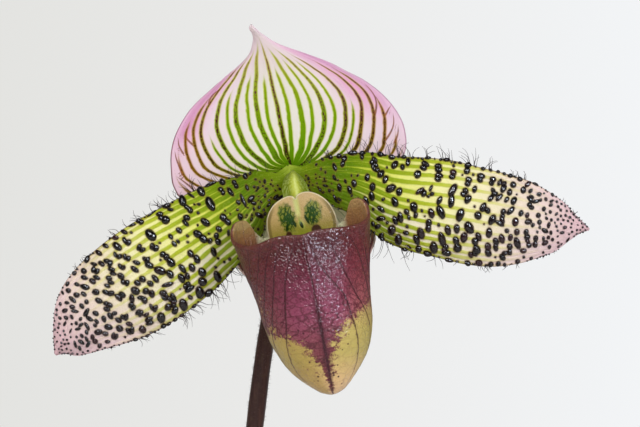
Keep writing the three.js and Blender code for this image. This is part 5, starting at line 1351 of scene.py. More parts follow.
    # Inside: olive-tan ears that turn purple-brown towards the front rim, and a pale back wall.
    ear = p.ramp(zz + (mid - 0.5) * 0.03, [(H(-8), (150, 130, 96)), (H(-2), (92, 46, 34)), (H(0), (116, 68, 44)), (H(2), (140, 98, 60)), (H(4.2), (156, 122, 72)), (H(6), (168, 140, 90))])
    streak = ((near - near.round()).abs() * gap).ease(0.3, 0.05)
    ear = p.mix(streak * 0.35, ear, (108, 62, 58))
    # Painted light: the right ear is made paler, as it lies in shade.
    ear = p.mix(right * 0.35, ear, (186, 134, 90))
    ear = p.mix(fine.ease(0.5, 0.75) * 0.15, ear, (180, 150, 104))
    # Painted light: the back wall's cream is made near white higher up, to make up for the shade it lies in.
    pale = p.ramp(zz, [(H(-30), (196, 196, 140)), (H(-6), (232, 230, 178)), (H(4), (240, 236, 198))])
    speck = p.cells(place, 1.1).ease(0.26, 0.18) * p.cell_tone(place, 1.1).over(0.72)
    pale = p.mix(speck * 0.8, pale, (110, 60, 60))
    inner = p.mix((cx * -1).ease(0.70, 0.80), ear, pale)
    colour = p.mix(face.ease(0.55, 0.2), colour, inner)
    pebble = p.cells(place, 1.95, "SMOOTH_F1", smooth=0.5)
    crease = p.noise(p.combine(w * 2.2, zz * 60.0, mid * 0.6), 1.0, 2.0)
    h = pebble * -1.1 + fine * 0.25 + mid * 0.9 + crease * 0.5 - vein * 0.6
    n = p.bump(h, 0.62, 0.00029)
    rough = 0.30 + fine * 0.14 + top.ease(0.03, 0.0) * 0.12
    return p.done(colour, rough, n, Coat_Weight=0.55, Coat_Roughness=0.09, Specular_IOR_Level=0.08)


build_pouch()

# ---- the two lower sepals, grown together ------------------------------------------------------
# Height down from the rim, half width, depth, edges' depth.
SHIELD = [
    (0, 9.7, 2.4, 5.2, 5.4), (0.1, 6.8, 7.5, 5.3, 5.8), (0.2, 3.6, 12.2, 5.4, 6.2), (0.3, 0, 15.0, 5.4, 6.4), (0.4, -3.6, 15.7, 5.4, 6.4),
    (0.5, -7.4, 13.5, 5.6, 6.4), (0.6, -12, 11.4, 6.0, 6.5), (0.7, -18, 9.3, 6.6, 7.0), (0.8, -24, 6.8, 7.4, 7.7), (0.9, -29.5, 3.8, 8.2, 8.4), (1, -33.5, 0.1, 8.8, 8.8),
]


def shield_surface(u, v):
    z, w, d, e = table(SHIELD, v)
    sag = 1.1 * (1 - u * u) * np.where(v < 0.3, 0.4, 1) * np.where(v < 0.95, -1, 0) * 0.5
    return lip(u * w + 0.2, z + sag * ease(v, 0.0, 0.06) * ease(v, 1.0, 0.9), d + (e - d) * u * u)


SHIELD_VEINS = {k: tuple(k / 7.5 * (1 - 0.12 * math.sin(q * 3)) for q in (0.1, 0.3, 0.5, 0.7, 0.9)) for k in range(-7, 8)}


def shield_extra(u, v):
    w, _ = vein_field(u, v, (0.1, 0.3, 0.5, 0.7, 0.9), SHIELD_VEINS)
    return {"w": w, "gap": smooth_gap(u, v, (0.1, 0.3, 0.5, 0.7, 0.9), SHIELD_VEINS, table(SHIELD, v)[1])}


def paint_synsepal():
    p = Paint("synsepal_flesh")
    u, v, w, gap, face = (p.attr(k) for k in ("u", "v", "w", "gap", "face"))
    place = p.place()
    wob = p.noise(place, 0.7, 3.0, 0.6)
    d = (w + (wob - 0.5) * 0.2 - (w + (wob - 0.5) * 0.2).round()).abs() * gap
    vein = (p.curve(v, [(0, 0.1), (0.25, 0.14), (0.35, 0.34), (0.6, 0.36), (1, 0.08)]) - d).ease(-0.12, 0.12)
    # Painted light: near the foot the cream is made paler than it is, to make up for the shade the pouch and petals
    # cast there.
    flesh = p.ramp(v, [(0, (226, 228, 170)), (0.16, (244, 240, 202)), (0.3, (238, 230, 204)), (0.42, (226, 206, 196)), (0.6, (226, 200, 200)), (1, (206, 166, 176))])
    flesh = p.mix(u.abs().ease(0.6, 1.0) * v.ease(0.36, 0.5) * 0.7, flesh, (205, 160, 158))
    line = p.ramp(v, [(0, (128, 140, 40)), (0.3, (130, 120, 50)), (0.6, (122, 92, 60)), (1, (150, 84, 90))])
    line = p.mix(u.abs().ease(0.5, 0.85) * v.ease(0.3, 0.42), line, (112, 56, 54))
    line = p.mix(v.ease(0.4, 0.26), line, (104, 142, 24))
    colour = p.mix(vein * (0.5 + 0.5 * v.ease(0.25, 0.4)) * v.ease(0.02, 0.12), flesh, line)
    back = p.mix(vein * 0.9, p.mix(0.3, flesh, (206, 206, 170)), (106, 116, 44))
    colour = p.mix(face.ease(0.6, 0.4), colour, back)
    speck = p.cells(place, 1.3).ease(0.24, 0.15) * p.cell_tone(place, 1.3).over(0.7) * v.ease(0.34, 0.2)
    colour = p.mix(speck * face * 0.8, colour, (90, 60, 44))
    return p.done(colour, 0.5, p.bump(vein * -0.5 + wob * 0.5 + p.cells(place, 3.0) * 0.3, 0.35, 0.0002))


shape = Shape()
sheet(shape, shield_surface, lambda u, v: 0.9 * (1 - 0.4 * np.abs(u)) * np.sqrt(np.clip(1 - np.abs(u) ** 6, 0, 1)), edges_fine(71), np.concatenate([np.linspace(0, 0.97, 80), [0.98, 0.99, 0.996]]), -1, 0,
      lambda u, v: 0.06 * np.cos(np.pi * 7.5 * u), lambda u, v: -0.08 * np.cos(np.pi * 7.5 * u), shield_extra)
shape.build("synsepal_look", [paint_synsepal()], ["synsepal"])

# ---- column, shield, anthers and stigma ------------------------------------------------------
COLUMN = [lip(0.72, 14.3, 3.0), lip(0.6, 13.2, -0.8), lip(0.45, 11.2, -3.6), lip(0.5, 8.6, -4.9), lip(0.6, 6.2, -5.2)]


def paint_column():
    p = Paint("column_flesh")
    t = p.attr("t")
    place = p.place()
    n = p.noise(place, 1.4, 3.0, 0.6)
    streak = p.noise(p.place((2600.0, 2600.0, 500.0)), 1.0, 2.0)
    across = p.attr("across")
    colour = p.ramp(t, [(0, (110, 124, 20)), (0.2, (122, 136, 26)), (0.42, (160, 168, 50)), (0.7, (178, 182, 62)), (1, (184, 188, 84))])
    # Painted shade: the thin skirts at each side turn dark olive, so that they fade into the petals.
    colour = p.mix((across.abs() + (n - 0.5) * 0.3).ease(0.10, 0.62), colour, (96, 112, 12))
    colour = p.mix((across - 0.03).abs().ease(0.2, 0.0) * t.ease(0.25, 0.5) * 0.55, colour, (208, 214, 140))
    colour = p.mix(streak.ease(0.4, 0.7) * 0.3, colour, (202, 210, 138))
    colour = p.mix(n.ease(0.5, 0.3) * 0.35, colour, (122, 140, 36))
    return p.done(colour, 0.45, p.bump(n * 0.6 + p.cells(place, 3.0) * 0.4, 0.4, 0.0002), Specular_IOR_Level=0.04)


shape = Shape()
path = smooth_path(COLUMN, 48)
t = np.linspace(0, 1, 48)
# Half width, and how far the ridge stands out in front and behind its own line.
wide, fore, aft = table([(0, 0.5, 0.4, 1.0), (0.12, 1.0, 0.8, 1.2), (0.35, 2.2, 1.5, 1.5), (0.6, 2.9, 1.9, 1.7), (0.85, 2.7, 2.0, 1.9), (1, 2.1, 1.6, 1.6)], t)
run = unit(np.gradient(path, axis=0))
side = np.array([1.0, 0.0, 0.0]) - run * run[:, :1]
side = unit(side)
out = unit(np.cross(side, run))
out = out * np.where(out[:, 1:2] > 0, -1, 1)
ang = 2 * np.pi * np.arange(48) / 48
ca, sa = np.cos(ang), np.sin(ang)
# A rounded ridge in front, drawn out to a thin skirt at each side.
bell = np.exp(-((ca / 0.62) ** 2)) * 0.72 + 0.28 * np.sqrt(np.clip(1 - ca * ca, 0, 1))
co = (path[:, None] + side[:, None] * (wide[:, None] * ca)[..., None]
      + out[:, None] * np.where(sa >= 0, fore[:, None] * np.where(sa > 1e-9, bell, 0.0), aft[:, None] * sa)[..., None])
first, last = path[0] - run[0] * 0.5, path[-1] + run[-1] * 0.3
nt, na = len(path), len(ang)
way = float(np.dot(np.cross(co[10, 1] - co[10, 0], co[11, 0] - co[10, 0]), co[10, 0] - path[10]))
faces = grid_faces(nt, na, wrap=True, flip=way < 0)
for i in range(na):
    j = (i + 1) % na
    faces.append((j, i, nt * na) if way > 0 else (i, j, nt * na))
    faces.append((nt * na - na + i, nt * na - na + j, nt * na + 1) if way > 0 else (nt * na - na + j, nt * na - na + i, nt * na + 1))
shape.add(np.vstack([co.reshape(-1, 3), first, last]), faces, 0, t=np.concatenate([np.repeat(t, na), [0, 1]]), across=np.concatenate([np.tile(ca, nt), [0, 0]]))
shape.build("column_look", [paint_column()], ["column"])

STAMINODE = [
    (0.1, 8.4), (-0.36, 8.98), (-1.41, 9.26), (-2.72, 8.97), (-4.47, 8.21), (-5.77, 7.05), (-6.79, 5.5), (-7.24, 4.01), (-7.35, 2.15), (-7.31, 0.73),
    (-6.91, -0.9), (-5.74, -1.8), (-4.21, -1.1), (-2.93, 0.1), (-2.12, -0.8), (-1.48, -1.85), (-0.46, -2.38), (0.77, -1.83), (2.03, 0.05),
    (3.32, 0.3), (4.1, -0.5), (4.81, -1.83), (6.11, -2.08), (7.4, -0.99), (7.96, 0.27), (8.25, 1.79), (8.16, 3.38), (7.7, 5.06), (6.9, 6.63),
    (5.74, 7.95), (4.36, 8.92), (3.04, 9.42), (1.61, 9.45), (0.5, 8.99),
]


def staminode_mesh():
    from mathutils.geometry import delaunay_2d_cdt

    # The outline, smoothed and resampled to even steps.
    base = np.array(STAMINODE)
    closed = np.vstack([base[-1], base, base[0], base[1]])
    pts = []
    for i in range(1, len(closed) - 2):
        for s in np.linspace(0, 1, 12, endpoint=False):
            a, b, c, d = closed[i - 1], closed[i], closed[i + 1], closed[i + 2]
            pts.append(0.5 * (2 * b + (c - a) * s + (2 * a - 5 * b + 4 * c - d) * s**2 + (3 * b - a - 3 * c + d) * s**3))
    pts = np.array(pts)
    seg = np.linalg.norm(np.roll(pts, -1, 0) - pts, axis=1)
    along = np.concatenate([[0], np.cumsum(seg)])
    n = int(along[-1] / 0.16)
    q = np.linspace(0, along[-1], n, endpoint=False)
    loop = np.column_stack([np.interp(q, along, np.append(pts[:, k], pts[0, k])) for k in (0, 1)])

    def inside(p):
        x, y = p[:, 0][:, None], p[:, 1][:, None]
        a, b = loop, np.roll(loop, -1, 0)
        cross = ((a[:, 1] > y) != (b[:, 1] > y)) & (x < (b[:, 0] - a[:, 0]) * (y - a[:, 1]) / (b[:, 1] - a[:, 1] + 1e-12) + a[:, 0])
        return cross.sum(1) % 2 == 1

    def gap(p):
        a, b = loop, np.roll(loop, -1, 0)
        d = b - a
        t = np.clip(((p[:, None] - a) * d).sum(-1) / (d * d).sum(-1), 0, 1)
        return np.linalg.norm(p[:, None] - (a + t[..., None] * d), axis=-1).min(1)

    r = np.random.default_rng(3)
    grid = []
    for j, y in enumerate(np.arange(-2.6, 9.7, 0.21)):
        for x in np.arange(-7.6, 8.5, 0.24):
            grid.append((x + (0.12 if j % 2 else 0) + r.uniform(-0.03, 0.03), y + r.uniform(-0.03, 0.03)))
    grid = np.array(grid)
    grid = grid[inside(grid)]
    grid = grid[gap(grid) > 0.62]
    rings = []
    prev, nxt = np.roll(loop, 1, 0), np.roll(loop, -1, 0)
    tang = unit(nxt - prev)
    nrm = np.column_stack([-tang[:, 1], tang[:, 0]])
    if inside(loop[:1] + nrm[:1] * 0.05)[0] == False:
        nrm = -nrm
    for w in (0.05, 0.13, 0.25, 0.42):
        ring = loop + nrm * w
        keep = inside(ring) & (gap(ring) > w * 0.82)
        rings.append(ring[keep])
    allp = np.vstack([loop] + rings + [grid])
    edges = [(i, (i + 1) % n) for i in range(n)]
    v, e, f, ov, oe, of_ = delaunay_2d_cdt([Vector(p) for p in allp.tolist()], edges, [list(range(n))], 1, 1e-6)
    P = np.array([tuple(x) for x in v])
    g = gap(P)
    rim = g < 1e-4
    x, z = P[:, 0], P[:, 1]
    # Bowed forward, lobes domed, a groove down the middle and a low bead round the rim.
    mid = -9.3 + 0.02 * (x - 0.4) ** 2 + 0.012 * (z - 3.4) ** 2
    bead = 0.16 * np.exp(-((g - 0.22) / 0.16) ** 2)
    groove = 0.42 * np.exp(-((x - 0.1) / 0.75) ** 2) * ease(z, 9.2, 7.4) * ease(z, 3.6, 6.0)
    lobe = 0.35 * (np.exp(-(((x + 3.4) / 2.9) ** 2 + ((z - 4.0) / 3.6) ** 2)) + np.exp(-(((x - 4.2) / 2.9) ** 2 + ((z - 4.2) / 3.6) ** 2)))
    boss = 0.3 * np.exp(-(((x - 0.35) / 0.8) ** 2 + ((z - 2.4) / 1.2) ** 2))
    h = 0.6 * np.sqrt(np.clip(1 - (1 - np.clip(g / 0.5, 0, 1)) ** 2, 0, 1))
    front = mid - h - bead - lobe - boss + groove
    back = mid + h
    m = len(P)
    F = lip(x, z, np.where(rim, mid, front))
    B = lip(x, z, np.where(rim, mid, back))
    bid = np.where(rim, np.arange(m), -1)
    extra_pts, extra_idx = [], []
    for i in np.where(~rim)[0]:
        bid[i] = m + len(extra_idx)
        extra_idx.append(i)
    faces = []
    for tri in f:
        a = [P[i] for i in tri]
        area = sum(a[k][0] * a[(k + 1) % len(a)][1] - a[(k + 1) % len(a)][0] * a[k][1] for k in range(len(a)))
        t = tuple(tri) if area > 0 else tuple(tri)[::-1]
        faces.append(t)  # anticlockwise in x, z faces -Y
        faces.append(tuple(int(bid[i]) for i in t[::-1]))
    co = np.vstack([F, B[extra_idx]])
    ex = {k: np.concatenate([val, val[extra_idx]]) for k, val in {"px": x, "pz": z, "g": g}.items()}
    ex["face"] = np.concatenate([np.where(rim, 0.5, 1.0), np.zeros(len(extra_idx))])
    return co, faces, ex


def paint_staminode():
    p = Paint("staminode_flesh")
    x, z, g, face = (p.attr(k) for k in ("px", "pz", "g", "face"))
    place = p.place()
    n1 = p.noise(place, 1.1, 3.0, 0.6)
    n2 = p.noise(place, 3.5, 3.0, 0.65)
    base = p.ramp((z + 2.5) / 12.0 + (n1 - 0.5) * 0.12, [(0, (124, 124, 26)), (0.2, (140, 132, 36)), (0.4, (158, 136, 68)), (0.62, (176, 148, 94)), (1, (186, 158, 112))])
    base = p.mix(n2.ease(0.5, 0.8) * 0.3, base, (202, 178, 130))
    base = p.mix(n2.ease(0.5, 0.25) * 0.4, base, (136, 106, 56))
    # Yellow-green towards the foot.
    foot = ((x - 0.4).abs() * 0.22 + z * 0.3).ease(1.6, 0.2)
    base = p.mix(foot * 0.8, base, (132, 138, 34))

    def oval(cx, cz, rx, rz, soft_in, soft_out, wob=0.25, lean=0.0):
        dx = x - cx - (z - cz) * lean
        dz = z - cz
        q = (dx * dx / (rx * rx) + dz * dz / (rz * rz)).power(0.5) + (n1 - 0.5) * wob
        return q.ease(soft_out, soft_in)

    # The green net in each lobe.
    left, right = oval(-2.5, 4.5, 2.15, 3.6, 0.62, 1.05, 0.9, -0.12), oval(3.3, 4.7, 2.3, 3.1, 0.6, 1.05, 0.9, 0.1)
    lobes = left.highest(right)
    warp = p.combine(x * 1.45 + (n1 - 0.5) * 1.1, z * 0.86 + (n1 - 0.5) * 0.9, 0.0)
    net = p.cells(warp, 1.0, "DISTANCE_TO_EDGE")
    inner = oval(-2.2, 4.4, 1.4, 2.6, 0.2, 1.0).highest(oval(3.0, 4.6, 1.5, 2.2, 0.2, 1.0))
    base = p.mix(lobes * 0.9, base, (106, 116, 24))
    width = 0.085 + inner * 0.16
    threads = (width - net).ease(-0.06, 0.045) * lobes
    base = p.mix(threads * 0.97, base, (20, 58, 3))
    # Long drops at the lower ends of the net, and the spot in the middle.
    drops = oval(-1.15, 3.0, 0.38, 0.95, 0.7, 1.1, 0.3, -0.25).highest(oval(1.75, 3.4, 0.38, 1.1, 0.7, 1.1, 0.3, -0.3)).highest(oval(-2.9, 2.3, 0.34, 1.0, 0.6, 1.15, 0.3, 0.2)).highest(oval(3.1, 3.0, 0.3, 0.8, 0.6, 1.15, 0.3, 0.1))
    base = p.mix(drops, base, (18, 44, 2))
    halo = oval(0.36, 2.5, 0.75, 1.25, 0.5, 1.3, 0.3, -0.2)
    base = p.mix(halo * 0.5, base, (170, 176, 80))
    base = p.mix(oval(0.36, 2.45, 0.40, 0.86, 0.8, 1.08, 0.15, -0.2), base, (26, 44, 12))
    # The pale groove.
    groove = (x - 0.1).abs().ease(0.95, 0.15) * z.ease(3.6, 5.6)
    base = p.mix(groove * 0.8, base, (190, 196, 116))
    base = p.mix((x - 0.1).abs().ease(0.28, 0.05) * z.ease(5.2, 3.4) * z.ease(2.4, 3.0) * 0.6, base, (110, 140, 60))
    # Dark notches.
    notch = oval(-2.75, 0.5, 0.8, 1.15, 0.75, 1.1).highest(oval(3.4, 0.7, 1.25, 1.35, 0.75, 1.1))
    base = p.mix(notch * 0.95, base, (52, 16, 16))
    # An olive-brown band inside the rim, broad at the sides.
    band = g.ease(1.15, 0.75) * (x - 0.4).abs().ease(4.6, 6.6)
    base = p.mix(band * 0.8, base, (104, 88, 42))
    # Pale thin rim, with an olive line on the edge behind it.
    base = p.mix(g.ease(0.36, 0.16) * face.ease(0.4, 0.9) * z.ease(-1.5, 0.5) * 0.9, base, (214, 200, 166))
    base = p.mix(face.ease(0.75, 0.45), base, (104, 92, 46))
    h = n2 * 0.8 + p.cells(place, 2.6) * 0.6 - threads * 0.3
    return p.done(base, 0.3 + n2 * 0.18, p.bump(h, 0.5, 0.00022), Coat_Weight=0.12, Coat_Roughness=0.1, Specular_IOR_Level=0.03)


co, faces, ex = staminode_mesh()
shape = Shape()
shape.add(co, faces, 0, **ex)
shape.build("staminode_look", [paint_staminode()], ["staminode"])


def lumpy_ball(centre, size, seed, amount, segs=40, rings=24, groove=0.0):
    """A rounded organ: size is three half extents, with smooth swells and, if asked, a furrow down the front."""
    th = np.linspace(0, math.pi, rings + 1)[1:-1]
    ph = 2 * math.pi * np.arange(segs) / segs
    T, F = np.meshgrid(th, ph, indexing="ij")
    d = np.stack([np.sin(T) * np.cos(F), np.sin(T) * np.sin(F), np.cos(T)], -1)
    lum = Lumps(seed, 1.1, 20)
    r = 1 + amount * lum(d)
    if groove:
        r = r - groove * np.exp(-((d[..., 0] / 0.22) ** 2)) * ease(-d[..., 1], 0.0, 0.6)
    co = centre + d * r[..., None] * np.array(size)
    faces = grid_faces(len(th), segs, wrap=True, flip=True)
    n = len(th) * segs
    top, bot = centre + np.array([0, 0, size[2] * (1 + amount * lum(np.array([0, 0, 1.0])))]), centre - np.array([0, 0, size[2]])
    for i in range(segs):
        faces.append((i, (i + 1) % segs, n))
        faces.append((n - segs + (i + 1) % segs, n - segs + i, n + 1))
    return np.vstack([co.reshape(-1, 3), top, bot]), faces


def paint_pollen():
    p = Paint("pollen_mass")
    place = p.place()
    n = p.noise(place, 1.5, 4.0, 0.6)
    colour = p.ramp(n, [(0.25, (150, 108, 36)), (0.5, (198, 156, 62)), (0.75, (224, 190, 104))])
    return p.done(colour, 0.55, p.bump(n * 0.7 + p.cells(place, 3.4) * 0.6, 0.5, 0.0002), Coat_Weight=0.2, Coat_Roughness=0.3)


def paint_stigma():
    p = Paint("stigma_flesh")
    place = p.place()
    n = p.noise(place, 1.0, 3.0, 0.6)
    colour = p.ramp(n, [(0.3, (96, 84, 36)), (0.55, (138, 132, 56)), (0.8, (170, 166, 88))])
    blot = p.noise(place, 0.6, 2.0).ease(0.45, 0.6)
    colour = p.mix(blot * 0.6, colour, (92, 46, 34))
    return p.done(colour, 0.35, p.bump(n + p.cells(place, 2.4) * 0.5, 0.5, 0.0002), Coat_Weight=0.3, Coat_Roughness=0.2)


pollen = paint_pollen()
for name, x, seed in (("anther_left", -3.9, 61), ("anther_right", 5.0, 62)):
    shape = Shape()
    shape.add(*lumpy_ball(lip(x, 5.6, -5.6), (1.25, 1.05, 1.55), seed, 0.035, groove=0.16))
    shape.build(name + "_look", [pollen], [name])
shape = Shape()
shape.add(*lumpy_ball(lip(0.5, 0.6, -5.6), (2.35, 1.15, 2.55), 63, 0.03, groove=0.10))
shape.build("stigma_look", [paint_stigma()], ["stigma"])


# ---- ovary, bract and stem ---------------------------------------------------------------------
CROWN, SHOOT = (-7.0, 1.0), (21.0, 31.0)
STEM = [
    (-7.0, 1.0, 100.3), (-7.5, 1.2, 130), (-9.3, 1.8, 180), (-9.3, 2, 225), (-7.2, 1.2, 270), (-2.26, 0.3, 316.6), (0.2, 0.1, 336), (1.55, 0.05, 344.5),
]
OVARY = [(1.6, 0, 345), (2.7, -0.7, 353), (4.2, -4.4, 362.5), (5.8, -10.4, 369.6), (6.4, -19.3, 373.7)]


def down(shape, path, radius_at, count, length, mat, r, thin=0.045, lean=0.35):
    """Short pointed hairs all over a rod, as little four-sided spikes."""
    t, s, b = frames_along(path)
    n = len(path)
    for _ in range(count):
        q = r.uniform(0.005, 0.995) * (n - 1)
        i = int(q)
        f = q - i
        a = r.uniform(0, 2 * math.pi)
        c = path[i] * (1 - f) + path[min(i + 1, n - 1)] * f
        d = s[i] * math.cos(a) + b[i] * math.sin(a)
        root = c + d * (radius_at(q / (n - 1), a) - 0.06)
        tip = root + unit(d + t[i] * r.normal(lean, 0.25) + np.cross(t[i], d) * r.normal(0, 0.3)) * (length * r.uniform(0.6, 1.35) + 0.06)
        e1 = np.cross(d, t[i]) * thin
        e2 = t[i] * thin
        shape.add([root + e1, root - e1 * 0.5 + e2 * 0.87, root - e1 * 0.5 - e2 * 0.87, tip], [(0, 1, 3), (1, 2, 3), (2, 0, 3), (0, 2, 1)], mat)


def paint_stem():
    p = Paint("stem_skin")
    t = p.attr("t")
    place = p.place()
    streak = p.noise(p.place((1500.0, 1500.0, 110.0)), 1.0, 3.0, 0.6)
    n = p.noise(place, 0.8, 3.0, 0.6)
    colour = p.ramp(t, [(0, (84, 82, 46)), (0.12, (72, 52, 38)), (0.4, (58, 34, 30)), (0.8, (56, 32, 28)), (1, (66, 40, 34))])
    colour = p.mix(streak.ease(0.5, 0.75) * 0.35, colour, (92, 60, 50))
    colour = p.mix(streak.ease(0.48, 0.3) * 0.4, colour, (36, 18, 18))
    colour = p.mix(n.ease(0.5, 0.7) * 0.25, colour, (84, 66, 44))
    return p.done(colour, 0.62, p.bump(streak * 0.8 + n * 0.4 + p.cells(place, 2.8) * 0.3, 0.4, 0.0002), Sheen_Weight=0.25, Sheen_Roughness=0.4)


def paint_down():
    p = Paint("stem_down")
    n = p.noise(p.place(), 0.9, 2.0)
    return p.done(p.ramp(n, [(0.3, (58, 34, 32)), (0.7, (120, 86, 76))]), 0.5)


down_mat = paint_down()
shape = Shape()
n = 150
path = smooth_path(STEM, n)
t = np.linspace(0, 1, n)
sides = 28
ang = 2 * math.pi * np.arange(sides) / sides
stem_lump = Lumps(77, 14.0, 16)


def stem_radius(t, a):
    return (2.42 - 0.6 * t) * (1 + 0.035 * np.cos(3 * a + 4 * t) + 0.02 * np.sin(7 * a))


tube(shape, path, stem_radius(t[:, None], ang[None]) + 0.05 * stem_lump(path)[:, None], sides, 0, t=t)
down(shape, path, lambda q, a: float(stem_radius(q, a)), 3600, 0.55, 1, np.random.default_rng(14))
shape.build("flower_stem_look", [paint_stem(), down_mat], ["flower_stem"])


def paint_ovary():
    p = Paint("ovary_skin")
    t = p.attr("t")
    place = p.place()
    streak = p.noise(p.place((900.0, 900.0, 200.0)), 1.0, 3.0, 0.6)
    n = p.noise(place, 0.9, 3.0, 0.6)
    colour = p.ramp(t, [(0, (84, 62, 42)), (0.3, (92, 82, 44)), (0.7, (112, 110, 48)), (1, (134, 142, 58))])
    colour = p.mix(streak.ease(0.5, 0.72) * 0.5, colour, (92, 46, 40))
    colour = p.mix(n.ease(0.52, 0.75) * 0.3, colour, (150, 146, 80))
    return p.done(colour, 0.55, p.bump(streak * 0.7 + n * 0.5, 0.4, 0.0002), Sheen_Weight=0.2, Sheen_Roughness=0.4)


shape = Shape()
n = 70
path = smooth_path(OVARY, n)
t = np.linspace(0, 1, n)
sides = 36
ang = 2 * math.pi * np.arange(sides) / sides


def ovary_radius(t, a):
    (r,) = table([(0, 2.2), (0.25, 2.75), (0.6, 3.4), (0.88, 3.1), (1, 2.6)], np.asarray(t, float))
    return r * (1 + 0.07 * np.cos(3 * a) - 0.05 * np.abs(np.sin(1.5 * a)) ** 6)


tube(shape, path, ovary_radius(t[:, None] + 0 * ang[None], ang[None] + 0 * t[:, None]), sides, 0, t=t)
down(shape, path, lambda q, a: float(ovary_radius(q, a)), 1100, 0.5, 1, np.random.default_rng(15))
shape.build("ovary_look", [paint_ovary(), down_mat], ["ovary"])


def bract_surface(u, v):
    u, v = np.broadcast_arrays(u, v)
    path = smooth_path(OVARY, 400)
    tt, _, _ = frames_along(path)
    q = np.clip(0.02 + 0.6 * v, 0, 1) * 399
    i = np.clip(q.astype(int), 0, 398)
    f = (q - i)[..., None]
    c, d = path[i] * (1 - f) + path[i + 1] * f, unit(tt[i] * (1 - f) + tt[i + 1] * f)
    back = unit(np.array([0.0, 1.0, 0.0]) - d * d[..., 1:2])
    side = np.cross(d, back)
    (spread,) = table([(0, 2.7), (0.3, 2.55), (0.6, 2.0), (0.85, 1.15), (1, 0)], v)
    (r,) = table([(0, 2.95), (0.3, 3.7), (0.7, 4.6), (1, 5.8)], v)
    a = u * spread
    return c + back * (r * np.cos(a))[..., None] + side * (r * np.sin(a))[..., None]


def paint_bract():
    p = Paint("bract_skin")
    u, v, face = p.attr("u"), p.attr("v"), p.attr("face")
    place = p.place()
    n = p.noise(place, 0.8, 3.0, 0.6)
    ribs = (u * 14.0).fract() - 0.5
    rib = ribs.abs().ease(0.5, 0.34)
    colour = p.ramp(v + (n - 0.5) * 0.2, [(0, (112, 92, 50)), (0.3, (128, 122, 62)), (0.65, (142, 142, 74)), (0.9, (150, 110, 82)), (1, (118, 74, 58))])
    colour = p.mix(rib * 0.35, colour, (96, 84, 40))
    colour = p.mix(n.ease(0.5, 0.72) * 0.4, colour, (112, 60, 52))
    colour = p.mix(face.ease(0.6, 0.4) * 0.35, colour, (166, 160, 100))
    return p.done(colour, 0.55, p.bump(rib * 0.7 + n * 0.5, 0.45, 0.0002), Sheen_Weight=0.15)


shape = Shape()
nb = normals(bract_surface, np.array([0.0]), np.array([0.4]))[0]
sheet(shape, bract_surface, lambda u, v: 0.7 * (1 - 0.4 * np.abs(u)) * np.sqrt(np.clip(1 - np.abs(u) ** 8, 0, 1)), edges_fine(61), np.concatenate([np.linspace(0, 0.96, 60), [0.975, 0.99]]), 1 if nb[1] > 0 else -1, 0,
      lambda u, v: 0.06 * np.cos(2 * np.pi * 7 * u), lambda u, v: 0.0 * u)
r = np.random.default_rng(16)
for _ in range(420):
    u, v = r.uniform(-1, 1), r.uniform(0.02, 0.97)
    c = bract_surface(np.array([u]), np.array([v]))[0]
    d = normals(bract_surface, np.array([np.clip(u, -0.99, 0.99)]), np.array([v]))[0] * (1 if nb[1] > 0 else -1)
    e1 = unit(np.cross(d, [0.1, 0.2, 1.0])) * 0.04
    e2 = np.cross(d, e1)
    tip = c + unit(d + r.normal(size=3) * 0.3) * r.uniform(0.35, 0.75)
    shape.add([c + e1, c - e1 * 0.5 + e2 * 0.87, c - e1 * 0.5 - e2 * 0.87, tip], [(0, 1, 3), (1, 2, 3), (2, 0, 3), (0, 2, 1)], 1)
shape.build("bract_look", [paint_bract(), down_mat], ["bract"])

# ---- leaves --------------------------------------------------------------------------------
WIDTHS = [(0, 0.3), (0.1, 0.5), (0.22, 0.74), (0.36, 0.92), (0.52, 1), (0.68, 0.98), (0.8, 0.87), (0.9, 0.65), (0.96, 0.41), (1, 0)]


def out(at, azimuth, r, z):
    a = math.radians(azimuth)
    return (at[0] + r * math.cos(a), at[1] + r * math.sin(a), z)


LEAVES = {
    "leaf_1": dict(foot=out(CROWN, 197, 12.2, 90.5), azimuth=197, lift=38, droop=-34, length=150, half=18.5, fold=46),
    "leaf_2": dict(foot=out(CROWN, 10, 12.2, 91.5), azimuth=10, lift=40, droop=-30, length=168, half=20, fold=46, sway=-6),
    "leaf_3": dict(foot=out(CROWN, 190, 9, 95.5), azimuth=186, lift=54, droop=-18, length=176, half=20.5, fold=38, sway=-5),
    "leaf_4": dict(foot=out(CROWN, 6, 9, 96.5), azimuth=0, lift=57, droop=-12, length=166, half=19.5, fold=38, sway=-9),
    "leaf_5": dict(foot=out(CROWN, 196, 5.8, 100.5), azimuth=200, lift=69, droop=16, length=122, half=17, fold=30),
    "leaf_6": dict(foot=out(CROWN, 10, 5.8, 101.5), azimuth=2, lift=71, droop=24, length=108, half=15.5, fold=30),
    "young_leaf_1": dict(foot=out(SHOOT, 66, 6.2, 90.5), azimuth=62, lift=58, droop=4, length=98, half=13.5, fold=40),
    "young_leaf_2": dict(foot=out(SHOOT, 246, 6.2, 90.5), azimuth=246, lift=88, droop=80, length=58, half=8.5, fold=40),
    "young_leaf_3": dict(foot=out(SHOOT, 66, 2.6, 94.5), azimuth=66, lift=80, droop=44, length=76, half=10.5, fold=34),
}


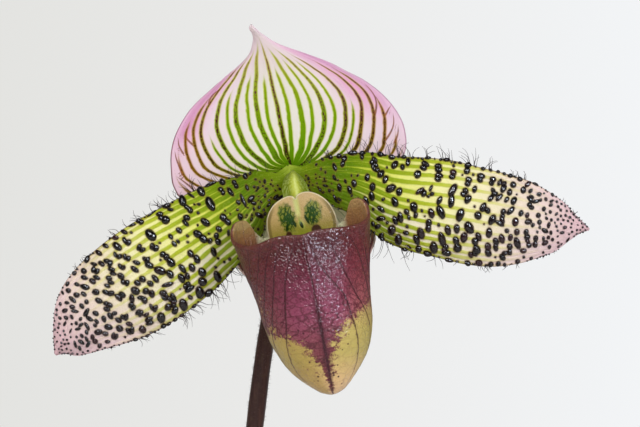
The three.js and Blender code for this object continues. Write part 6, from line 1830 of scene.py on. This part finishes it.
def leaf_surface(foot, azimuth, lift, droop, length, half, fold, bend=1.25, sway=0):
    rad, steps = math.pi / 180, 60
    spine, ds, ls = [], [], []
    p = np.array(foot, float)
    for i in range(steps + 1):
        v = i / steps
        e, a = (lift + (droop - lift) * v**bend) * rad, (azimuth + sway * v * v) * rad
        d = np.array([math.cos(e) * math.cos(a), math.cos(e) * math.sin(a), math.sin(e)])
        spine.append(p.copy())
        ds.append(d)
        ls.append(np.array([-math.sin(a), math.cos(a), 0.0]))
        p = p + d * length / steps
    spine, ds, ls = np.array(spine), np.array(ds), np.array(ls)
    wave = Lumps(int(length * 7), 46.0, 10, 2)

    def at(u, v):
        u, v = np.broadcast_arrays(np.asarray(u, float), np.asarray(v, float))
        x = np.clip(v, 0, 1) * steps
        i = np.minimum(steps - 1, x.astype(int))
        s = (x - i)[..., None]
        m = spine[i] * (1 - s) + spine[i + 1] * s
        d = unit(ds[i] * (1 - s) + ds[i + 1] * s)
        l = unit(ls[i] * (1 - s) + ls[i + 1] * s)
        up = np.cross(d, l)
        (w,) = table(WIDTHS, v)
        w = w * half
        k = (10 + (fold - 10) * (1 - np.clip(v / 0.55, 0, 1)) ** 1.5) * rad
        r = np.sqrt(u * u + 0.02) - math.sqrt(0.02)
        ripple = 0.5 * wave(np.stack([u * 14, v * length], -1)) * np.abs(u) ** 1.3 * ease(v, 0.15, 0.4)
        return m + l * (w * u * np.cos(k))[..., None] + up * (w * r * np.sin(k) + ripple)[..., None]

    return at


def paint_leaf():
    p = Paint("leaf_skin")
    u, v, along, across, face, pick = (p.attr(k) for k in ("u", "v", "along", "across", "face", "pick"))
    place = p.place()
    n = p.noise(place, 0.22, 3.0, 0.6)
    fine = p.noise(place, 1.3, 3.0, 0.6)
    # Chequered mottling: dark blotches between the long veins, set across the blade in broken rows.
    shift = (n - 0.5) * 1.1
    vec = p.combine(along * 0.115 + shift, across * 0.30 + (fine - 0.5) * 0.5, pick * 7.0)
    tone = p.cell_tone(vec, 1.0)
    edge = p.cells(vec, 1.0, "DISTANCE_TO_EDGE")
    vec2 = p.combine(along * 0.25 + (fine - 0.5) * 0.8, across * 0.62 + shift * 0.6, pick * 3.0)
    tone2 = p.cell_tone(vec2, 1.0)
    dark = (tone * 0.62 + tone2 * 0.3 + (n - 0.5) * 0.5 + (fine - 0.5) * 0.25).ease(0.36, 0.54)
    dark = dark * edge.ease(0.0, 0.09) * 0.75 + dark * 0.25
    pale = p.ramp(v, [(0, (150, 166, 92)), (0.12, (142, 166, 96)), (0.5, (138, 166, 104)), (1, (126, 154, 86))])
    pale = p.mix(fine.ease(0.45, 0.75) * 0.4, pale, (168, 190, 136))
    deep = p.ramp(v, [(0, (74, 104, 40)), (0.15, (52, 88, 32)), (0.6, (44, 80, 30)), (1, (50, 88, 32))])
    deep = p.mix(fine.ease(0.45, 0.7) * 0.35, deep, (32, 64, 24))
    colour = p.mix(dark, pale, deep)
    # Thin long veins and a sunken midrib.
    lines = (u * 6.0 + (n - 0.5) * 0.15).fract() - 0.5
    thin = lines.abs().ease(0.5, 0.43)
    colour = p.mix(thin * 0.28, colour, (104, 138, 66))
    rib = u.abs().ease(0.05, 0.0)
    colour = p.mix(rib * 0.6, colour, (56, 92, 34))
    colour = p.mix(u.abs().ease(0.975, 0.995) * 0.6, colour, (122, 140, 84))
    tip = v.ease(0.975, 0.995)
    colour = p.mix(tip * 0.8, colour, (150, 132, 80))
    # Underside: plainer and paler, flushed with maroon dots towards the foot.
    under = p.mix(dark * 0.25, (128, 152, 92), (92, 122, 62))
    under = p.mix(thin * 0.4, under, (104, 130, 72))
    flush = v.ease(0.55, 0.0) * (n * 0.8 + 0.3)
    dots = p.cells(place, 1.6).ease(0.42, 0.2)
    under = p.mix((flush * (0.35 + dots * 0.6)).clamp() * 0.9, under, (88, 44, 60))
    colour = p.mix(face.ease(0.62, 0.38), colour, under)
    h = (thin * -0.6) + fine * 0.5 + rib * -0.8 + edge.ease(0.0, 0.2) * 0.35
    rough = 0.42 + fine * 0.16 + face.ease(0.6, 0.4) * 0.15
    return p.done(colour, rough, p.bump(h, 0.4, 0.0003), Specular_IOR_Level=0.14)


leaf_mat = paint_leaf()
for i, (name, spec) in enumerate(LEAVES.items()):
    surf = leaf_surface(**spec)
    length, half = spec["length"], spec["half"]
    big = length > 100
    shape = Shape()

    def more(u, v, length=length, half=half, i=i):
        (w,) = table(WIDTHS, v)
        return {"along": v * length, "across": u * w * half, "pick": np.full(len(u), (i * 0.37) % 1.0)}

    def leaf_thick(u, v):
        return 1.25 * (1 - 0.45 * np.abs(u)) * (1 - 0.35 * v) * np.sqrt(np.clip(1 - np.abs(u) ** 10, 0, 1))

    def dent(u, v):
        return -0.22 * np.exp(-((u / 0.045) ** 2)) * ease(v, 1.0, 0.85) - 0.05 * np.exp(-(((np.abs(u) * 6.0) % 1.0 - 0.5) / 0.12) ** 2)

    def keel(u, v):
        return 0.35 * np.exp(-((u / 0.06) ** 2)) * ease(v, 1.0, 0.6)

    nl = normals(surf, np.array([0.3]), np.array([0.5]))[0]
    sheet(shape, surf, leaf_thick, edges_fine(57 if big else 41), np.concatenate([np.linspace(0, 0.95, 110 if big else 70), [0.962, 0.972, 0.981, 0.988, 0.994, 0.998]]),
          1 if nl[2] > 0 else -1, 0, dent, keel, more)
    shape.build(name + "_look", [leaf_mat], [name])


# ---- growth bases: old sheaths wrapped round the foot of each fan ----------------------------------
def paint_sheath():
    p = Paint("sheath_skin")
    hh, ang, layer = p.attr("hh"), p.attr("ang"), p.attr("layer")
    place = p.place()
    n = p.noise(place, 0.5, 3.0, 0.6)
    fibre = p.noise(p.combine(ang * 16.0, hh * 1.2, layer), 1.0, 3.0, 0.6)
    green = p.ramp(hh + (n - 0.5) * 0.3, [(0, (120, 84, 62)), (0.25, (128, 116, 66)), (0.55, (130, 146, 74)), (1, (134, 158, 80))])
    dry = p.ramp(fibre, [(0.25, (92, 64, 40)), (0.5, (142, 108, 70)), (0.75, (178, 150, 106))])
    colour = p.mix((layer - hh * 1.7 + (n - 0.5) * 0.9).ease(0.0, 0.45), green, dry)
    colour = p.mix(fibre.ease(0.5, 0.3) * 0.35, colour, (74, 52, 40))
    return p.done(colour, 0.62, p.bump(fibre * 0.9 + n * 0.5, 0.6, 0.0003))


sheath_mat = paint_sheath()
GROWTHS = {
    "growth_base": (CROWN, 12, 0.66, [(83.9, 8.2), (86, 10.2), (89, 10.9), (91.2, 9.8), (93.6, 8.2), (95.8, 7.2), (98, 5.6), (99.5, 4.4)]),
    "young_growth_base": (SHOOT, 66, 0.78, [(83.9, 4.4), (86, 5.5), (88.6, 5.3), (90.4, 4.3), (92, 2.6), (93.2, 1.2)]),
}
for name, (at, azimuth, flat, prof) in GROWTHS.items():
    shape = Shape()
    z0, z1 = prof[0][0], prof[-1][0]
    rows, sides = 70, 96
    z = np.linspace(z0, z1, rows)
    (r,) = table(prof, z)
    a = 2 * math.pi * np.arange(sides) / sides
    A, Z = np.meshgrid(a, z)
    R = np.broadcast_to(r[:, None], A.shape).copy()
    hh = (Z - z0) / (z1 - z0)
    layer = np.zeros_like(R)
    # Torn upper edges of the wrapped sheaths: each ends at its own height, which varies round the growth.
    for k, (top, lean) in enumerate(((0.30, 0.0), (0.52, 2.2), (0.74, 4.0))):
        edge = top + 0.10 * np.sin(A + lean) + 0.03 * np.sin(5 * A + k) + 0.015 * np.sin(13 * A + 2 * k)
        inside = ease(hh, edge + 0.012, edge - 0.012)
        R += 0.33 * inside
        layer = np.maximum(layer, inside * (1.0 - 0.25 * k))
    R -= 0.5
    R += 0.10 * np.sin(A * 21 + 3 * np.sin(Z * 0.3)) + 0.12 * np.sin(A * 6 + Z * 0.25)
    az = math.radians(azimuth)
    x, y = R * np.cos(A), R * np.sin(A) * flat
    P = np.stack([at[0] + x * math.cos(az) - y * math.sin(az), at[1] + x * math.sin(az) + y * math.cos(az), Z], -1)
    faces = grid_faces(rows, sides, wrap=True)
    m = rows * sides
    for i in range(sides):
        faces.append((m, (i + 1) % sides, i))
        faces.append((m + 1, m - sides + i, m - sides + (i + 1) % sides))
    co = np.vstack([P.reshape(-1, 3), [at[0], at[1], z0], [at[0], at[1], z1 + 0.25]])
    shape.add(co, faces, 0, hh=np.append(hh.reshape(-1), [0, 1]), ang=np.append(np.cos(A).reshape(-1) + 2 * np.sin(A).reshape(-1), [0, 0]),
              layer=np.append(layer.reshape(-1), [1, 0]))
    shape.build(name + "_look", [sheath_mat], [name])


# ---- pot -----------------------------------------------------------------------------------
HEIGHT, TOP_R, RIM_H, RIM_STEP, FOOT_R, WALL, FLOOR = 100.0, 60.0, 20.0, 3.0, 42.0, 5.0, 6.0
NECK_R = TOP_R - RIM_STEP - 1.5


def pot_inner(z):
    neck = NECK_R - WALL
    z0, z1 = FLOOR + 2, HEIGHT - RIM_H - 2
    if z < z1:
        return FOOT_R - WALL + 1 + (neck - (FOOT_R - WALL + 1)) * (z - z0) / (z1 - z0)
    return neck + (TOP_R - WALL - neck) * (z - z1) / (HEIGHT - 1.5 - z1)


def rounded(profile, size=0.9, steps=4):
    """The corners of an open [radius, height] profile, rounded off."""
    out = [profile[0]]
    for a, b, c in zip(profile, profile[1:], profile[2:]):
        a, b, c = map(np.array, (a, b, c))
        la, lc = np.linalg.norm(a - b), np.linalg.norm(c - b)
        k = min(size, la * 0.45, lc * 0.45)
        p, q = b + (a - b) / la * k, b + (c - b) / lc * k
        for s in np.linspace(0, 1, steps + 1):
            out.append(tuple((1 - s) ** 2 * p + 2 * s * (1 - s) * b + s * s * q))
    out.append(profile[-1])
    # Long runs are cut up so that the walls can be uneven.
    fine = [out[0]]
    for a, b in zip(out, out[1:]):
        n = max(1, int(math.hypot(b[0] - a[0], b[1] - a[1]) / 3.0))
        for s in np.linspace(0, 1, n + 1)[1:]:
            fine.append((a[0] + (b[0] - a[0]) * s, a[1] + (b[1] - a[1]) * s))
    return fine


def lathe(profile, sides, wobble=None):
    """A closed solid turned from a profile whose two ends are on the axis."""
    a = 2 * math.pi * np.arange(sides) / sides
    rz = np.array(profile[1:-1])
    R, Z = np.repeat(rz[:, :1], sides, 1), np.repeat(rz[:, 1:], sides, 1)
    P = np.stack([R * np.cos(a), R * np.sin(a), Z], -1)
    if wobble is not None:
        P = wobble(P)
    m = len(rz) * sides
    faces = grid_faces(len(rz), sides, wrap=True)
    for i in range(sides):
        faces.append((m, (i + 1) % sides, i))
        faces.append((m + 1, m - sides + i, m - sides + (i + 1) % sides))
    return np.vstack([P.reshape(-1, 3), [0, 0, profile[0][1]], [0, 0, profile[-1][1]]]), faces


def paint_clay():
    p = Paint("fired_clay")
    place = p.place()
    low = p.noise(place, 0.035, 3.0, 0.6)
    mid = p.noise(place, 0.16, 4.0, 0.65)
    fine = p.noise(place, 1.1, 3.0, 0.6)
    rings = p.noise(p.place((40.0, 40.0, 900.0)), 1.0, 3.0, 0.6)
    sep = p.t.nodes.new("ShaderNodeSeparateXYZ")
    p.t.links.new(place, sep.inputs[0])
    z = Sock(p.t, sep.outputs[2])
    x, y = Sock(p.t, sep.outputs[0]), Sock(p.t, sep.outputs[1])
    r = (x * x + y * y).power(0.5)
    colour = p.ramp(mid * 0.5 + low * 0.5, [(0.28, (158, 98, 72)), (0.45, (174, 112, 84)), (0.6, (186, 126, 97)), (0.75, (200, 144, 115))])
    colour = p.mix(rings.ease(0.52, 0.75) * 0.30, colour, (206, 152, 124))
    colour = p.mix(fine.ease(0.5, 0.3) * 0.25, colour, (146, 78, 52))
    # White salts low on the wall and under the rim, and a green cast in the damp.
    salt = (mid - 0.5 + (low - 0.5) * 0.6).ease(0.02, 0.2) * (z.ease(52.0, 16.0) * 0.75 + z.ease(70.0, 78.0) * z.ease(86.0, 80.0) * 0.5)
    colour = p.mix(salt * (fine * 0.7 + 0.25), colour, (224, 208, 188))
    moss = (low - 0.5 + (mid - 0.5) * 0.8).ease(0.0, 0.2) * z.ease(30.0, 4.0) * 0.45
    colour = p.mix(moss, colour, (110, 104, 64))
    # Darker towards the foot.
    foot_darkening = z.ease(9.0, 0.0) * 0.35
    colour = p.mix(foot_darkening, colour, (120, 70, 48))
    # The edge of the rim is rubbed paler; the inside gets darker further down from the rim, in patches.
    colour = p.mix(z.ease(97.2, 99.6) * mid.ease(0.4, 0.6) * 0.5, colour, (218, 152, 118))
    inside = (r * -1 + 56.2).ease(0.0, 1.2) * z.over(80.0)
    colour = p.mix(inside * (0.45 + mid * 0.5) * z.ease(99.5, 92.0), colour, (122, 74, 52))
    pits = p.cells(place, 0.8).ease(0.0, 0.22)
    h = fine * 0.6 + rings * 0.9 + pits * 0.35 + mid * 0.7
    return p.done(colour, 0.86, p.bump(h, 0.4, 0.0005))


clay_wave = Lumps(91, 60.0, 16)
clay_fine = Lumps(92, 14.0, 24)


def uneven(P):
    r = np.hypot(P[..., 0], P[..., 1])
    k = (0.16 * clay_wave(P) + 0.05 * clay_fine(P)) / np.maximum(r, 20)
    P = P.copy()
    P[..., 0] *= 1 + np.where(r > 30, k, 0)
    P[..., 1] *= 1 + np.where(r > 30, k, 0)
    # Turning marks.
    m = np.where(r > 38, 0.05 * np.sin(P[..., 2] * 2.1 + 1.5 * np.sin(P[..., 2] * 0.37)), 0) / np.maximum(r, 20)
    P[..., 0] *= 1 + m
    P[..., 1] *= 1 + m
    lim = np.maximum(np.hypot(P[..., 0], P[..., 1]) / 59.95, 1)
    P[..., 0] /= lim
    P[..., 1] /= lim
    return P


outline = rounded([
    (0, 0), (FOOT_R - 1.5, 0), (FOOT_R, 1.5), (NECK_R, HEIGHT - RIM_H - 1), (TOP_R - 1.5, HEIGHT - RIM_H + 1), (TOP_R - 1, HEIGHT - RIM_H + 3), (TOP_R, HEIGHT - 2),
    (TOP_R - 1.5, HEIGHT), (TOP_R - WALL + 1, HEIGHT), (TOP_R - WALL, HEIGHT - 1.5), (NECK_R - WALL, HEIGHT - RIM_H - 2), (FOOT_R - WALL + 1, FLOOR + 2), (FOOT_R - WALL - 1, FLOOR), (0, FLOOR),
])
shape = Shape()
shape.add(*lathe(outline, 168, uneven))
clay = paint_clay()
pot = shape.build("pot_look", [clay], ["pot"])
drills = bmesh.new()
for i in range(4):
    a = math.pi / 4 + math.pi / 2 * i
    geo = bmesh.ops.create_cone(drills, cap_ends=True, segments=40, radius1=4.35 * MM, radius2=3.9 * MM, depth=18 * MM)
    bmesh.ops.translate(drills, verts=geo["verts"], vec=(23 * MM * math.cos(a), 23 * MM * math.sin(a), 3 * MM))
drill_mesh = bpy.data.meshes.new("drills")
drills.to_mesh(drill_mesh)
drills.free()
drill = bpy.data.objects.new("drills", drill_mesh)
bpy.context.scene.collection.objects.link(drill)
cut = pot.modifiers.new("holes", "BOOLEAN")
cut.operation, cut.object, cut.solver = "DIFFERENCE", drill, "EXACT"
bpy.context.view_layer.update()
whole = bpy.data.meshes.new_from_object(pot.evaluated_get(bpy.context.evaluated_depsgraph_get()))
pot.modifiers.clear()
pot.data = whole
bpy.data.objects.remove(drill)
whole.polygons.foreach_set("use_smooth", np.ones(len(whole.polygons), bool))
whole.set_sharp_from_angle(angle=math.radians(50))


# ---- bark mix and loose chips -----------------------------------------------------------------
def paint_bark(name, painted_shade):
    p = Paint(name)
    tone, leaf = p.attr("tone"), p.attr("grain")
    place = p.place()
    n = p.noise(place, 0.45, 4.0, 0.65)
    fine = p.noise(place, 2.0, 3.0, 0.6)
    flake = p.noise(p.place((320.0, 320.0, 1500.0)), 1.0, 4.0, 0.6)
    base = p.ramp(tone * 0.7 + n * 0.3, [(0.1, (62, 38, 27)), (0.35, (96, 58, 38)), (0.6, (128, 80, 50)), (0.8, (142, 104, 76)), (0.95, (120, 106, 92))])
    base = p.mix(flake.ease(0.52, 0.7) * 0.55, base, (164, 108, 66))
    base = p.mix(flake.ease(0.48, 0.3) * 0.6, base, (44, 27, 20))
    base = p.mix(leaf.ease(0.45, 0.9) * 0.4, base, (104, 90, 78))
    base = p.mix(fine.ease(0.5, 0.3) * 0.4, base, (40, 26, 20))
    # Painted shade: a darkened copy of the bark, for the chunks down in the pot.
    if painted_shade:
        base = p.mix(painted_shade, base, (40, 27, 20))
    return p.done(base, 0.88, p.bump(flake * 1.2 + n * 0.9 + fine * 0.5, 0.8, 0.0006))


# The bed's bark is the same bark darkened by painted shade.
bark, bed_bark = paint_bark("bark_skin", 0), paint_bark("mix_bark", 0.22)


def paint_mix():
    p = Paint("mix_fines")
    place = p.place()
    n = p.noise(place, 0.5, 4.0, 0.65)
    c = p.cell_tone(place, 0.55)
    colour = p.ramp(n * 0.5 + c * 0.5, [(0.2, (34, 24, 18)), (0.5, (56, 38, 27)), (0.75, (84, 60, 42)), (0.95, (120, 96, 70))])
    return p.done(colour, 0.92, p.bump(p.cells(place, 0.55) * 1.2 + n, 0.8, 0.0008))


mix_wave, mix_grit = Lumps(51, 26.0, 20), Lumps(52, 6.0, 30)


def settle(P):
    P = P.copy()
    r = np.hypot(P[..., 0], P[..., 1])
    flat = (P[..., 2] > 82.4) & (r < 49.5)
    P[..., 2] += np.where(flat, 0.35 * mix_wave(P) + 0.2 * mix_grit(P) - 0.25, 0)
    return P


shape = Shape()
inner = pot_inner(83.5)
bed = [(0, 6.45)] + [(r, 6.45) for r in np.linspace(6, pot_inner(8) - 3, 6)] + [(pot_inner(8) - 0.7, 8.6)] + [(pot_inner(z) - 0.7, z) for z in np.linspace(14, 77.5, 12)] + \
      [(inner - 1.1, 81.6)] + [(r, 82.9) for r in np.linspace(inner - 2.6, 1.5, 34)] + [(0, 82.9)]
shape.add(*lathe(bed, 132, settle), 0, tone=0.3, grain=0.0)
r = np.random.default_rng(71)
# The chunks of the bed lie flat for the most part and stop below the loose chips.
spots, tries = [], 0
while len(spots) < 620 and tries < 26000:
    tries += 1
    size = np.array([r.uniform(3.2, 7.2), r.uniform(2.2, 4.4), r.uniform(1.2, 2.4)]) * (1.0 if len(spots) < 330 else 0.62)
    rad, a = 48.6 * math.sqrt(r.uniform(0, 1)), r.uniform(0, 2 * math.pi)
    x, y = rad * math.cos(a), rad * math.sin(a)
    reach = size[0] * 0.62
    if any((x - q[0]) ** 2 + (y - q[1]) ** 2 < (reach + q[2]) ** 2 * 0.40 for q in spots):
        continue
    spots.append((x, y, reach))
    pts = r.uniform(-1, 1, (13, 3)) * size
    corner = np.array([[i, j, k] for i in (-1, 1) for j in (-1, 1) for k in (-1, 1)]) * size * r.uniform(0.62, 0.95, (8, 1))
    pts = np.vstack([pts * 0.98, corner])
    tx, ty, tz = r.normal(0, 0.22), r.normal(0, 0.22), r.uniform(0, math.pi)
    cx, sx, cy, sy, cz, sz = math.cos(tx), math.sin(tx), math.cos(ty), math.sin(ty), math.cos(tz), math.sin(tz)
    m = np.array([[cz, -sz, 0], [sz, cz, 0], [0, 0, 1]]) @ np.array([[cy, 0, sy], [0, 1, 0], [-sy, 0, cy]]) @ np.array([[1, 0, 0], [0, cx, -sx], [0, sx, cx]])
    pts = pts @ m.T + [x, y, 0]
    near = min(math.hypot(x - CROWN[0], y - CROWN[1]) - 13, math.hypot(x - SHOOT[0], y - SHOOT[1]) - 8)
    top = r.uniform(83.3, 84.28) if near > size[0] else r.uniform(82.9, 83.7)
    pts[:, 2] += top - pts[:, 2].max()
    far = np.hypot(pts[:, 0], pts[:, 1]).max()
    if far > inner - 0.75:
        pts[:, :2] *= (inner - 0.75) / far
    bm = bmesh.new()
    for q in pts:
        bm.verts.new(q)
    bmesh.ops.convex_hull(bm, input=bm.verts)
    loose = [v for v in bm.verts if not v.link_faces]
    bmesh.ops.delete(bm, geom=loose, context="VERTS")
    bm.verts.ensure_lookup_table()
    bm.verts.index_update()
    shape.add([tuple(v.co) for v in bm.verts], [[v.index for v in f.verts] for f in bm.faces], 1, tone=float(r.uniform(0, 1)), grain=float(r.uniform(0, 1)))
    bm.free()
shape.build("potting_mix_look", [paint_mix(), bed_bark], ["potting_mix"], sharp=(1,))


def sequence(seed):
    s = seed & 0xFFFFFFFF

    def go():
        nonlocal s
        s = (s * 1664525 + 1013904223) & 0xFFFFFFFF
        return s / 4294967296

    return go


random = sequence(11)
placed, chips = [], []
for _ in range(4000):
    if len(chips) == 18:
        break
    l, w, h = 9 + 9 * random(), 6 + 4 * random(), 3 + 2.4 * random()
    a = 2 * math.pi * random()
    rad = 14 + 32 * math.sqrt(random())
    x, y = rad * math.cos(a), rad * math.sin(a)
    turn = math.pi * random()
    lean = 0.16 * (random() - 0.5)
    reach = math.hypot(l, w) / 2 + 0.8
    if rad + reach > 51.5 or math.hypot(x - CROWN[0], y - CROWN[1]) <= reach + 14 or math.hypot(x - SHOOT[0], y - SHOOT[1]) <= reach + 10:
        continue
    if any(math.hypot(x - q[0], y - q[1]) < reach + q[2] for q in placed):
        continue
    corners = {}
    for key in ((1, 1, 1), (1, 1, -1), (1, -1, 1), (1, -1, -1), (-1, 1, -1), (-1, 1, 1), (-1, -1, -1), (-1, -1, 1)):
        k = (0.78 + 0.22 * random(), 0.74 + 0.26 * random(), 0.7 + 0.3 * random())
        corners[key] = np.array([key[0] * l / 2 * k[0], key[1] * w / 2 * k[1], key[2] * h / 2 * k[2]])
    c, s = math.cos(lean), math.sin(lean)
    rx = np.array([[1, 0, 0], [0, c, -s], [0, s, c]])
    c, s = math.cos(lean / 2), math.sin(lean / 2)
    ry = np.array([[c, 0, s], [0, 1, 0], [-s, 0, c]])
    c, s = math.cos(turn), math.sin(turn)
    rz = np.array([[c, -s, 0], [s, c, 0], [0, 0, 1]])
    for key in corners:
        corners[key] = rz @ ry @ rx @ corners[key] + np.array([x, y, 0])
    low = min(q[2] for q in corners.values())
    for key in corners:
        corners[key][2] += 83.5 + 0.9 - low
    placed.append((x, y, reach))
    chips.append((corners, (l, w, h)))


def chip_look(corners, size, seed):
    """A broken piece of bark that fills the chip's own eight corners."""
    n = [max(5, int(s / 0.75)) for s in size]
    ids, pts = {}, []

    def vid(i, j, k):
        if (i, j, k) not in ids:
            ids[(i, j, k)] = len(pts)
            pts.append((2 * i / n[0] - 1, 2 * j / n[1] - 1, 2 * k / n[2] - 1))
        return ids[(i, j, k)]

    faces = []
    for axis in range(3):
        b, c = (axis + 1) % 3, (axis + 2) % 3
        for side in (0, n[axis]):
            for p in range(n[b]):
                for q in range(n[c]):
                    quad = []
                    for dp, dq in ((0, 0), (1, 0), (1, 1), (0, 1)):
                        ijk = [0, 0, 0]
                        ijk[axis], ijk[b], ijk[c] = side, p + dp, q + dq
                        quad.append(vid(*ijk))
                    faces.append(tuple(quad) if side else tuple(quad[::-1]))
    P = np.array(pts)
    a, b, c = P[:, 0], P[:, 1], P[:, 2]
    # Broken edges: corners rounded, sides eaten back in layers, ends splintered.
    ends = np.stack([a, b, c], -1)
    soft = 1 - 0.07 * (a * a * b * b) - 0.05 * (a * a * c * c) - 0.05 * (b * b * c * c)
    ends = ends * soft[:, None]
    layer = Lumps(seed, 0.9, 14, 1)
    chunk = Lumps(seed + 1, 1.3, 24)
    grit = Lumps(seed + 2, 0.35, 30)
    world = np.zeros((len(P), 3))
    bite = 0.07 * (0.5 + 0.5 * layer(c[:, None] * 3)) + 0.06 * (0.5 + 0.5 * chunk(P * 1.5)) + 0.025 * grit(P)
    bite = np.clip(bite, 0, 0.3)
    e = ends * (1 - bite[:, None] * np.array([1.0, 1.0, 0.55]))
    for key, q in corners.items():
        wgt = (1 + key[0] * e[:, 0]) * (1 + key[1] * e[:, 1]) * (1 + key[2] * e[:, 2]) / 8
        world += wgt[:, None] * q
    return world, faces


for i, (corners, size) in enumerate(chips):
    name = f"bark_chip_{i + 1:02d}"
    shape = Shape()
    shape.add(*chip_look(corners, size, 300 + 7 * i), 0, tone=(0.13 + 0.618 * i) % 1.0, grain=(0.5 * i * 0.37) % 1.0)
    shape.build(name + "_look", [bark], [name])


# ---- floor, light and background -------------------------------------------------------------
def paint_floor():
    p = Paint("studio_floor")
    place = p.place((1000.0, 1000.0, 1000.0))
    n = p.noise(place, 0.004, 2.0)
    fine = p.noise(place, 0.9, 3.0, 0.6)
    colour = p.mix(n, (226, 225, 221), (232, 232, 229))
    # The paper is lit evenly out to the rim, far beyond the lamps over the plant.
    sep = p.t.nodes.new("ShaderNodeSeparateXYZ")
    p.t.links.new(place, sep.inputs[0])
    x, y = Sock(p.t, sep.outputs[0]), Sock(p.t, sep.outputs[1])
    away = ((x * x + y * y) * 1e-6).ease(0.10, 1.1)
    p.t.links.new(p.mix(away, (0, 0, 0), (168, 168, 166)), p.b.inputs["Emission Color"])
    p.b.inputs["Emission Strength"].default_value = 1.0
    return p.done(colour, 0.75, p.bump(fine, 0.08, 0.0002))


floor_mesh = bpy.data.meshes.new("floor")
ring = [(1.35 * math.cos(2 * math.pi * i / 96), 1.35 * math.sin(2 * math.pi * i / 96)) for i in range(96)]
floor_mesh.from_pydata(
    [(x, y, 0.0) for x, y in ring] + [(x, y, -0.006) for x, y in ring], [],
    [tuple(range(96)), tuple(range(191, 95, -1))] + [(i, i + 96, (i + 1) % 96 + 96, (i + 1) % 96) for i in range(96)],
)
floor_mesh.materials.append(paint_floor())
floor = bpy.data.objects.new("floor", floor_mesh)
bpy.context.scene.collection.objects.link(floor)


def soft_light(name, at, aim, size, power, colour=(1, 1, 1)):
    data = bpy.data.lights.new(name, "AREA")
    data.shape = "RECTANGLE"
    data.size, data.size_y = size
    data.energy = power
    data.color = colour
    obj = bpy.data.objects.new(name, data)
    obj.location = at
    obj.rotation_euler = (Vector(aim) - Vector(at)).to_track_quat("-Z", "Y").to_euler()
    bpy.context.scene.collection.objects.link(obj)
    return obj


def soft_fill(*args):
    """A light that fills the shadows and isn't mirrored in the glossy skins."""
    soft_light(*args).visible_glossy = False


def soft_glint(*args):
    """A light that is only mirrored in the glossy skins."""
    lamp = soft_light(*args)
    lamp.visible_diffuse = False
    lamp.visible_transmission = False


BLOOM = (0.006, -0.03, 0.37)
soft_glint("glint_right", (0.476, -0.86, 0.72), BLOOM, (0.13, 0.24), 10.0, (0.74, 0.83, 1.0))
soft_glint("glint_left", (-0.30, -0.80, 0.86), BLOOM, (0.12, 0.12), 5.0, (0.88, 0.93, 1.0))
soft_light("key", (-0.26, -0.72, 1.02), BLOOM, (0.34, 0.34), 3.9, (1.0, 0.985, 0.96))
soft_light("window", (0.476, -0.84, 0.70), BLOOM, (0.30, 0.34), 4.2, (0.90, 0.95, 1.0))
soft_fill("side", (1.0, -0.45, 0.5), BLOOM, (0.5, 0.9), 2.5, (0.97, 0.985, 1.0))
soft_fill("far_side", (-1.0, -0.35, 0.45), BLOOM, (0.5, 0.9), 2.0, (1.0, 0.99, 0.97))
soft_fill("crown", (0.1, 0.75, 1.0), BLOOM, (0.7, 0.5), 2.4, (1.0, 1.0, 1.0))
soft_fill("low", (-0.35, -1.1, 0.22), (0, 0, 0.14), (0.6, 0.4), 1.8, (1.0, 0.99, 0.97))

world = bpy.data.worlds.new("studio")
bpy.context.scene.world = world
world.use_nodes = True
wt = world.node_tree
wt.nodes.clear()
w_out = wt.nodes.new("ShaderNodeOutputWorld")
w_mix = wt.nodes.new("ShaderNodeMixShader")
w_path = wt.nodes.new("ShaderNodeLightPath")
w_seen = wt.nodes.new("ShaderNodeBackground")
w_light = wt.nodes.new("ShaderNodeBackground")
w_coord = wt.nodes.new("ShaderNodeTexCoord")
w_sep = wt.nodes.new("ShaderNodeSeparateXYZ")
w_ramp = wt.nodes.new("ShaderNodeValToRGB")
w_map = wt.nodes.new("ShaderNodeMapRange")
w_map.inputs["From Min"].default_value = -0.14
w_map.inputs["From Max"].default_value = 0.14
els = w_ramp.color_ramp.elements
els.new(0.5)
for el, (at, c) in zip(els, ((0.0, (227, 227, 224)), (0.5, (235, 235, 234)), (1.0, (243, 245, 247)))):
    el.position = at
    el.color = rgb(*c)
wt.links.new(w_coord.outputs["Generated"], w_sep.inputs[0])
wt.links.new(w_sep.outputs[0], w_map.inputs[0])
wt.links.new(w_map.outputs[0], w_ramp.inputs[0])
wt.links.new(w_ramp.outputs[0], w_seen.inputs[0])
w_seen.inputs[1].default_value = 1.0
w_light.inputs[0].default_value = (0.97, 0.985, 1.0, 1.0)
w_light.inputs[1].default_value = 0.30
wt.links.new(w_path.outputs["Is Camera Ray"], w_mix.inputs[0])
wt.links.new(w_light.outputs[0], w_mix.inputs[1])
wt.links.new(w_seen.outputs[0], w_mix.inputs[2])
w_dim = wt.nodes.new("ShaderNodeBackground")
w_dim.inputs[0].default_value = (0.95, 0.98, 1.0, 1.0)
w_dim.inputs[1].default_value = 0.08
w_gloss = wt.nodes.new("ShaderNodeMixShader")
wt.links.new(w_path.outputs["Is Glossy Ray"], w_gloss.inputs[0])
wt.links.new(w_mix.outputs[0], w_gloss.inputs[1])
wt.links.new(w_dim.outputs[0], w_gloss.inputs[2])
wt.links.new(w_gloss.outputs[0], w_out.inputs[0])
bpy.context.scene.view_settings.view_transform = "Standard"
bpy.context.scene.view_settings.look = "None"
